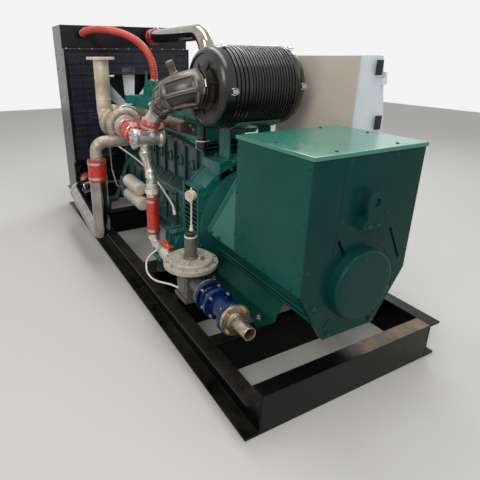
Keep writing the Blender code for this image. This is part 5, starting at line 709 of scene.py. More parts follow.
def dressHousing():
    e = engine
    housing = Draft()
    rise, low, sideLow = 0.185, 0.212, 0.337
    start = atan2(rise, sqrt(e.archRadius ** 2 - rise ** 2))
    shoulder = e.shaftZ + rise
    outline = [(-0.15, low), (0.15, low), (e.housingHalf, sideLow), (e.housingHalf, shoulder)]
    outline += arcSpots((0, e.shaftZ), e.archRadius, start, pi - start, 40)
    outline += [(-e.housingHalf, shoulder), (-e.housingHalf, sideLow)]
    housing.plate(outline, e.housingNear, e.housingFar, "Y", 0.005)
    housing.box((-0.15, e.housingNear, 0.652), (0.15, e.housingFar, 0.74), 0.004)
    flange = [(x * 1.02, (z - e.shaftZ) * 1.02 + e.shaftZ) for x, z in outline]
    housing.plate(flange, e.housingNear + 0.0005, e.housingNear + 0.014, "Y", 0.002)
    housing.plate(flange, e.housingFar - 0.016, e.housingFar - 0.0005, "Y", 0.002)
    recessShade = Draft()
    for side in (-1, 1):
        rootX, tip, shelf = side * 0.25, side * 0.395, side * 0.325
        web = [(rootX, 0.385), (shelf, 0.385), (shelf + side * 0.006, 0.3), (tip - side * 0.02, 0.257),
            (tip - side * 0.02, 0.24), (rootX, 0.24)]
        housing.plate(web, -0.078, -0.064, "Y", 0.002)
        housing.plate(web, -0.036, -0.022, "Y", 0.002)
        housing.box((rootX, -0.122, 0.373), (shelf + side * 0.004, -0.015, 0.385), 0.003)
        housing.box((rootX, -0.11, 0.233), (tip, -0.015, 0.255), 0.004)
        curve = [(rootX, 0.373)] + [(rootX + side * (0.02 + 0.05 * sin(radians(t))),
            0.373 - 0.118 * (1 - cos(radians(t)))) for t in range(15, 91, 15)] + [(rootX, 0.255)]
        housing.plate(curve, -0.118, -0.02, "Y", 0.002)
        recess = [(e.housingNear + 0.016, 0.388), (e.housingFar - 0.02, 0.388), (e.housingFar - 0.02, 0.622),
            (e.housingNear + 0.016, 0.622)]
        recessShade.plate(recess, side * (e.housingHalf - 0.002), side * (e.housingHalf + 0.0008), "X")
        for index in range(10):  # thin ribs on the side of the casting
            z = 0.395 + index * 0.022
            rib = [(e.housingNear + 0.014, z), (e.housingFar - 0.018, z + 0.004),
                (e.housingFar - 0.018, z + 0.008), (e.housingNear + 0.014, z + 0.004)]
            housing.plate(rib, side * (e.housingHalf - 0.003), side * (e.housingHalf + 0.006), "X", 0.001)
    makePiece("flywheel_casting", housing, "engineTeal", ["flywheel_housing"])
    # a near-black sheet of painted shade in the recess between the side ribs
    makePiece("housing_recess_shade", recessShade, "paintedShadeGreen")
    bolts = Draft()
    for index in range(13):
        angle = radians(-20 + index * 220 / 12)
        x = max(-0.243, min(0.243, 0.272 * cos(angle)))
        z = e.shaftZ + 0.272 * sin(angle)
        bolts.bolt((x, e.housingNear + 0.0005, z), "-Y", 0.009)
        bolts.bolt((x, e.housingFar - 0.016, z), "-Y", 0.008)
    for side in (-1, 1):
        for y in (-0.098, -0.04):
            bolts.bolt((side * 0.292, y, 0.385), "Z", 0.009)
    makePiece("housing_bolts", bolts, "engineTeal")


def dressBlock():
    e = engine
    block = Draft()
    near, far = e.blockNear, e.blockFar
    case = [(-e.caseHalf, e.caseLow), (e.caseHalf, e.caseLow), (e.caseHalf, e.caseTop),
        (e.deckHalf, e.shoulderZ), (-e.deckHalf, e.shoulderZ), (-e.caseHalf, e.caseTop)]
    block.plate(case, near, far, "Y", 0.01)
    block.box((-e.deckHalf, near, e.caseTop), (e.deckHalf, far, e.deckZ - 0.0003), 0.006)
    block.box((-e.deckHalf - 0.008, near, e.deckZ - 0.022), (e.deckHalf + 0.008, far - 0.01, e.deckZ - 0.0003),
        0.004)
    block.box((-e.caseHalf - 0.01, near, e.caseLow), (e.caseHalf + 0.01, far - 0.006, e.caseLow + 0.016), 0.004)
    for index in range(e.bays + 1):
        y = e.bayStart + index * e.bayPitch
        for side in (-1, 1):
            outer = side * (e.deckHalf + 0.012)
            block.box((side * 0.12, y - 0.008, e.caseTop - 0.01), (outer, y + 0.008, e.deckZ - 0.018), 0.004)
            rib = [(side * 0.19, e.caseLow + 0.02), (side * (e.caseHalf + 0.009), e.caseLow + 0.03),
                (side * (e.caseHalf + 0.009), e.caseTop - 0.012), (side * 0.16, e.shoulderZ - 0.005)]
            block.plate(rib, y - 0.007, y + 0.007, "Y", 0.003)
    for y in bayMiddles:
        for side in (-1, 1):
            cup = mm((30, -10), (30, 6), (24, 8), (22, 3), (4, 2))
            block.spin((side * e.deckHalf, y, 0.665), (side, 0, 0), cup, 36)
            block.spin((side * e.caseHalf, y, 0.42), (side, 0, 0), mm((36, -10), (36, 5), (30, 7), (28, 3),
                (4, 3)), 36)
    timing = [(-e.caseHalf, e.caseLow + 0.005), (e.caseHalf, e.caseLow + 0.005), (e.caseHalf, 0.66),
        (0.155, e.deckZ - 0.001), (-0.155, e.deckZ - 0.001), (-e.caseHalf, 0.66)]
    block.plate(timing, far - 0.045, far, "Y", 0.007)
    for side in (-1, 1):  # front arms down to the rubber mounts
        root, bend, tip = side * 0.198, side * 0.29, side * 0.39
        outline = [(root, 0.5), (bend, e.armTop), (tip, e.armTop), (tip, e.armUnder), (bend, e.armUnder),
            (root, 0.3)]
        block.plate(outline, 0.9245, 0.9385, "Y", 0.002)
        top = [(root, 0.507), (bend + side * 0.003, e.armTop + 0.004), (tip, e.armTop + 0.004),
            (tip, e.armTop - 0.008), (bend - side * 0.003, e.armTop - 0.008), (root, 0.488)]
        block.plate(top, 0.9015, 0.9615, "Y", 0.002)
        block.box((bend, 0.9015, e.armUnder), (tip, 0.9615, e.armTop), 0.004)
    block.box((-0.05, 0.945, e.caseTop), (0.05, far, 0.805), 0.005)
    block.spin((0, far - 0.01, 0.78), "Y", mm((62, 0), (62, 16), (50, 24), (50, 58.9)), 48, 0.002)
    block.spin((0, far - 0.01, e.shaftZ), "Y", [(0.075, 0), (0.075, 0.0105)], 48, 0.002)
    # the block's darker teal is painted shade
    makePiece("block_casting", block, "blockTealPaintedShade", ["engine_block"])

    sump = Draft()
    nearY, farY = near + 0.03, 0.895
    stepY = nearY + (farY - nearY) * 0.42
    top = e.caseLow - 0.0003
    pan = [(nearY, top), (nearY + 0.025, 0.235), (stepY, 0.235), (stepY + 0.025, 0.185), (farY - 0.025, 0.185),
        (farY, top)]
    sump.plate(pan, -0.165, 0.165, "X", 0.012)
    sump.box((-0.178, nearY - 0.006, top - 0.012), (0.178, farY + 0.006, top), 0.003)
    makePiece("sump_pan", sump, "blockTealPaintedShade", ["oil_sump"])

    bolts = Draft()
    for index in range(12):
        y = near + 0.05 + index * 0.074
        for side in (-1, 1):
            bolts.bolt((side * 0.172, y, top - 0.012), "-Z", 0.008)
            bolts.bolt((side * (e.deckHalf + 0.008), y + 0.02, e.deckZ - 0.011), (side, 0, 0), 0.007)
    for x, z in mm((-180, 340), (180, 340), (-180, 480), (180, 480), (-180, 620), (180, 620), (-120, 740),
            (120, 740)):
        bolts.bolt((x, far, z), "Y", 0.009)
    makePiece("block_bolts", bolts, "engineTeal")
    mountBolts = Draft()
    for side in (-1, 1):
        for y in (e.rearArmY, e.frontArmY):
            mountBolts.bolt((side * e.mountX, y, e.armTop), "Z", 0.015)
            mountBolts.rod((side * e.mountX, y, e.armTop), (side * e.mountX, y, e.armTop + 0.03), 0.007, 16)
    makePiece("mount_bolts", mountBolts, "boltSteel")
    for word, side in (("left", -1), ("right", 1)):
        for end, y in (("rear", e.rearArmY), ("front", e.frontArmY)):
            mount = Draft()
            profile = mm((31, 160.3), (31, 166.3), (27, 170), (25.5, 186), (26.2, 206), (29, 224.5), (31, 227),
                (31, 232.7))
            mount.spin((side * e.mountX, y, 0), "Z", profile, 40)
            makePiece(end + "_rubber_" + word, mount, "rubber", [end + "_mount_" + word])


def dressHead():
    e = engine
    head = Draft()
    first = e.bayStart
    head.box((-e.headHalf, first, e.deckZ), (e.headHalf, 0.94, e.headTop), 0.006)
    head.box((-e.headHalf - 0.006, first, e.deckZ), (e.headHalf, 0.94, e.deckZ + 0.016), 0.003)
    bolts, covers = Draft(), Draft()
    for y in bayMiddles:
        half = e.rockerLength / 2
        top = e.headTop + e.rockerHeight
        rings = []
        for z, inset in ((e.headTop - 0.002, 0), (top - 0.018, 0.004), (top - 0.004, 0.01), (top, 0.02)):
            x = e.rockerHalf - inset
            rings.append([(-x, y - half + inset, z), (x, y - half + inset, z), (x, y + half - inset, z),
                (-x, y + half - inset, z)])
        covers.loft(rings, 0.004)
        head.box((-e.rockerHalf - 0.013, y - half - 0.004, e.headTop - 0.002),
            (e.rockerHalf + 0.013, y + half + 0.004, e.headTop + 0.01), 0.002)
        for fin in range(8):
            finX = -0.098 + fin * 0.028
            head.box((finX - 0.0045, y - half + 0.014, top - 0.03), (finX + 0.0045, y + half - 0.014,
                top + 0.026), 0.002)
        for ribY in (y - half + 0.006, y - half + 0.042, y - half + 0.078):
            for side in (-1, 1):
                inner, outer = side * (e.rockerHalf - 0.012), side * (e.rockerHalf + 0.009)
                head.box((inner, ribY - 0.005, e.headTop + 0.004), (outer, ribY + 0.005, top - 0.01), 0.002)
        for x, shift in mm((-126.5, -42), (-126.5, 42), (126.5, -42), (126.5, 42)):
            bolts.bolt((x, y + shift, e.headTop + 0.01), "Z", 0.006)
        for inner, outer in mm((-120, -141), (120, 134.5)):
            head.box((inner, y - 0.045, 0.83), (outer, y + 0.045, 0.91), 0.003)
    neck = mm((52, -2), (52, 12), (45, 14), (44, 40), (32, 56), (28, 66), (28, 84))
    place = (-0.012, first + e.bays * e.bayPitch + 0.061, e.headTop)
    head.spin(place, "Z", roundedBy(neck, 0.004, 3), 40)
    head.box((-0.186, 0.88, 0.898), (-0.134, 0.936, 0.95), 0.005)
    spike = mm((-94, 1010), (-64, 1010), (-72, 1060), (-75, 1100), (-83, 1100), (-86, 1060))
    head.plate(spike, 0.797, 0.803, "Y", 0.0015)
    makePiece("thermostat_outlet", Draft().spin(place, "Z", mm((24.5, 84), (24.5, 90), (22.5, 91), (22.5, 110)),
        36, 0.0006), "boltSteel")
    makePiece("head_casting", head, "headTeal", ["cylinder_head"])
    makePiece("rocker_covers", covers, "blockTealPaintedShade")
    makePiece("head_bolts", bolts, "engineTeal")

    intake = Draft()
    near, far = first + 0.018, first + e.bays * e.bayPitch - 0.018
    outline = mm((135.3, 815), (212.5, 815), (235, 837.5), (235, 892.5), (212.5, 915), (135.3, 915))
    intake.plate(outline, near, far, "Y", 0.008)
    profile = mm((48, 905), (48, 946), (58, 946), (58, 960))
    intake.spin((0.196, 0.47, 0), "Z", profile, 48, 0.002)
    intakeBolts = Draft()
    for index in range(10):
        intakeBolts.bolt((0.2235, near + 0.03 + index * (far - near - 0.06) / 9, 0.904), (1, 0, 1), 0.008)
    makePiece("intake_casting", intake, "engineTeal", ["intake_manifold"])
    makePiece("intake_bolts", intakeBolts, "engineTeal")


def dressOilFilters():
    cans = Draft()
    makePiece("oil_filter_head", Draft().box((-0.303, 0.708, 0.322), (-0.2003, 0.776, 0.455), 0.008),
        "blockTealPaintedShade")
    for z, shift in mm((432, 0), (345, -35)):
        near = 0.48 + shift
        profile = [(0.0, 0), (0.028, 0), (0.036, 0.003), (0.041, 0.01), (0.042, 0.018), (0.042, 0.165 - shift),
            (0.0435, 0.168 - shift), (0.0435, 0.176 - shift), (0.042, 0.179 - shift), (0.042, 0.227 - shift)]
        cans.spin((-0.265, near, z), "Y", profile, 56)
        for x, y, lift in around((-0.265, near + 0.012, z), "Y", 0.0405, 16):
            cans.rod((x, y, lift), (x, y + 0.018, lift), 0.0022, 8)
    makePiece("oil_filter_cans", cans, "creamEnamel", ["oil_filters"])


def dressEngineLines():  # the thin tubes and small parts on the engine's left side
    lines = Draft()
    route = curveRoute(mm((-262, 900, 622), (-262, 528, 605), (-262, 366, 580), (-262, 202, 541),
        (-262, 33, 477), (-262, 10, 454)), 10)
    lines.tube(route, 0.005, 16)
    lines.tube([route[-1], route[-1] + Vector((0, -0.012, -0.026))], 0.0085, 16)
    makePiece("dipstick_tube", lines, "whiteFitting")
    olive = Draft()
    corners = mm((-325, 894, 700), (-322, 885, 470), (-318, 800, 372), (-240, 560, 436), (-200, 529, 443))
    olive.tube(bentRoute(corners, 0.03), 0.005, 14)
    makePiece("oil_return_tube", olive, "oliveTube")
    makePiece("coolant_return_hose", Draft().tube(
        curveRoute(mm((-170, 520, 800), (-235, 400, 690), (-245, 250, 560), (-215, 120, 500)), 10), 0.008, 16),
        "engineTeal")
    makePiece("wire_loom",
        Draft().tube(curveRoute(mm((-148, -20, 770), (-150, 200, 786), (-150, 500, 786), (-148, 820, 784)), 10),
        0.007, 14), "wireCasing")


turbo = Sizes(x=-0.379, z=0.836, turbineNear=0.5003, turbineFar=0.65, inletNear=0.33, discY=0.385,
    voluteRadius=0.076, tubeStart=0.016, tubeEnd=0.032, backY=0.435, outletX=-0.545, outletZ=0.66,
    bendRadius=0.052, manifoldX=-0.2, manifoldZ=0.87, manifoldRadius=0.033, pipeRadius=0.044, pipeTop=1.187,
    pipeY=0.755, flangeRadius=0.081, boreRadius=0.04, seamZ=0.945, stubZ=1.078)


def dressExhaust():
    t = turbo
    log = Draft()
    radius = t.manifoldRadius
    profile = [(0.012, 0.004), (radius - 0.008, 0.006), (radius - 0.002, 0.014)]
    for before, after in zip(bayMiddles, bayMiddles[1:]):
        middle = (before + after) / 2
        profile += [(radius - 0.003, before - 0.02), (radius - 0.003, middle - 0.012), (radius, middle - 0.01),
            (radius, middle + 0.01), (radius - 0.003, middle + 0.012)]
    profile += [(radius - 0.003, 0.728), (radius - 0.008, 0.738), (0.012, 0.74)]
    log.spin((t.manifoldX, 0, t.manifoldZ), "Y", profile, 40, 0.0012)
    bolts = Draft()
    for y in bayMiddles:
        log.tube(bentRoute([(-0.14, y, 0.852), (-0.17, y, 0.852), (t.manifoldX, y, t.manifoldZ)], 0.03, 4),
            0.023, 28)
        log.box((-0.147, y - 0.041, 0.82), (-0.1353, y + 0.041, 0.886), 0.003)
        for shift in (-0.031, 0.031):
            bolts.bolt((-0.147, y + shift, 0.852), "-X", 0.0075)
    neckY = (t.turbineNear + t.turbineFar) / 2
    log.tube([(t.manifoldX, neckY, t.manifoldZ), (-0.232, neckY, 0.856), (-0.262, neckY, t.z)], 0.034, 32, None,
        "-X")
    log.box((-0.262, neckY - 0.036, t.z - 0.034), (-0.251, neckY + 0.036, t.z + 0.036), 0.003)
    makePiece("manifold_casting", log, "castIron", ["exhaust_manifold"])

    hot = Draft()
    centre = (t.x, 0, t.z)
    swirl = []
    for step in range(57):
        turn = radians(-250 + 345 * step / 56)
        reach = 0.056 + 0.005 * step / 56
        swirl.append((t.x + reach * cos(turn), neckY, t.z + reach * sin(turn)))
    hot.tube(swirl, [0.024 + 0.013 * step / 56 for step in range(57)], 32)
    body = [(0.044, t.turbineNear), (0.062, t.turbineNear + 0.002), (0.066, t.turbineNear + 0.01),
        (0.066, t.turbineNear + 0.024), (0.058, t.turbineNear + 0.03), (0.058, 0.6), (0.046, 0.612),
        (0.042, 0.622), (0.042, 0.636), (0.054, 0.638), (0.054, t.turbineFar - 0.0003)]
    hot.spin(centre, "Y", roundedBy(body, 0.004, 3), 64)
    hot.tube([(-0.2625, neckY, t.z), (-0.3, neckY, t.z + 0.002), (-0.345, neckY, t.z + 0.006)],
        [0.0365, 0.036, 0.034], 32, "-X")
    hot.box((-0.274, neckY - 0.036, t.z - 0.034), (-0.2624, neckY + 0.036, t.z + 0.036), 0.003)
    makePiece("turbine_casting", hot, "heatIron", ["turbine_housing"])
    for shiftY in (-0.026, 0.026):
        for shiftZ in (-0.024, 0.026):
            bolts.bolt((-0.274, neckY + shiftY, t.z + shiftZ), "-X", 0.0065)
    bolts.bolts(around((t.x, t.turbineNear + 0.0025, t.z), "Y", 0.06, 6, 20), "-Y", 0.006)
    makePiece("exhaust_bolts", bolts, "heatIron")

    band = Draft()
    ring = mm((53, 636), (58, 638), (58, 652), (53, 654), (50, 645))
    band.spin(centre, "Y", ring, 56, 0.0008, True)
    band.rod((t.x - 0.064, 0.645, t.z + 0.012), (t.x - 0.064, 0.645, t.z - 0.022), 0.004, 12)
    band.bolt((t.x - 0.064, 0.645, t.z + 0.012), "Z", 0.006)
    makePiece("turbine_outlet_band", band, "boltSteel")

    pipe = Draft()
    route = bentRoute([(t.x, 0.6503, t.z), (t.x, t.pipeY, t.z), (t.x, t.pipeY, t.pipeTop)], 0.062, 18)
    pipe.tube(route, t.pipeRadius, 48, "Y", "Z")
    top = t.pipeTop
    flange = [(0.042, -0.015), (t.flangeRadius, -0.015), (t.flangeRadius, 0.0), (0.042, 0.0)]
    pipe.spin((t.x, t.pipeY, top), "Z", flange, 64, 0.0012, True)
    weld = [(t.pipeRadius - 0.001, -0.021), (t.pipeRadius + 0.003, -0.0165), (t.pipeRadius + 0.004, -0.014),
        (t.pipeRadius - 0.001, -0.014)]
    pipe.spin((t.x, t.pipeY, top), "Z", weld, 48, 0.0, True)
    seam = [(t.pipeRadius - 0.001, -0.0045), (t.pipeRadius + 0.0012, -0.003), (t.pipeRadius + 0.0016, 0),
        (t.pipeRadius + 0.0012, 0.003), (t.pipeRadius - 0.001, 0.0045)]
    pipe.spin((t.x, t.pipeY, t.seamZ), "Z", seam, 48, 0.0, True)
    makePiece("exhaust_stub", Draft().rod((t.x + 0.0432, t.pipeY, t.stubZ), (t.x + 0.074, t.pipeY, t.stubZ),
        0.0065, 20, 0.0008), "whiteFitting")
    hollow = Draft()
    hollow.rod((t.x, t.pipeY, top - 0.15), (t.x, t.pipeY, top + 0.02), t.boreRadius, 48)
    for x, y, z in around((t.x, t.pipeY, top - 0.03), "Z", 0.064, 4, 45):
        hollow.rod((x, y, z), (x, y, z + 0.05), 0.0065, 20)
    makePiece("exhaust_riser", pipe, "steelPipe", ["exhaust_pipe"], cutter=hollow)


def dressCompressor():
    t = turbo
    centre = (t.x, 0, t.z)
    cold = Draft()
    route, radii = [], []
    for step in range(61):
        turn = radians(226.8 - 316.8 * step / 60)
        route.append((t.x + t.voluteRadius * cos(turn), t.discY, t.z + t.voluteRadius * sin(turn)))
        radii.append(t.tubeStart + (t.tubeEnd - t.tubeStart) * (step / 60) ** 0.9)
    low = t.z - t.voluteRadius
    leg = bentRoute([(t.x, t.discY, low), (t.outletX, t.discY, low), (t.outletX, t.discY, t.outletZ)],
        t.bendRadius, 14)
    cold.tube(route + leg[1:], radii + [t.tubeEnd] * (len(leg) - 1), 32, None, "-Z")
    body = [(0.03, t.inletNear), (0.0375, t.inletNear), (0.04, t.inletNear + 0.003), (0.04, 0.346),
        (0.043, 0.35), (0.056, 0.356), (0.062, 0.362), (0.062, 0.376), (0.074, 0.384), (0.078, 0.398),
        (0.078, 0.415), (0.082, 0.418), (0.082, 0.426), (0.07, 0.43), (0.058, 0.432), (0.05, t.backY),
        (0.044, 0.44), (0.042, 0.48), (0.046, 0.486), (0.048, 0.49), (0.048, 0.4999)]
    cold.spin(centre, "Y", roundedBy(body, 0.0025, 3), 72)
    bead = [(t.tubeEnd - 0.001, -0.004), (t.tubeEnd + 0.002, -0.002), (t.tubeEnd + 0.002, 0.002),
        (t.tubeEnd - 0.001, 0.004)]
    cold.spin((t.outletX, t.discY, t.outletZ + 0.03), "Z", bead, 40, 0.0, True)
    cold.box((t.x - 0.026, 0.446, t.z + 0.03), (t.x + 0.026, 0.476, t.z + 0.056), 0.004)
    cold.box((t.x - 0.026, 0.446, t.z - 0.06), (t.x + 0.026, 0.476, t.z - 0.03), 0.004)
    for x, y, z in around((t.x, 0.36, t.z), "Y", 0.067, 9):
        cold.rod((x, y, z), (x, y + 0.02, z), 0.0055, 14)
    makePiece("compressor_casting", cold, "warmCast", ["compressor_housing"])
    bolts = Draft()
    bolts.bolts(around((t.x, 0.4265, t.z), "Y", 0.0735, 8, 22.5), "Y", 0.006)
    bolts.bolt((t.x, 0.461, t.z + 0.056), "Z", 0.01)
    bolts.tube(curveRoute([(t.x, 0.461, t.z + 0.064), (t.x + 0.02, 0.464, t.z + 0.095),
        (t.x + 0.1, 0.462, t.z + 0.072), (-0.205, 0.455, 0.8)], 10), 0.0055, 14)
    makePiece("compressor_bolts", bolts, "boltSteel")


hoses = Sizes(chargeRadius=0.0462, overlap=0.01, clampWidth=0.013)


def dressHose(name, node, start, end, radius, clamps=(0.16, 0.84), turn=0.6, swell=0.0):
    sleeve = Draft()
    start, end = Vector(start), Vector(end)
    reach = end - start
    long = reach.length
    profile = [(radius - 0.003, 0.0), (radius, 0.0005), (radius, 0.006)]
    if swell:
        near, far = long * 0.27, long * 0.73
        profile += [(radius + swell * sin(pi * step / 12), near + (far - near) * step / 12)
            for step in range(13)]
    else:
        profile += [(radius + 0.0022, 0.007), (radius + 0.0022, 0.011), (radius, 0.012), (radius, long - 0.012),
            (radius + 0.0022, long - 0.011), (radius + 0.0022, long - 0.007)]
    profile += [(radius, long - 0.006), (radius, long - 0.0005), (radius - 0.003, long)]
    sleeve.spin(start, reach, profile, 56)
    makePiece(name, sleeve, "redSilicone", [node])
    rings = Draft()
    for share in clamps:
        rings.clamp(start + reach * share, reach, radius + 0.0003, hoses.clampWidth, turn)
    makePiece(name + "_clamps", rings, "boltSteel")


def dressChargeAir():
    h = hoses
    lower = Draft()
    corners = mm((-545, 385, 560), (-545, 385, 202), (-545, 1075, 310), (-405, 1140, 310), (-405, 1215, 310))
    lower.tube(bentRoute(corners, 0.105, 20), h.chargeRadius, 56, "-Z", "Y")
    makePiece("lower_polished_pipe", lower, "polishedPipe", ["lower_charge_pipe"])
    upper = Draft()
    corners = mm((170, 1225, 1322), (170, 470, 1322), (196, 470, 1008), (196, 470, 960.3))
    upper.tube(bentRoute(corners, 0.11, 20), h.chargeRadius, 56, "-Y", "-Z")
    makePiece("upper_polished_pipe", upper, "polishedPipe", ["upper_charge_pipe"])
    more = h.overlap
    dressHose("charge_coupling", "lower_charge_hose", (-0.545, 0.385, 0.56 - more),
        (-0.545, 0.385, 0.66 + more), 0.0492, turn=2.4)
    dressHose("radiator_lower_coupling", "radiator_inlet_hose", (-0.405, 1.215 - more, 0.31),
        (-0.405, 1.29 + 0.004, 0.31), 0.051, turn=1.2)
    dressHose("radiator_upper_coupling", "radiator_outlet_hose", (0.17, 1.225 - more, 1.322),
        (0.17, 1.3 + 0.004, 1.322), 0.051, turn=1.2)
    dressHose("compressor_coupling", "compressor_inlet_hose", (-0.379, 0.2053, 0.808), (-0.379, 0.3297, 0.836),
        0.0485, clamps=(0.14, 0.86), turn=2.2, swell=0.006)
    ring = Draft()
    spots = [Vector((-0.315, 0.14, 0.8484)), Vector((-0.315, 0.1395, 0.858)), Vector((-0.313, 0.136, 0.872)),
        Vector((-0.311, 0.131, 0.884))]
    ring.tube(spots, [0.052, 0.057, 0.0585, 0.0575], 56, "Z", (0.2, -0.42, 0.88), 0.001)
    makePiece("mixer_ring", ring, "redSilicone", ["mixer_top_hose"])
    makePiece("mixer_ring_clamp", Draft().clamp(spots[1] * 0.5 + spots[2] * 0.5, spots[2] - spots[1], 0.059,
        0.01, 2.6), "boltSteel")

    ribbed = Draft()
    route = cubicRoute((-0.335, 1.3, 1.335), (-0.051, -0.184, 0.032), (-0.012, 0.835, 1.052),
        (-0.01, 0.023, -0.344), 240)
    radii = []
    for index in range(len(route)):
        inside = 8 < index < len(route) - 8
        radii.append(0.0235 - (0.0016 if inside and index % 4 < 2 else 0.0))
    ribbed.tube(route, radii, 32)
    makePiece("coolant_ribbed_hose", ribbed, "ribbedSilicone", ["coolant_hose"])
    makePiece("coolant_hose_clamps", Draft().clamp(route[5], route[6] - route[4], 0.0238, 0.011, 2.0),
        "boltSteel")


radiator = Sizes(half=0.478, near=1.355, far=1.635, top=1.39, tankLow=1.24, footTop=0.245, side=0.046,
    coreNear=1.48, coreFar=1.6, finCount=110, tubeCount=44, teeth=16, toothDepth=0.004, finLift=0.0012,
    boltPitch=0.09, guardNear=1.31, guardFar=1.314, guardLow=0.44, guardTop=1.237, wirePitch=0.0425,
    wireWidth=0.006, slotPitch=0.0085, beltSlotTop=1.062, beltSlotHalf=0.172, plateBoltY=(1.4, 1.6))


def dressRadiator():
    r = radiator
    softCopy("radiator_frame", "glossBlack", 0.004)
    trim, bolts = Draft(), Draft()
    for z in (r.tankLow - 0.004, r.footTop + 0.004):
        trim.box((-r.half + 0.001, r.near - 0.008, z - 0.004), (r.half - 0.001, r.near + 0.004, z + 0.004),
            0.0015)
        trim.box((-r.half + 0.001, r.far - 0.004, z - 0.004), (r.half - 0.001, r.far + 0.006, z + 0.004),
            0.0015)
        for index in range(11):
            x = -0.45 + index * r.boltPitch
            bolts.bolt((x, r.near - 0.008, z), "-Y", 0.0075)
            bolts.bolt((x, r.far + 0.006, z), "Y", 0.0055)
    for side in (-1, 1):
        for z in (0.3, 0.5, 0.7, 0.9, 1.1, 1.2):
            bolts.bolts([(side * r.half, y, z) for y in r.plateBoltY], (side, 0, 0), 0.0065)
        for y in r.plateBoltY:
            bolts.bolt((side * 0.455, y, r.top - 0.002), "Z", 0.008)
    trim.spin((0.0, 1.495, r.top - 0.004), "Z", mm((34, 0), (34, 10), (30, 13.5), (12, 14)), 36, 0.001)
    # the trim strips and cap ring take the light grey of a painted highlight
    makePiece("radiator_trim", trim, "paintedHighlightGrey")
    makePiece("radiator_bolts", bolts, "boltSteel")

    core = Draft()
    half = r.half - r.side - 0.0006
    low, high = r.footTop + 0.0006, r.tankLow - 0.0006
    near, far, teeth = r.coreNear, r.coreFar, r.teeth
    steps = 2 * teeth
    edge = [(-half + 2 * half * step / steps, step % 2 * r.toothDepth) for step in range(steps + 1)]
    front = [(x, near + lift) for x, lift in edge]
    back = [(x, far - lift) for x, lift in reversed(edge)]
    core.plate(front + back, low, high, "Z")
    proud = r.finLift
    for index in range(r.finCount):
        z = low + (index + 0.5) * (high - low) / r.finCount
        fin = [(x, y - proud) for x, y in front] + [(x, y + proud) for x, y in back]
        core.plate(fin, z - 0.001, z + 0.001, "Z")
    for index in range(r.tubeCount):
        x = -half + (index + 0.5) * 2 * half / r.tubeCount
        inset = r.toothDepth * (1 - 2 * abs((x + half) * teeth / (2 * half) % 1 - 0.5))
        core.box((x - 0.0014, near + inset - proud * 1.2, low), (x + 0.0014, far - inset + proud * 1.2, high))
    makePiece("radiator_core_fins", core, "radiatorFins", ["radiator_core"])

    softCopy("fan_guard", "glossBlack", 0.0008)
    wires = Draft()
    middle = (r.guardNear + r.guardFar) / 2
    z = r.guardLow + r.wirePitch
    while z < r.guardTop - 0.02:
        spans = [(-r.half + 0.02, r.half - 0.02)]
        if z < r.beltSlotTop:  # the mesh leaves room for the belt and the shaft
            spans = [(-r.half + 0.02, -r.beltSlotHalf), (r.beltSlotHalf, r.half - 0.02)]
        for start, end in spans:
            wires.box((start, middle - 0.0022, z - r.wireWidth / 2), (end, middle + 0.0018,
                z + r.wireWidth / 2))
        z += r.wirePitch
    x = -r.half + 0.03
    while x < r.half - 0.02:
        low = r.beltSlotTop + 0.002 if abs(x) < r.beltSlotHalf + 0.004 else r.guardLow + 0.02
        wires.box((x - 0.0026, middle - 0.0014, low), (x + 0.0026, middle + 0.0014, r.guardTop - 0.02))
        x += r.slotPitch
    makePiece("guard_mesh", wires, "guardBlack")


drive = Sizes(crankZ=0.447, fanZ=0.78, near=1.02, far=1.054, crankRadius=0.095, fanRadius=0.078,
    clearance=0.0008, beltThickness=0.009, beltWidth=0.024, bladeCount=8, hubRadius=0.085, tipRadius=0.33,
    fanNear=1.345, fanFar=1.415, rootChord=0.075, tipChord=0.095, rootPitch=42, tipPitch=24,
    bladeThickness=0.006)


def groovedRim(radius, start, end):
    profile = [(radius - 0.016, start), (radius - 0.001, start), (radius, start + 0.001)]
    count = 4
    wide = (end - start - 0.008) / count
    for index in range(count):
        near = start + 0.004 + index * wide
        profile += [(radius, near), (radius - 0.0022, near + wide * 0.35),
            (radius - 0.0022, near + wide * 0.65), (radius, near + wide)]
    return profile + [(radius, end - 0.001), (radius - 0.001, end), (radius - 0.016, end)]


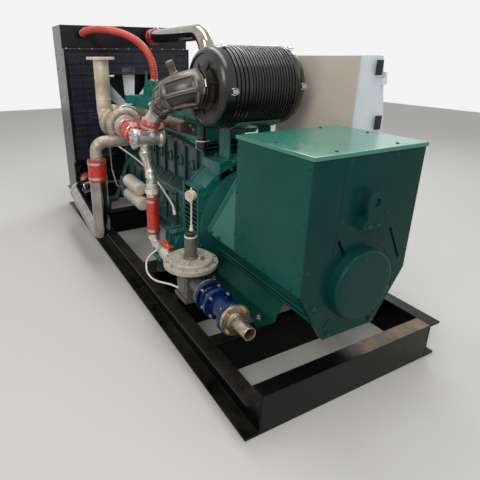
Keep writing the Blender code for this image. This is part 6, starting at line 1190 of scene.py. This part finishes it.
def dressFanDrive():
    d = drive
    crank = Draft()
    crank.spin((0, 0, d.crankZ), "Y", groovedRim(d.crankRadius, d.near, d.far), 72)
    crank.spin((0, 0, d.crankZ), "Y", mm((30, 970.8), (36, 971.2), (36, 1012), (80, 1016), (80, 1046),
        (36, 1046), (34, 1053.5)), 56, 0.0015)
    crank.bolts(around((0, 1.046, d.crankZ), "Y", 0.055, 6), "Y", 0.007, 0.5)
    makePiece("crank_pulley_wheel", crank, "glossBlack", ["crank_pulley"], body="crank_pulley")

    lean = (d.crankRadius - d.fanRadius) / (d.fanZ - d.crankZ)
    tip = atan2(lean, sqrt(1 - lean ** 2))
    rings = []
    for centre, radius, start, end in ((d.fanZ, d.fanRadius, tip, pi - tip),
            (d.crankZ, d.crankRadius, pi - tip, 2 * pi + tip)):
        for step in range(41):
            angle = start + (end - start) * step / 40
            ring = []
            middle = (d.near + d.far) / 2
            for lift, side in ((0, -1), (1, -1), (1, 1), (0, 1)):
                reach = radius + d.clearance + lift * (d.beltThickness - 0.0006)
                ring.append((reach * cos(angle), middle + side * d.beltWidth / 2, centre + reach * sin(angle)))
            rings.append(ring)
    makePiece("fan_belt_loop", Draft().loft(rings, 0.0012, True), "rubber", ["fan_belt"])

    blades = Draft()
    centreY = (d.fanNear + d.fanFar) / 2
    for blade in range(d.bladeCount):
        spread = 2 * pi * blade / d.bladeCount
        rings = []
        for row in range(13):
            share = row / 12
            reach = d.hubRadius - 0.004 + (d.tipRadius - d.hubRadius + 0.004 - 0.0006) * share
            chord = d.rootChord + (d.tipChord - d.rootChord) * share
            pitch = radians(d.rootPitch + (d.tipPitch - d.rootPitch) * share)
            thick = d.bladeThickness * (1.25 - 0.6 * share)
            ring = []
            for step in range(20):
                angle = 2 * pi * step / 20
                u = cos(angle) / 2 * chord
                v = sin(angle) / 2 * thick + 0.055 * chord * (1 - (2 * u / chord) ** 2)
                along = u * cos(pitch) - v * sin(pitch)
                depth = u * sin(pitch) + v * cos(pitch)
                turn = spread + along / reach
                ring.append((reach * cos(turn), centreY + depth, d.fanZ + reach * sin(turn)))
            rings.append(ring)
        blades.loft(rings)
    hub = mm((50, -30), (78, -30), (85, -24), (85, 26), (80, 31), (60, 31), (56, 24), (30, 24), (28, 33))
    blades.spin((0, centreY, d.fanZ), "Y", roundedBy(hub, 0.004, 3), 64)
    makePiece("fan_blades", blades, "fanWhite", ["fan"], body="fan")
    shaft = Draft()
    shaft.spin((0, 0, d.fanZ), "Y", groovedRim(d.fanRadius, d.near, d.far), 72)
    shaft.spin((0, 0, d.fanZ), "Y", mm((64, 1026), (64, 1048), (46, 1052), (34, 1060), (34, 1330), (56, 1334),
        (56, 1351)), 48, 0.0015)
    shaft.bolts(around((0, 1.334, d.fanZ), "Y", 0.044, 6, 30), "-Y", 0.007)
    makePiece("fan_shaft", shaft, "glossBlack", body="fan")


intake = Sizes(axisY=-0.209, axisZ=1.063, radius=0.1725, near=-0.213, far=0.214, neckRadius=0.074,
    ribs=((-0.152, 4, 0.019, 0.0075), (-0.074, 13, 0.0142, 0.0055), (0.112, 3, 0.015, 0.007)),
    bowl=(-0.19, -0.166, 0.794), clips=((-0.16, 181, 0.016), (-0.146, 108, 0.014), (0.19, 178, 0.016),
    (0.186, 112, 0.016)))


def dressAirFilter():
    i = intake
    axis = (0, i.axisY, i.axisZ)
    can = Draft()
    full = i.radius
    near = i.near
    profile = [(0.138, near + 0.006), (0.142, near), (0.15, near + 0.001), (0.16, near + 0.008),
        (0.167, near + 0.019), (full - 0.001, near + 0.034), (full - 0.001, near + 0.056)]
    for start, count, pitch, depth in i.ribs:  # the moulded grooves round the can
        for index in range(count):
            x = start + index * pitch
            profile += [(full - 0.0012, x), (full - depth, x + 0.001), (full - depth, x + pitch * 0.34),
                (full - 0.0012, x + pitch * 0.4), (full + 0.0002, x + pitch * 0.62),
                (full + 0.0002, x + pitch * 0.78)]
    seam = i.far - 0.05
    profile += [(full - 0.001, seam - 0.003), (full - 0.005, seam), (full - 0.005, seam + 0.002),
        (full - 0.001, seam + 0.005), (full - 0.003, i.far - 0.026), (full - 0.012, i.far - 0.008),
        (full - 0.026, i.far), (0.11, i.far), (0.104, i.far - 0.005), (0.06, i.far - 0.005),
        (0.055, i.far - 0.001)]
    can.spin(axis, "X", profile, 128)
    for angle in (70, 150, 235, 320):  # seams along the can between its groups of grooves
        y, z = i.axisY + (full - 0.0008) * cos(radians(angle)), i.axisZ + (full - 0.0008) * sin(radians(angle))
        can.rod((-0.07, y, z), (0.11, y, z), 0.0012, 6)
    makePiece("filter_can", can, "filterPlastic", ["air_filter"])
    end = Draft()
    face = [(0.06, near - 0.02), (i.neckRadius, near - 0.02), (i.neckRadius, near - 0.004),
        (0.082, near + 0.002), (0.1, near + 0.009), (0.13, near + 0.012), (0.139, near + 0.007),
        (0.139, near + 0.02)]
    end.spin(axis, "X", face, 96)
    for index in range(7):  # thin gussets on the hollow end round the neck
        angle = radians(360 / 7 * index + 10)
        across = Vector((0, -sin(angle), cos(angle))) * 0.0016
        corners = []
        for radius, x in ((0.078, near - 0.004), (0.128, near + 0.008), (0.128, near + 0.014),
                (0.078, near + 0.014)):
            corners.append(Vector((x, i.axisY + radius * cos(angle), i.axisZ + radius * sin(angle))))
        end.loft([[corner - across for corner in corners], [corner + across for corner in corners]], 0.0005)
    makePiece("filter_end", end, "filterEnd")
    makePiece("filter_dust_bowl", Draft().spin(i.bowl, "Z",
        roundedBy(mm((4, 0), (27, 1), (31, 10), (31, 40), (26, 46), (17, 52), (17, 105)), 0.004, 4), 40),
        "filterPlastic")
    bail = Draft()
    x, y, z = i.bowl
    bail.spin((x, y, z + 0.036), "Z", mm((31.2, 0), (33.5, 0), (33.5, 6), (31.2, 6)), 40, 0.0005, True)
    bail.tube(curveRoute([(x - 0.033, y, z + 0.039), (x - 0.03, y, z + 0.004), (x, y, z - 0.004),
        (x + 0.03, y, z + 0.004), (x + 0.033, y, z + 0.039)], 8), 0.0014, 8)
    for along, angle, size in i.clips:  # spring clips, each a bent strip on a wire loop
        out = Vector((0, cos(radians(angle)), sin(radians(angle))))
        sideways = Vector((0, -out.z, out.y))
        spot = Vector((along, i.axisY, i.axisZ)) + out * (full + 0.001)
        ahead = Vector((1, 0, 0))
        loop = [spot - ahead * size + sideways * 0.01, spot - ahead * size * 0.3 + sideways * 0.013
            + out * 0.006, spot + ahead * size + sideways * 0.008, spot + ahead * size - sideways * 0.008,
            spot - ahead * size * 0.3 - sideways * 0.013 + out * 0.006, spot - ahead * size - sideways * 0.01]
        bail.tube(curveRoute(loop, 5), 0.0013, 8)
        corners = []
        for a, b in cornerSigns:
            corners.append(spot + ahead * (a * 0.011) + sideways * (b * 0.008))
        bail.loft([corners, [corner + out * 0.005 for corner in corners]], 0.0008)
    makePiece("filter_clips", bail, "castAluminium")
    softCopy("air_filter_bracket", "engineTeal", 0.0028)
    bolts = Draft()
    for x in (-0.095, 0.095):
        for y in (-0.128, -0.29):
            bolts.bolt((x, y, 0.7485), "Z", 0.01)
    makePiece("bracket_bolts", bolts, "engineTeal")


def evenRoute(route, spacing):  # the same line, with its points at one even spacing
    lengths = [(after - before).length for before, after in zip(route, route[1:])]
    count = max(2, round(sum(lengths) / spacing))
    result = [route[0].copy()]
    for step in range(1, count):
        reach = sum(lengths) * step / count
        index = 0
        while reach > lengths[index]:
            reach -= lengths[index]
            index += 1
        result.append(route[index].lerp(route[index + 1], reach / lengths[index]))
    return result + [route[-1].copy()]


def hump(value, start, end, soft):  # one between start and end, nought outside, with soft shoulders
    rise = max(0.0, min(1.0, (value - start) / soft + 0.5))
    fall = max(0.0, min(1.0, (end - value) / soft + 0.5))
    return rise * rise * (3 - 2 * rise) * fall * fall * (3 - 2 * fall)


elbow = Sizes(start=(-0.2336, -0.209, 1.063), reach=(-0.363, -0.209, 1.053), end=(-0.297, 0.096, 0.936),
    port=(-0.315, 0.14, 0.8903), tail=0.052, bend=0.088, startRadius=0.08, endRadius=0.046, lift=0.003,
    sink=0.005, spacing=0.0024, facets=168, panelRows=((0.085, 0.27), (0.315, 0.52), (0.565, 0.74),
    (0.785, 0.925)), panelSpokes=((40, 78), (92, 130), (144, 182), (196, 234), (248, 286), (300, 330)))


def dressElbow():
    b = elbow
    shell = Draft()
    finish = Vector(b.end)
    towards = (Vector(b.port) - finish).normalized()
    corners = (b.start, b.reach, finish - towards * b.tail, finish)
    route = evenRoute(bentRoute(corners, b.bend, 24), b.spacing)
    last = len(route) - 1
    side = Vector((0, 0, 1))
    rings = []
    for index, spot in enumerate(route):
        share = index / last
        ahead = (route[min(index + 1, last)] - route[max(index - 1, 0)]).normalized()
        if index == 0:
            ahead = Vector((-1, 0, 0))
        side = (side - ahead * side.dot(ahead)).normalized()
        out = ahead.cross(side)
        radius = b.startRadius + (b.endRadius - b.startRadius) * share
        row = max(hump(share, start, end, 0.022) for start, end in b.panelRows)
        middle = hump(share, 0.04, 0.955, 0.02)
        ring = []
        for step in range(b.facets):
            turn = 360 * step / b.facets
            column = max(hump(turn, start, end, 5.0) for start, end in b.panelSpokes)
            seam = hump(turn, 16.0, 18.0, 2.4) * middle * 0.0012
            reach = radius + b.lift * middle - (b.sink + b.lift) * row * column + seam
            angle = radians(turn)
            ring.append(spot + (side * cos(angle) - out * sin(angle)) * reach)
        rings.append(ring)
    shell.loft(rings)
    cuff = mm((66, 0), (81.5, 0), (81.5, 19), (76, 21))
    shell.spin(route[0], "-X", cuff, 64, 0.001)
    tail = (route[last] - route[last - 1]).normalized()
    shell.spin(route[last] - tail * 0.024, tail, mm((42, 0), (48.5, 3), (48.5, 23.5), (42, 24)), 56, 0.001)
    makePiece("elbow_moulding", shell, "elbowPlastic", ["air_filter_elbow"])
    rings = Draft()
    rings.clamp((-0.2446, intake.axisY, intake.axisZ), "X", 0.0818, 0.014, 0.35)
    rings.clamp(route[last] - tail * 0.012, tail, 0.0488, 0.012, 2.2)
    makePiece("elbow_clamps", rings, "polishedPipe")
    sensor = Draft()
    lean = Vector((-0.03, 0, 0.066)).normalized()
    sensor.spin((-0.282, -0.08, 1.106), lean, mm((19, 0), (19, 20), (15.5, 22), (15.5, 48)), 32, 0.001)
    makePiece("intake_sensor", sensor, "oliveTube")
    makePiece("intake_sensor_cap", Draft().spin(Vector((-0.282, -0.08, 1.106)) + lean * 0.048, lean,
        mm((17.5, 0), (17.5, 22), (14, 25)), 18, 0.001), "oliveGrey")


def dressMixer():
    tube = Draft()
    route = curveRoute(mm((-297, 96.2, 936), (-305, 116, 914), (-312, 132, 892), (-315, 139, 866)), 8)
    tube.tube(route, 0.042, 44, (-0.27, 0.66, -0.69), "-Z")
    makePiece("silver_inlet_tube", tube, "inletTube", ["mixer_inlet_tube"])
    mixer = Draft()
    y, z = 0.14, 0.808
    body = mm((38, -420), (51, -419.5), (51, -406), (43, -404), (39, -396), (39, -286), (43, -278), (51, -276),
        (51, -262.5), (38, -262))
    mixer.spin((0, y, z), "X", roundedBy(body, 0.0015, 2), 56)
    mixer.spin((-0.315, y, z), "Z", mm((42, 10), (42, 30), (49, 34), (49, 40)), 48, 0.0012)
    mixer.spin((-0.379, y, z), "Y", mm((36, 10), (36, 46), (40, 48), (40, 54), (38, 56), (38, 64.8)), 48, 0.001)
    mixer.spin((-0.355, y, 0.7453), "Z", mm((25, 0), (25, 18), (30, 22), (30, 40)), 36, 0.001)
    mixer.box((-0.392, y - 0.036, z + 0.022), (-0.29, y + 0.036, z + 0.036), 0.005)
    makePiece("mixer_casting", mixer, "castAluminium", ["gas_mixer"])
    studs = Draft()
    for spot in around((0, y, z), "X", 0.0435, 6, 30):
        for x, out in ((-0.4195, -1), (-0.2625, 1)):
            studs.bolt((x, spot[1], spot[2]), (out, 0, 0), 0.0055)
    studs.bolt((-0.4195, y, z), "-X", 0.013)
    for x in (-0.385, -0.35, -0.296):
        studs.bolt((x, y - 0.03, z + 0.036), "Z", 0.006)
    makePiece("mixer_bolts", studs, "boltSteel")


gas = Sizes(mixerX=-0.355, mixerY=0.14, valveY=-0.17, wingZ=0.3445, gaugeY=-0.4245, x=-0.38, z=0.298,
    riserY=0.004, hoseRadius=0.0312, hoseLow=0.3493, hoseTop=0.5437, pipeRadius=0.024, valveNear=-0.21,
    valveFar=-0.13, regulatorY=-0.417, discRadius=0.1165, discLow=0.362, discTop=0.382, gaugeZ=0.672,
    senseRoute=((-0.4043, -0.09, 0.296), (-0.43, -0.083, 0.276), (-0.452, -0.07, 0.238),
    (-0.466, -0.105, 0.204), (-0.47, -0.165, 0.2), (-0.467, -0.225, 0.209), (-0.457, -0.285, 0.226),
    (-0.443, -0.345, 0.243), (-0.4305, -0.4, 0.252)), wing=((0.004, 0.0, 0.01, 0.0055),
    (0.02, 0.001, 0.0105, 0.0055), (0.032, 0.007, 0.0135, 0.0055), (0.044, 0.0125, 0.0135, 0.005)))


def dressGasTrain():
    g = gas
    x, z, y = g.x, g.z, g.riserY
    riser = Draft()
    route = bentRoute([(x, y, 0.544), (x, y, 0.64), (g.mixerX, g.mixerY, 0.725), (g.mixerX, g.mixerY, 0.7449)],
        0.03, 10)
    riser.tube(route, 0.0235, 36, "Z", "Z")
    riser.spin((x, y, 0), "Z", mm((26, 544), (28.5, 544.5), (28.5, 556), (26, 558)), 36, 0.0008)
    riser.spin((g.mixerX, g.mixerY, 0), "Z", mm((26, 722), (31, 723), (31, 738), (28, 744.8)), 36, 0.0008)
    for index, size, wide in ((1, 0.0275, 0.01), (5, 0.0265, 0.004), (11, 0.0285, 0.012), (12, 0.0285, 0.014),
            (17, 0.0265, 0.004)):
        ahead = (route[index + 1] - route[index - 1]).normalized()
        riser.spin(route[index] - ahead * wide / 2, ahead, [(size, 0), (size, wide)], 40, 0.0012)
    makePiece("riser_elbow", riser, "zincFittings", ["gas_riser_pipe"])
    nuts = Draft()
    nuts.spin((x, y, 0), "Z", [(0.0335, 0.56), (0.0335, 0.586)], 8, 0.002)
    for lift in (0.593, 0.604):
        nuts.spin((x, y, 0), "Z", [(0.0285, lift), (0.0285, lift + 0.006)], 40, 0.001)
    makePiece("riser_ring_nuts", nuts, "whiteFitting")
    dressHose("riser_coupling", "gas_riser_hose", (x, y, g.hoseLow), (x, y, g.hoseTop), g.hoseRadius,
        clamps=(0.1, 0.9), turn=2.4)

    valve = Draft()
    elbow = bentRoute([(x, y, g.hoseLow - 0.0003), (x, y, z), (x, -0.3317, z)], 0.04, 14)
    valve.tube(elbow, g.pipeRadius, 40, "-Z", "-Y")
    for start, end, size in mm((322, 340, 30.5), (343, 348.8, 27.5)):
        valve.spin((x, y, 0), "Z", [(size, start), (size, end)], 40, 0.0018)
    for start, end, size in mm((-62, -44, 30), (-120, -106, 27), (-232, -218, 27), (-300, -282, 30)):
        valve.spin((x, 0, z), "Y", [(size, start), (size, end)], 40, 0.0018)
    body = [(0.026, g.valveNear), (0.029, g.valveNear + 0.001), (0.029, g.valveNear + 0.014),
        (0.033, g.valveNear + 0.02), (0.034, g.valveNear + 0.03), (0.034, g.valveFar - 0.03),
        (0.033, g.valveFar - 0.02), (0.029, g.valveFar - 0.014), (0.029, g.valveFar - 0.001),
        (0.026, g.valveFar)]
    valve.spin((x, 0, z), "Y", body, 48)
    for start in (g.valveNear + 0.001, g.valveFar - 0.015):
        valve.spin((x, 0, z), "Y", [(0.0325, start), (0.0325, start + 0.014)], 8, 0.0015)
    valve.spin((x, g.valveY, z), "Z", mm((14, 30), (14, 37.5), (8, 37.8), (8, 39.6)), 28, 0.0006)
    makePiece("valve_and_elbow", valve, "zincFittings", ["gas_valve"])
    handle = Draft()
    handle.spin((x, g.valveY, 0.338), "Z", mm((14.5, 0), (14.5, 12), (12, 14)), 36, 0.001)
    for side in (-1, 1):
        rings = []
        for along, lift, wide, thick in g.wing:
            y, z = g.valveY + side * along, g.wingZ + lift
            rings.append([(x + a * wide, y, z + b * thick) for a, b in cornerSigns])
        handle.loft(rings, 0.0022)
    makePiece("butterfly_handle", handle, "redHandle", ["gas_valve_handle"], body="valve_handle")
    makePiece("valve_handle_nut", Draft().bolt((x, g.valveY, 0.3525), "Z", 0.0065), "boltSteel",
        body="valve_handle")


def dressRegulator():
    g = gas
    x, y, z = g.x, g.regulatorY, g.z
    disc = Draft()
    body = [(0.04, 0.352), (0.096, 0.358), (g.discRadius, g.discLow + 0.001), (g.discRadius + 0.0008, 0.3712),
        (g.discRadius - 0.0016, 0.3716), (g.discRadius - 0.0016, 0.3726), (g.discRadius + 0.0008, 0.373),
        (g.discRadius, g.discTop), (0.0965, g.discTop + 0.0002), (0.0955, 0.3935), (0.0925, 0.3975),
        (0.087, 0.3975), (0.085, 0.3945), (0.026, 0.3965)]
    disc.spin((x, y, 0), "Z", roundedBy(body, 0.0015, 2), 96)
    for index in range(5):  # low ribs across the flat top
        angle = radians(20 + 72 * index)
        out = Vector((cos(angle), sin(angle), 0))
        disc.rod(Vector((x, y, 0.3985)) + out * 0.026, Vector((x, y, 0.395)) + out * 0.084, 0.0034, 12)
    makePiece("regulator_disc", disc, "warmGrey", ["gas_regulator"])
    case = Draft()
    case.spin((x, y, 0), "Z", roundedBy(mm((34, 394), (34, 400), (27, 405), (26.5, 488.5), (24, 490.5)), 0.002,
        2), 48)
    case.box((x - 0.046, y - 0.05, 0.222), (x + 0.046, y + 0.05, 0.352), 0.008)
    case.box((x - 0.054, y - 0.056, 0.2053), (x + 0.054, y + 0.056, 0.226), 0.006)
    case.box((x - 0.05, y - 0.036, 0.24), (x + 0.05, y + 0.036, 0.335), 0.005)
    neck = mm((30, -333), (38, -333.4), (38, -350), (34, -352), (34, -557), (40, -558.5))
    case.spin((x, 0, z), "Y", list(reversed(neck)), 44, 0.001)
    case.spin((x, 0, z), "Y", [(0.0615, -0.5737), (0.0615, -0.5585)], 56, 0.0015)
    case.spin((x + 0.036, y - 0.04, 0.394), "Z", mm((10.5, 0), (10.5, 9), (8.5, 10)), 24, 0.0008)
    for dy in (-0.028, 0.028):
        for dz in (-0.036, 0.038):
            case.screw((x - 0.05, y + dy, 0.287 + dz), "-X", 0.0045)
    case.spin((x - 0.048, y - 0.05, 0.33), (-0.5, -1, 0.2), mm((11, 0), (11, 18), (7, 20), (7, 26)), 24, 0.001)
    makePiece("regulator_body", case, "oliveGrey")
    cap = Draft()
    cap.spin((x, y, 0), "Z", mm((22.5, 496.5), (22.5, 510.5), (10, 511.5), (10, 519.5)), 32, 0.0012)
    for spotX, spotY, low in around((x, y, 0.498), "Z", 0.0222, 20):
        cap.rod((spotX, spotY, low), (spotX, spotY, 0.509), 0.0014, 6)
    makePiece("regulator_cap", cap, "rubber")
    makePiece("regulator_ring", Draft().spin((x, y, 0), "Z", [(0.0275, 0.4907), (0.0275, 0.4962)], 40, 0.0012),
        "whiteFitting")
    bolts = Draft()
    for spotX, spotY, top in around((x, y, g.discTop), "Z", 0.107, 12, 15):
        bolts.bolt((spotX, spotY, top), "Z", 0.006)
        bolts.bolt((spotX, spotY, g.discLow), "-Z", 0.005)
    bolts.bolts(around((x, -0.558, z), "Y", 0.05, 4, 45), "Y", 0.007)
    makePiece("regulator_bolts", bolts, "boltSteel")
    gauge = Draft()
    into = Vector((0.93, 0.37, 0)).normalized()  # the way the dial's back points
    side = into.cross(Vector((0, 0, 1)))
    dial = Vector((x, g.gaugeY, g.gaugeZ)) - into * 0.0125
    gauge.spin(dial, into, roundedBy(mm((10, 1), (18.5, 1), (18.5, -1.5), (22.5, -1.5), (22.5, 10), (21, 23.5),
        (8, 24)), 0.001, 2), 48)
    gauge.tube(curveRoute([(x, g.gaugeY, 0.5203), (x, -0.4235, 0.565), (x, -0.426, 0.61), (x, g.gaugeY, 0.655)],
        8), 0.0036, 16)
    gauge.spin((x, g.gaugeY, 0), "Z", mm((8.5, 520.3), (8.5, 530), (6, 534), (6, 545)), 6, 0.0006)
    gauge.spin((x, g.gaugeY, 0), "Z", [(0.0065, 0.64), (0.0065, 0.652)], 6, 0.0006)
    gauge.spin((x, g.gaugeY, g.gaugeZ + 0.02), "Z", mm((4, 0), (4, 10), (2.5, 13)), 16)
    makePiece("gauge_case", gauge, "creamEnamel", ["gas_gauge"])
    makePiece("gauge_face", Draft().spin(dial, into, [(0.0184, 0.0005), (0.0184, 0.002)], 40), "dialFace")
    hand = Draft()
    lean = side * 0.7 - Vector((0, 0, 0.7))
    hand.rod(Vector(dial) - lean * 0.005, Vector(dial) + lean * 0.016, 0.0006, 6)
    for index in range(11):
        angle = radians(225 - 27 * index)
        out = side * cos(angle) + Vector((0, 0, sin(angle)))
        hand.rod(Vector(dial) + out * 0.0145, Vector(dial) + out * 0.0172, 0.0004, 6)
    hand.spin(dial, -into, [(0.0016, -0.0006), (0.0016, 0.0012)], 14)
    makePiece("gauge_marks", hand, "paintedShadeAndInk")


def dressArrester():
    g = gas
    x, z = g.x, g.z
    start, end, middle = -0.762, -0.574, -0.64
    body = Draft()
    flange = [(0.046, start), (0.0645, start), (0.0645, start + 0.016), (0.046, start + 0.017),
        (0.042, start + 0.022), (0.042, middle - 0.012), (0.048, middle - 0.008), (0.048, middle + 0.006),
        (0.042, middle + 0.01), (0.042, end - 0.022), (0.046, end - 0.017), (0.0645, end - 0.016),
        (0.0645, end - 0.0003), (0.046, end - 0.0003)]
    body.spin((x, 0, z), "Y", roundedBy(flange, 0.0012, 2), 64)
    body.spin((x, 0, z), "Y", [(0.0645, middle - 0.017), (0.0645, middle - 0.001)], 64, 0.0015)
    makePiece("arrester_body", body, "blueEnamel", ["flame_arrester"])
    bolts = Draft()
    for spot in around((x, 0, z), "Y", 0.0535, 4, 45):
        for y, out in ((start + 0.0165, 1), (middle - 0.017, -1), (middle - 0.001, 1), (end - 0.0165, -1)):
            place = Vector((spot[0], y, spot[2]))
            bolts.bolt(place, (0, out, 0), 0.0075)
            bolts.rod(place, place + Vector((0, out * 0.012, 0)), 0.0036, 12)
    makePiece("arrester_bolts", bolts, "boltSteel")
    inlet = Draft()
    near = start - 0.0003
    profile = [(0.0215, near - 0.104), (0.0245, near - 0.105), (0.026, near - 0.103), (0.026, near - 0.022),
        (0.034, near - 0.018), (0.036, near - 0.0155), (0.0612, near - 0.015), (0.0612, near), (0.0215, near)]
    inlet.spin((x, 0, z), "Y", roundedBy(profile, 0.0008, 2), 64)
    bore = Draft()
    bore.rod((x, near - 0.13, z), (x, near - 0.012, z), 0.021, 48)
    makePiece("inlet_stub", inlet, "inletSteel", ["gas_inlet"], cutter=bore)
    inletBolts = Draft()
    for spotX, y, spotZ in around((x, near - 0.015, z), "Y", 0.05, 4, 45):
        inletBolts.bolt((spotX, y, spotZ), "-Y", 0.0085)
        inletBolts.rod((spotX, y, spotZ), (spotX, near - 0.028, spotZ), 0.0042, 14)
    makePiece("inlet_bolts", inletBolts, "goldZinc")
    makePiece("sensing_tube", Draft().tube(curveRoute(g.senseRoute, 8), 0.0046, 16), "whiteFitting",
        ["impulse_tube"])


cabinet = Sizes(near=-0.56, far=-0.06, back=0.304, low=0.62, top=1.195, edge=0.0025,
    blocks=((0.414, 1.148), (0.452, 0.922)))


def dressCabinet():
    c = cabinet
    softCopy("cabinet_stand", "glossBlack", 0.003)
    softCopy("cabinet_body", "cabinetWhite", c.edge)
    makePiece("cabinet_back_sheet", Draft().box((c.back - 0.0018, c.near - 0.0112, c.low + 0.0015),
        (c.back + 0.0008, c.far - 0.0015, c.top - 0.0015), 0.0006), "cabinetBeige")
    softCopy("cabinet_door", "cabinetWhite", c.edge, body="cabinet_door")
    bolts = Draft()
    for y in (-0.5, -0.16):
        bolts.bolt((0.452, y + 0.02, 0.64), "Z", 0.004)
    for index in range(6):  # narrow vents low on the side that faces the alternator, drawn as near-black strips of painted shade
        z = c.low + 0.06 + index * 0.014
        bolts.box((c.back - 0.0024, c.near + 0.06, z), (c.back + 0.001, c.near + 0.18, z + 0.004), 0.0004)
    makePiece("cabinet_vents", bolts, "paintedShadeAndInk")
    blocks = Draft()
    for x, z in c.blocks:
        blocks.box((x - 0.016, c.near - 0.022, z - 0.03), (x + 0.016, c.near - 0.011, z + 0.03), 0.003)
        for lift in (-0.02, 0.02):
            blocks.screw((x, c.near - 0.022, z + lift), "-Y", 0.0045)
    makePiece("cabinet_blocks", blocks, "rubber")


for dress in (dressBase, dressAlternator, dressHousing, dressBlock, dressHead, dressOilFilters,
        dressEngineLines, dressExhaust, dressCompressor, dressChargeAir, dressRadiator, dressFanDrive,
        dressAirFilter, dressElbow, dressMixer, dressGasTrain, dressRegulator, dressArrester, dressCabinet):
    dress()
    print("done:", dress.__name__)


studio = Sizes(floorColour="#c9c8c5", backdrop=(0.9, 0.9, 0.9), fill=0.52, keyPower=88, rimPower=60,
    overheadPower=62, cameraPlace=(-1.0956, -1.8486, 1.1932), cameraTurn=(pi / 2 - 0.3667, 0, -0.4841),
    lens=31.467, shiftX=0.0864, shiftY=-0.0483)


def addLamp(name, place, aim, size, power, colour=(1, 1, 1)):
    lamp = bpy.data.lights.new(name, "AREA")
    lamp.shape = "RECTANGLE"
    lamp.size, lamp.size_y = size
    lamp.energy = power
    lamp.color = colour
    holder = addToScene(name, lamp)
    holder.location = place
    holder.rotation_euler = (Vector(aim) - Vector(place)).to_track_quat("-Z", "Y").to_euler()


def setWorld():
    s = studio
    world = bpy.data.worlds.new("studio")
    bpy.context.scene.world = world
    world.use_nodes = True
    tree = world.node_tree
    tree.nodes.clear()
    output = tree.nodes.new("ShaderNodeOutputWorld")
    plain = addNode(tree, "Background", {"Color": (1.0, 1.0, 1.0, 1.0), "Strength": s.fill})
    shown = addNode(tree, "Background", {"Color": s.backdrop + (1.0,)})
    path = tree.nodes.new("ShaderNodeLightPath")
    rays = timesNode(tree, path.outputs["Is Camera Ray"], path.outputs["Is Glossy Ray"], "ADD")
    rays = timesNode(tree, rays, path.outputs["Is Transmission Ray"], "ADD")
    mix = addNode(tree, "MixShader", {0: rays, 1: plain, 2: shown})  # the backdrop only shows, the fill lights
    tree.links.new(mix, output.inputs["Surface"])


def setStage():
    s = studio
    floor = meshFrom("floor", Draft().box((-9, -9, -0.02), (9, 9, 0.0)).shapes)
    ground = addToScene("floor", floor)
    material = bpy.data.materials.new("floor")
    material.use_nodes = True
    shader = material.node_tree.nodes["Principled BSDF"]
    shader.inputs["Base Color"].default_value = linear(s.floorColour)
    shader.inputs["Roughness"].default_value = 0.6
    shader.inputs["Specular IOR Level"].default_value = 0.25
    floor.materials.append(material)
    addLamp("key", (-3.2, -2.6, 3.4), (0, 0.1, 0.6), (2.4, 2.4), s.keyPower, (1.0, 0.98, 0.95))
    addLamp("rim", (3.0, 2.6, 3.2), (0, 0.3, 0.8), (2.6, 1.6), s.rimPower, (0.95, 0.98, 1.0))
    addLamp("overhead", (0.0, 0.3, 3.6), (0, 0.3, 0.4), (0.9, 4.2), s.overheadPower)
    setWorld()
    camera = bpy.data.cameras.new("camera")
    camera.lens = s.lens
    camera.sensor_width = 36.0
    camera.shift_x, camera.shift_y = s.shiftX, s.shiftY
    camera.clip_start, camera.clip_end = 0.05, 60.0
    viewer = addToScene("camera", camera)
    viewer.location = s.cameraPlace
    viewer.rotation_euler = s.cameraTurn
    bpy.context.scene.camera = viewer
    bpy.context.scene.view_settings.view_transform = "Standard"


setStage()
print("stage done")
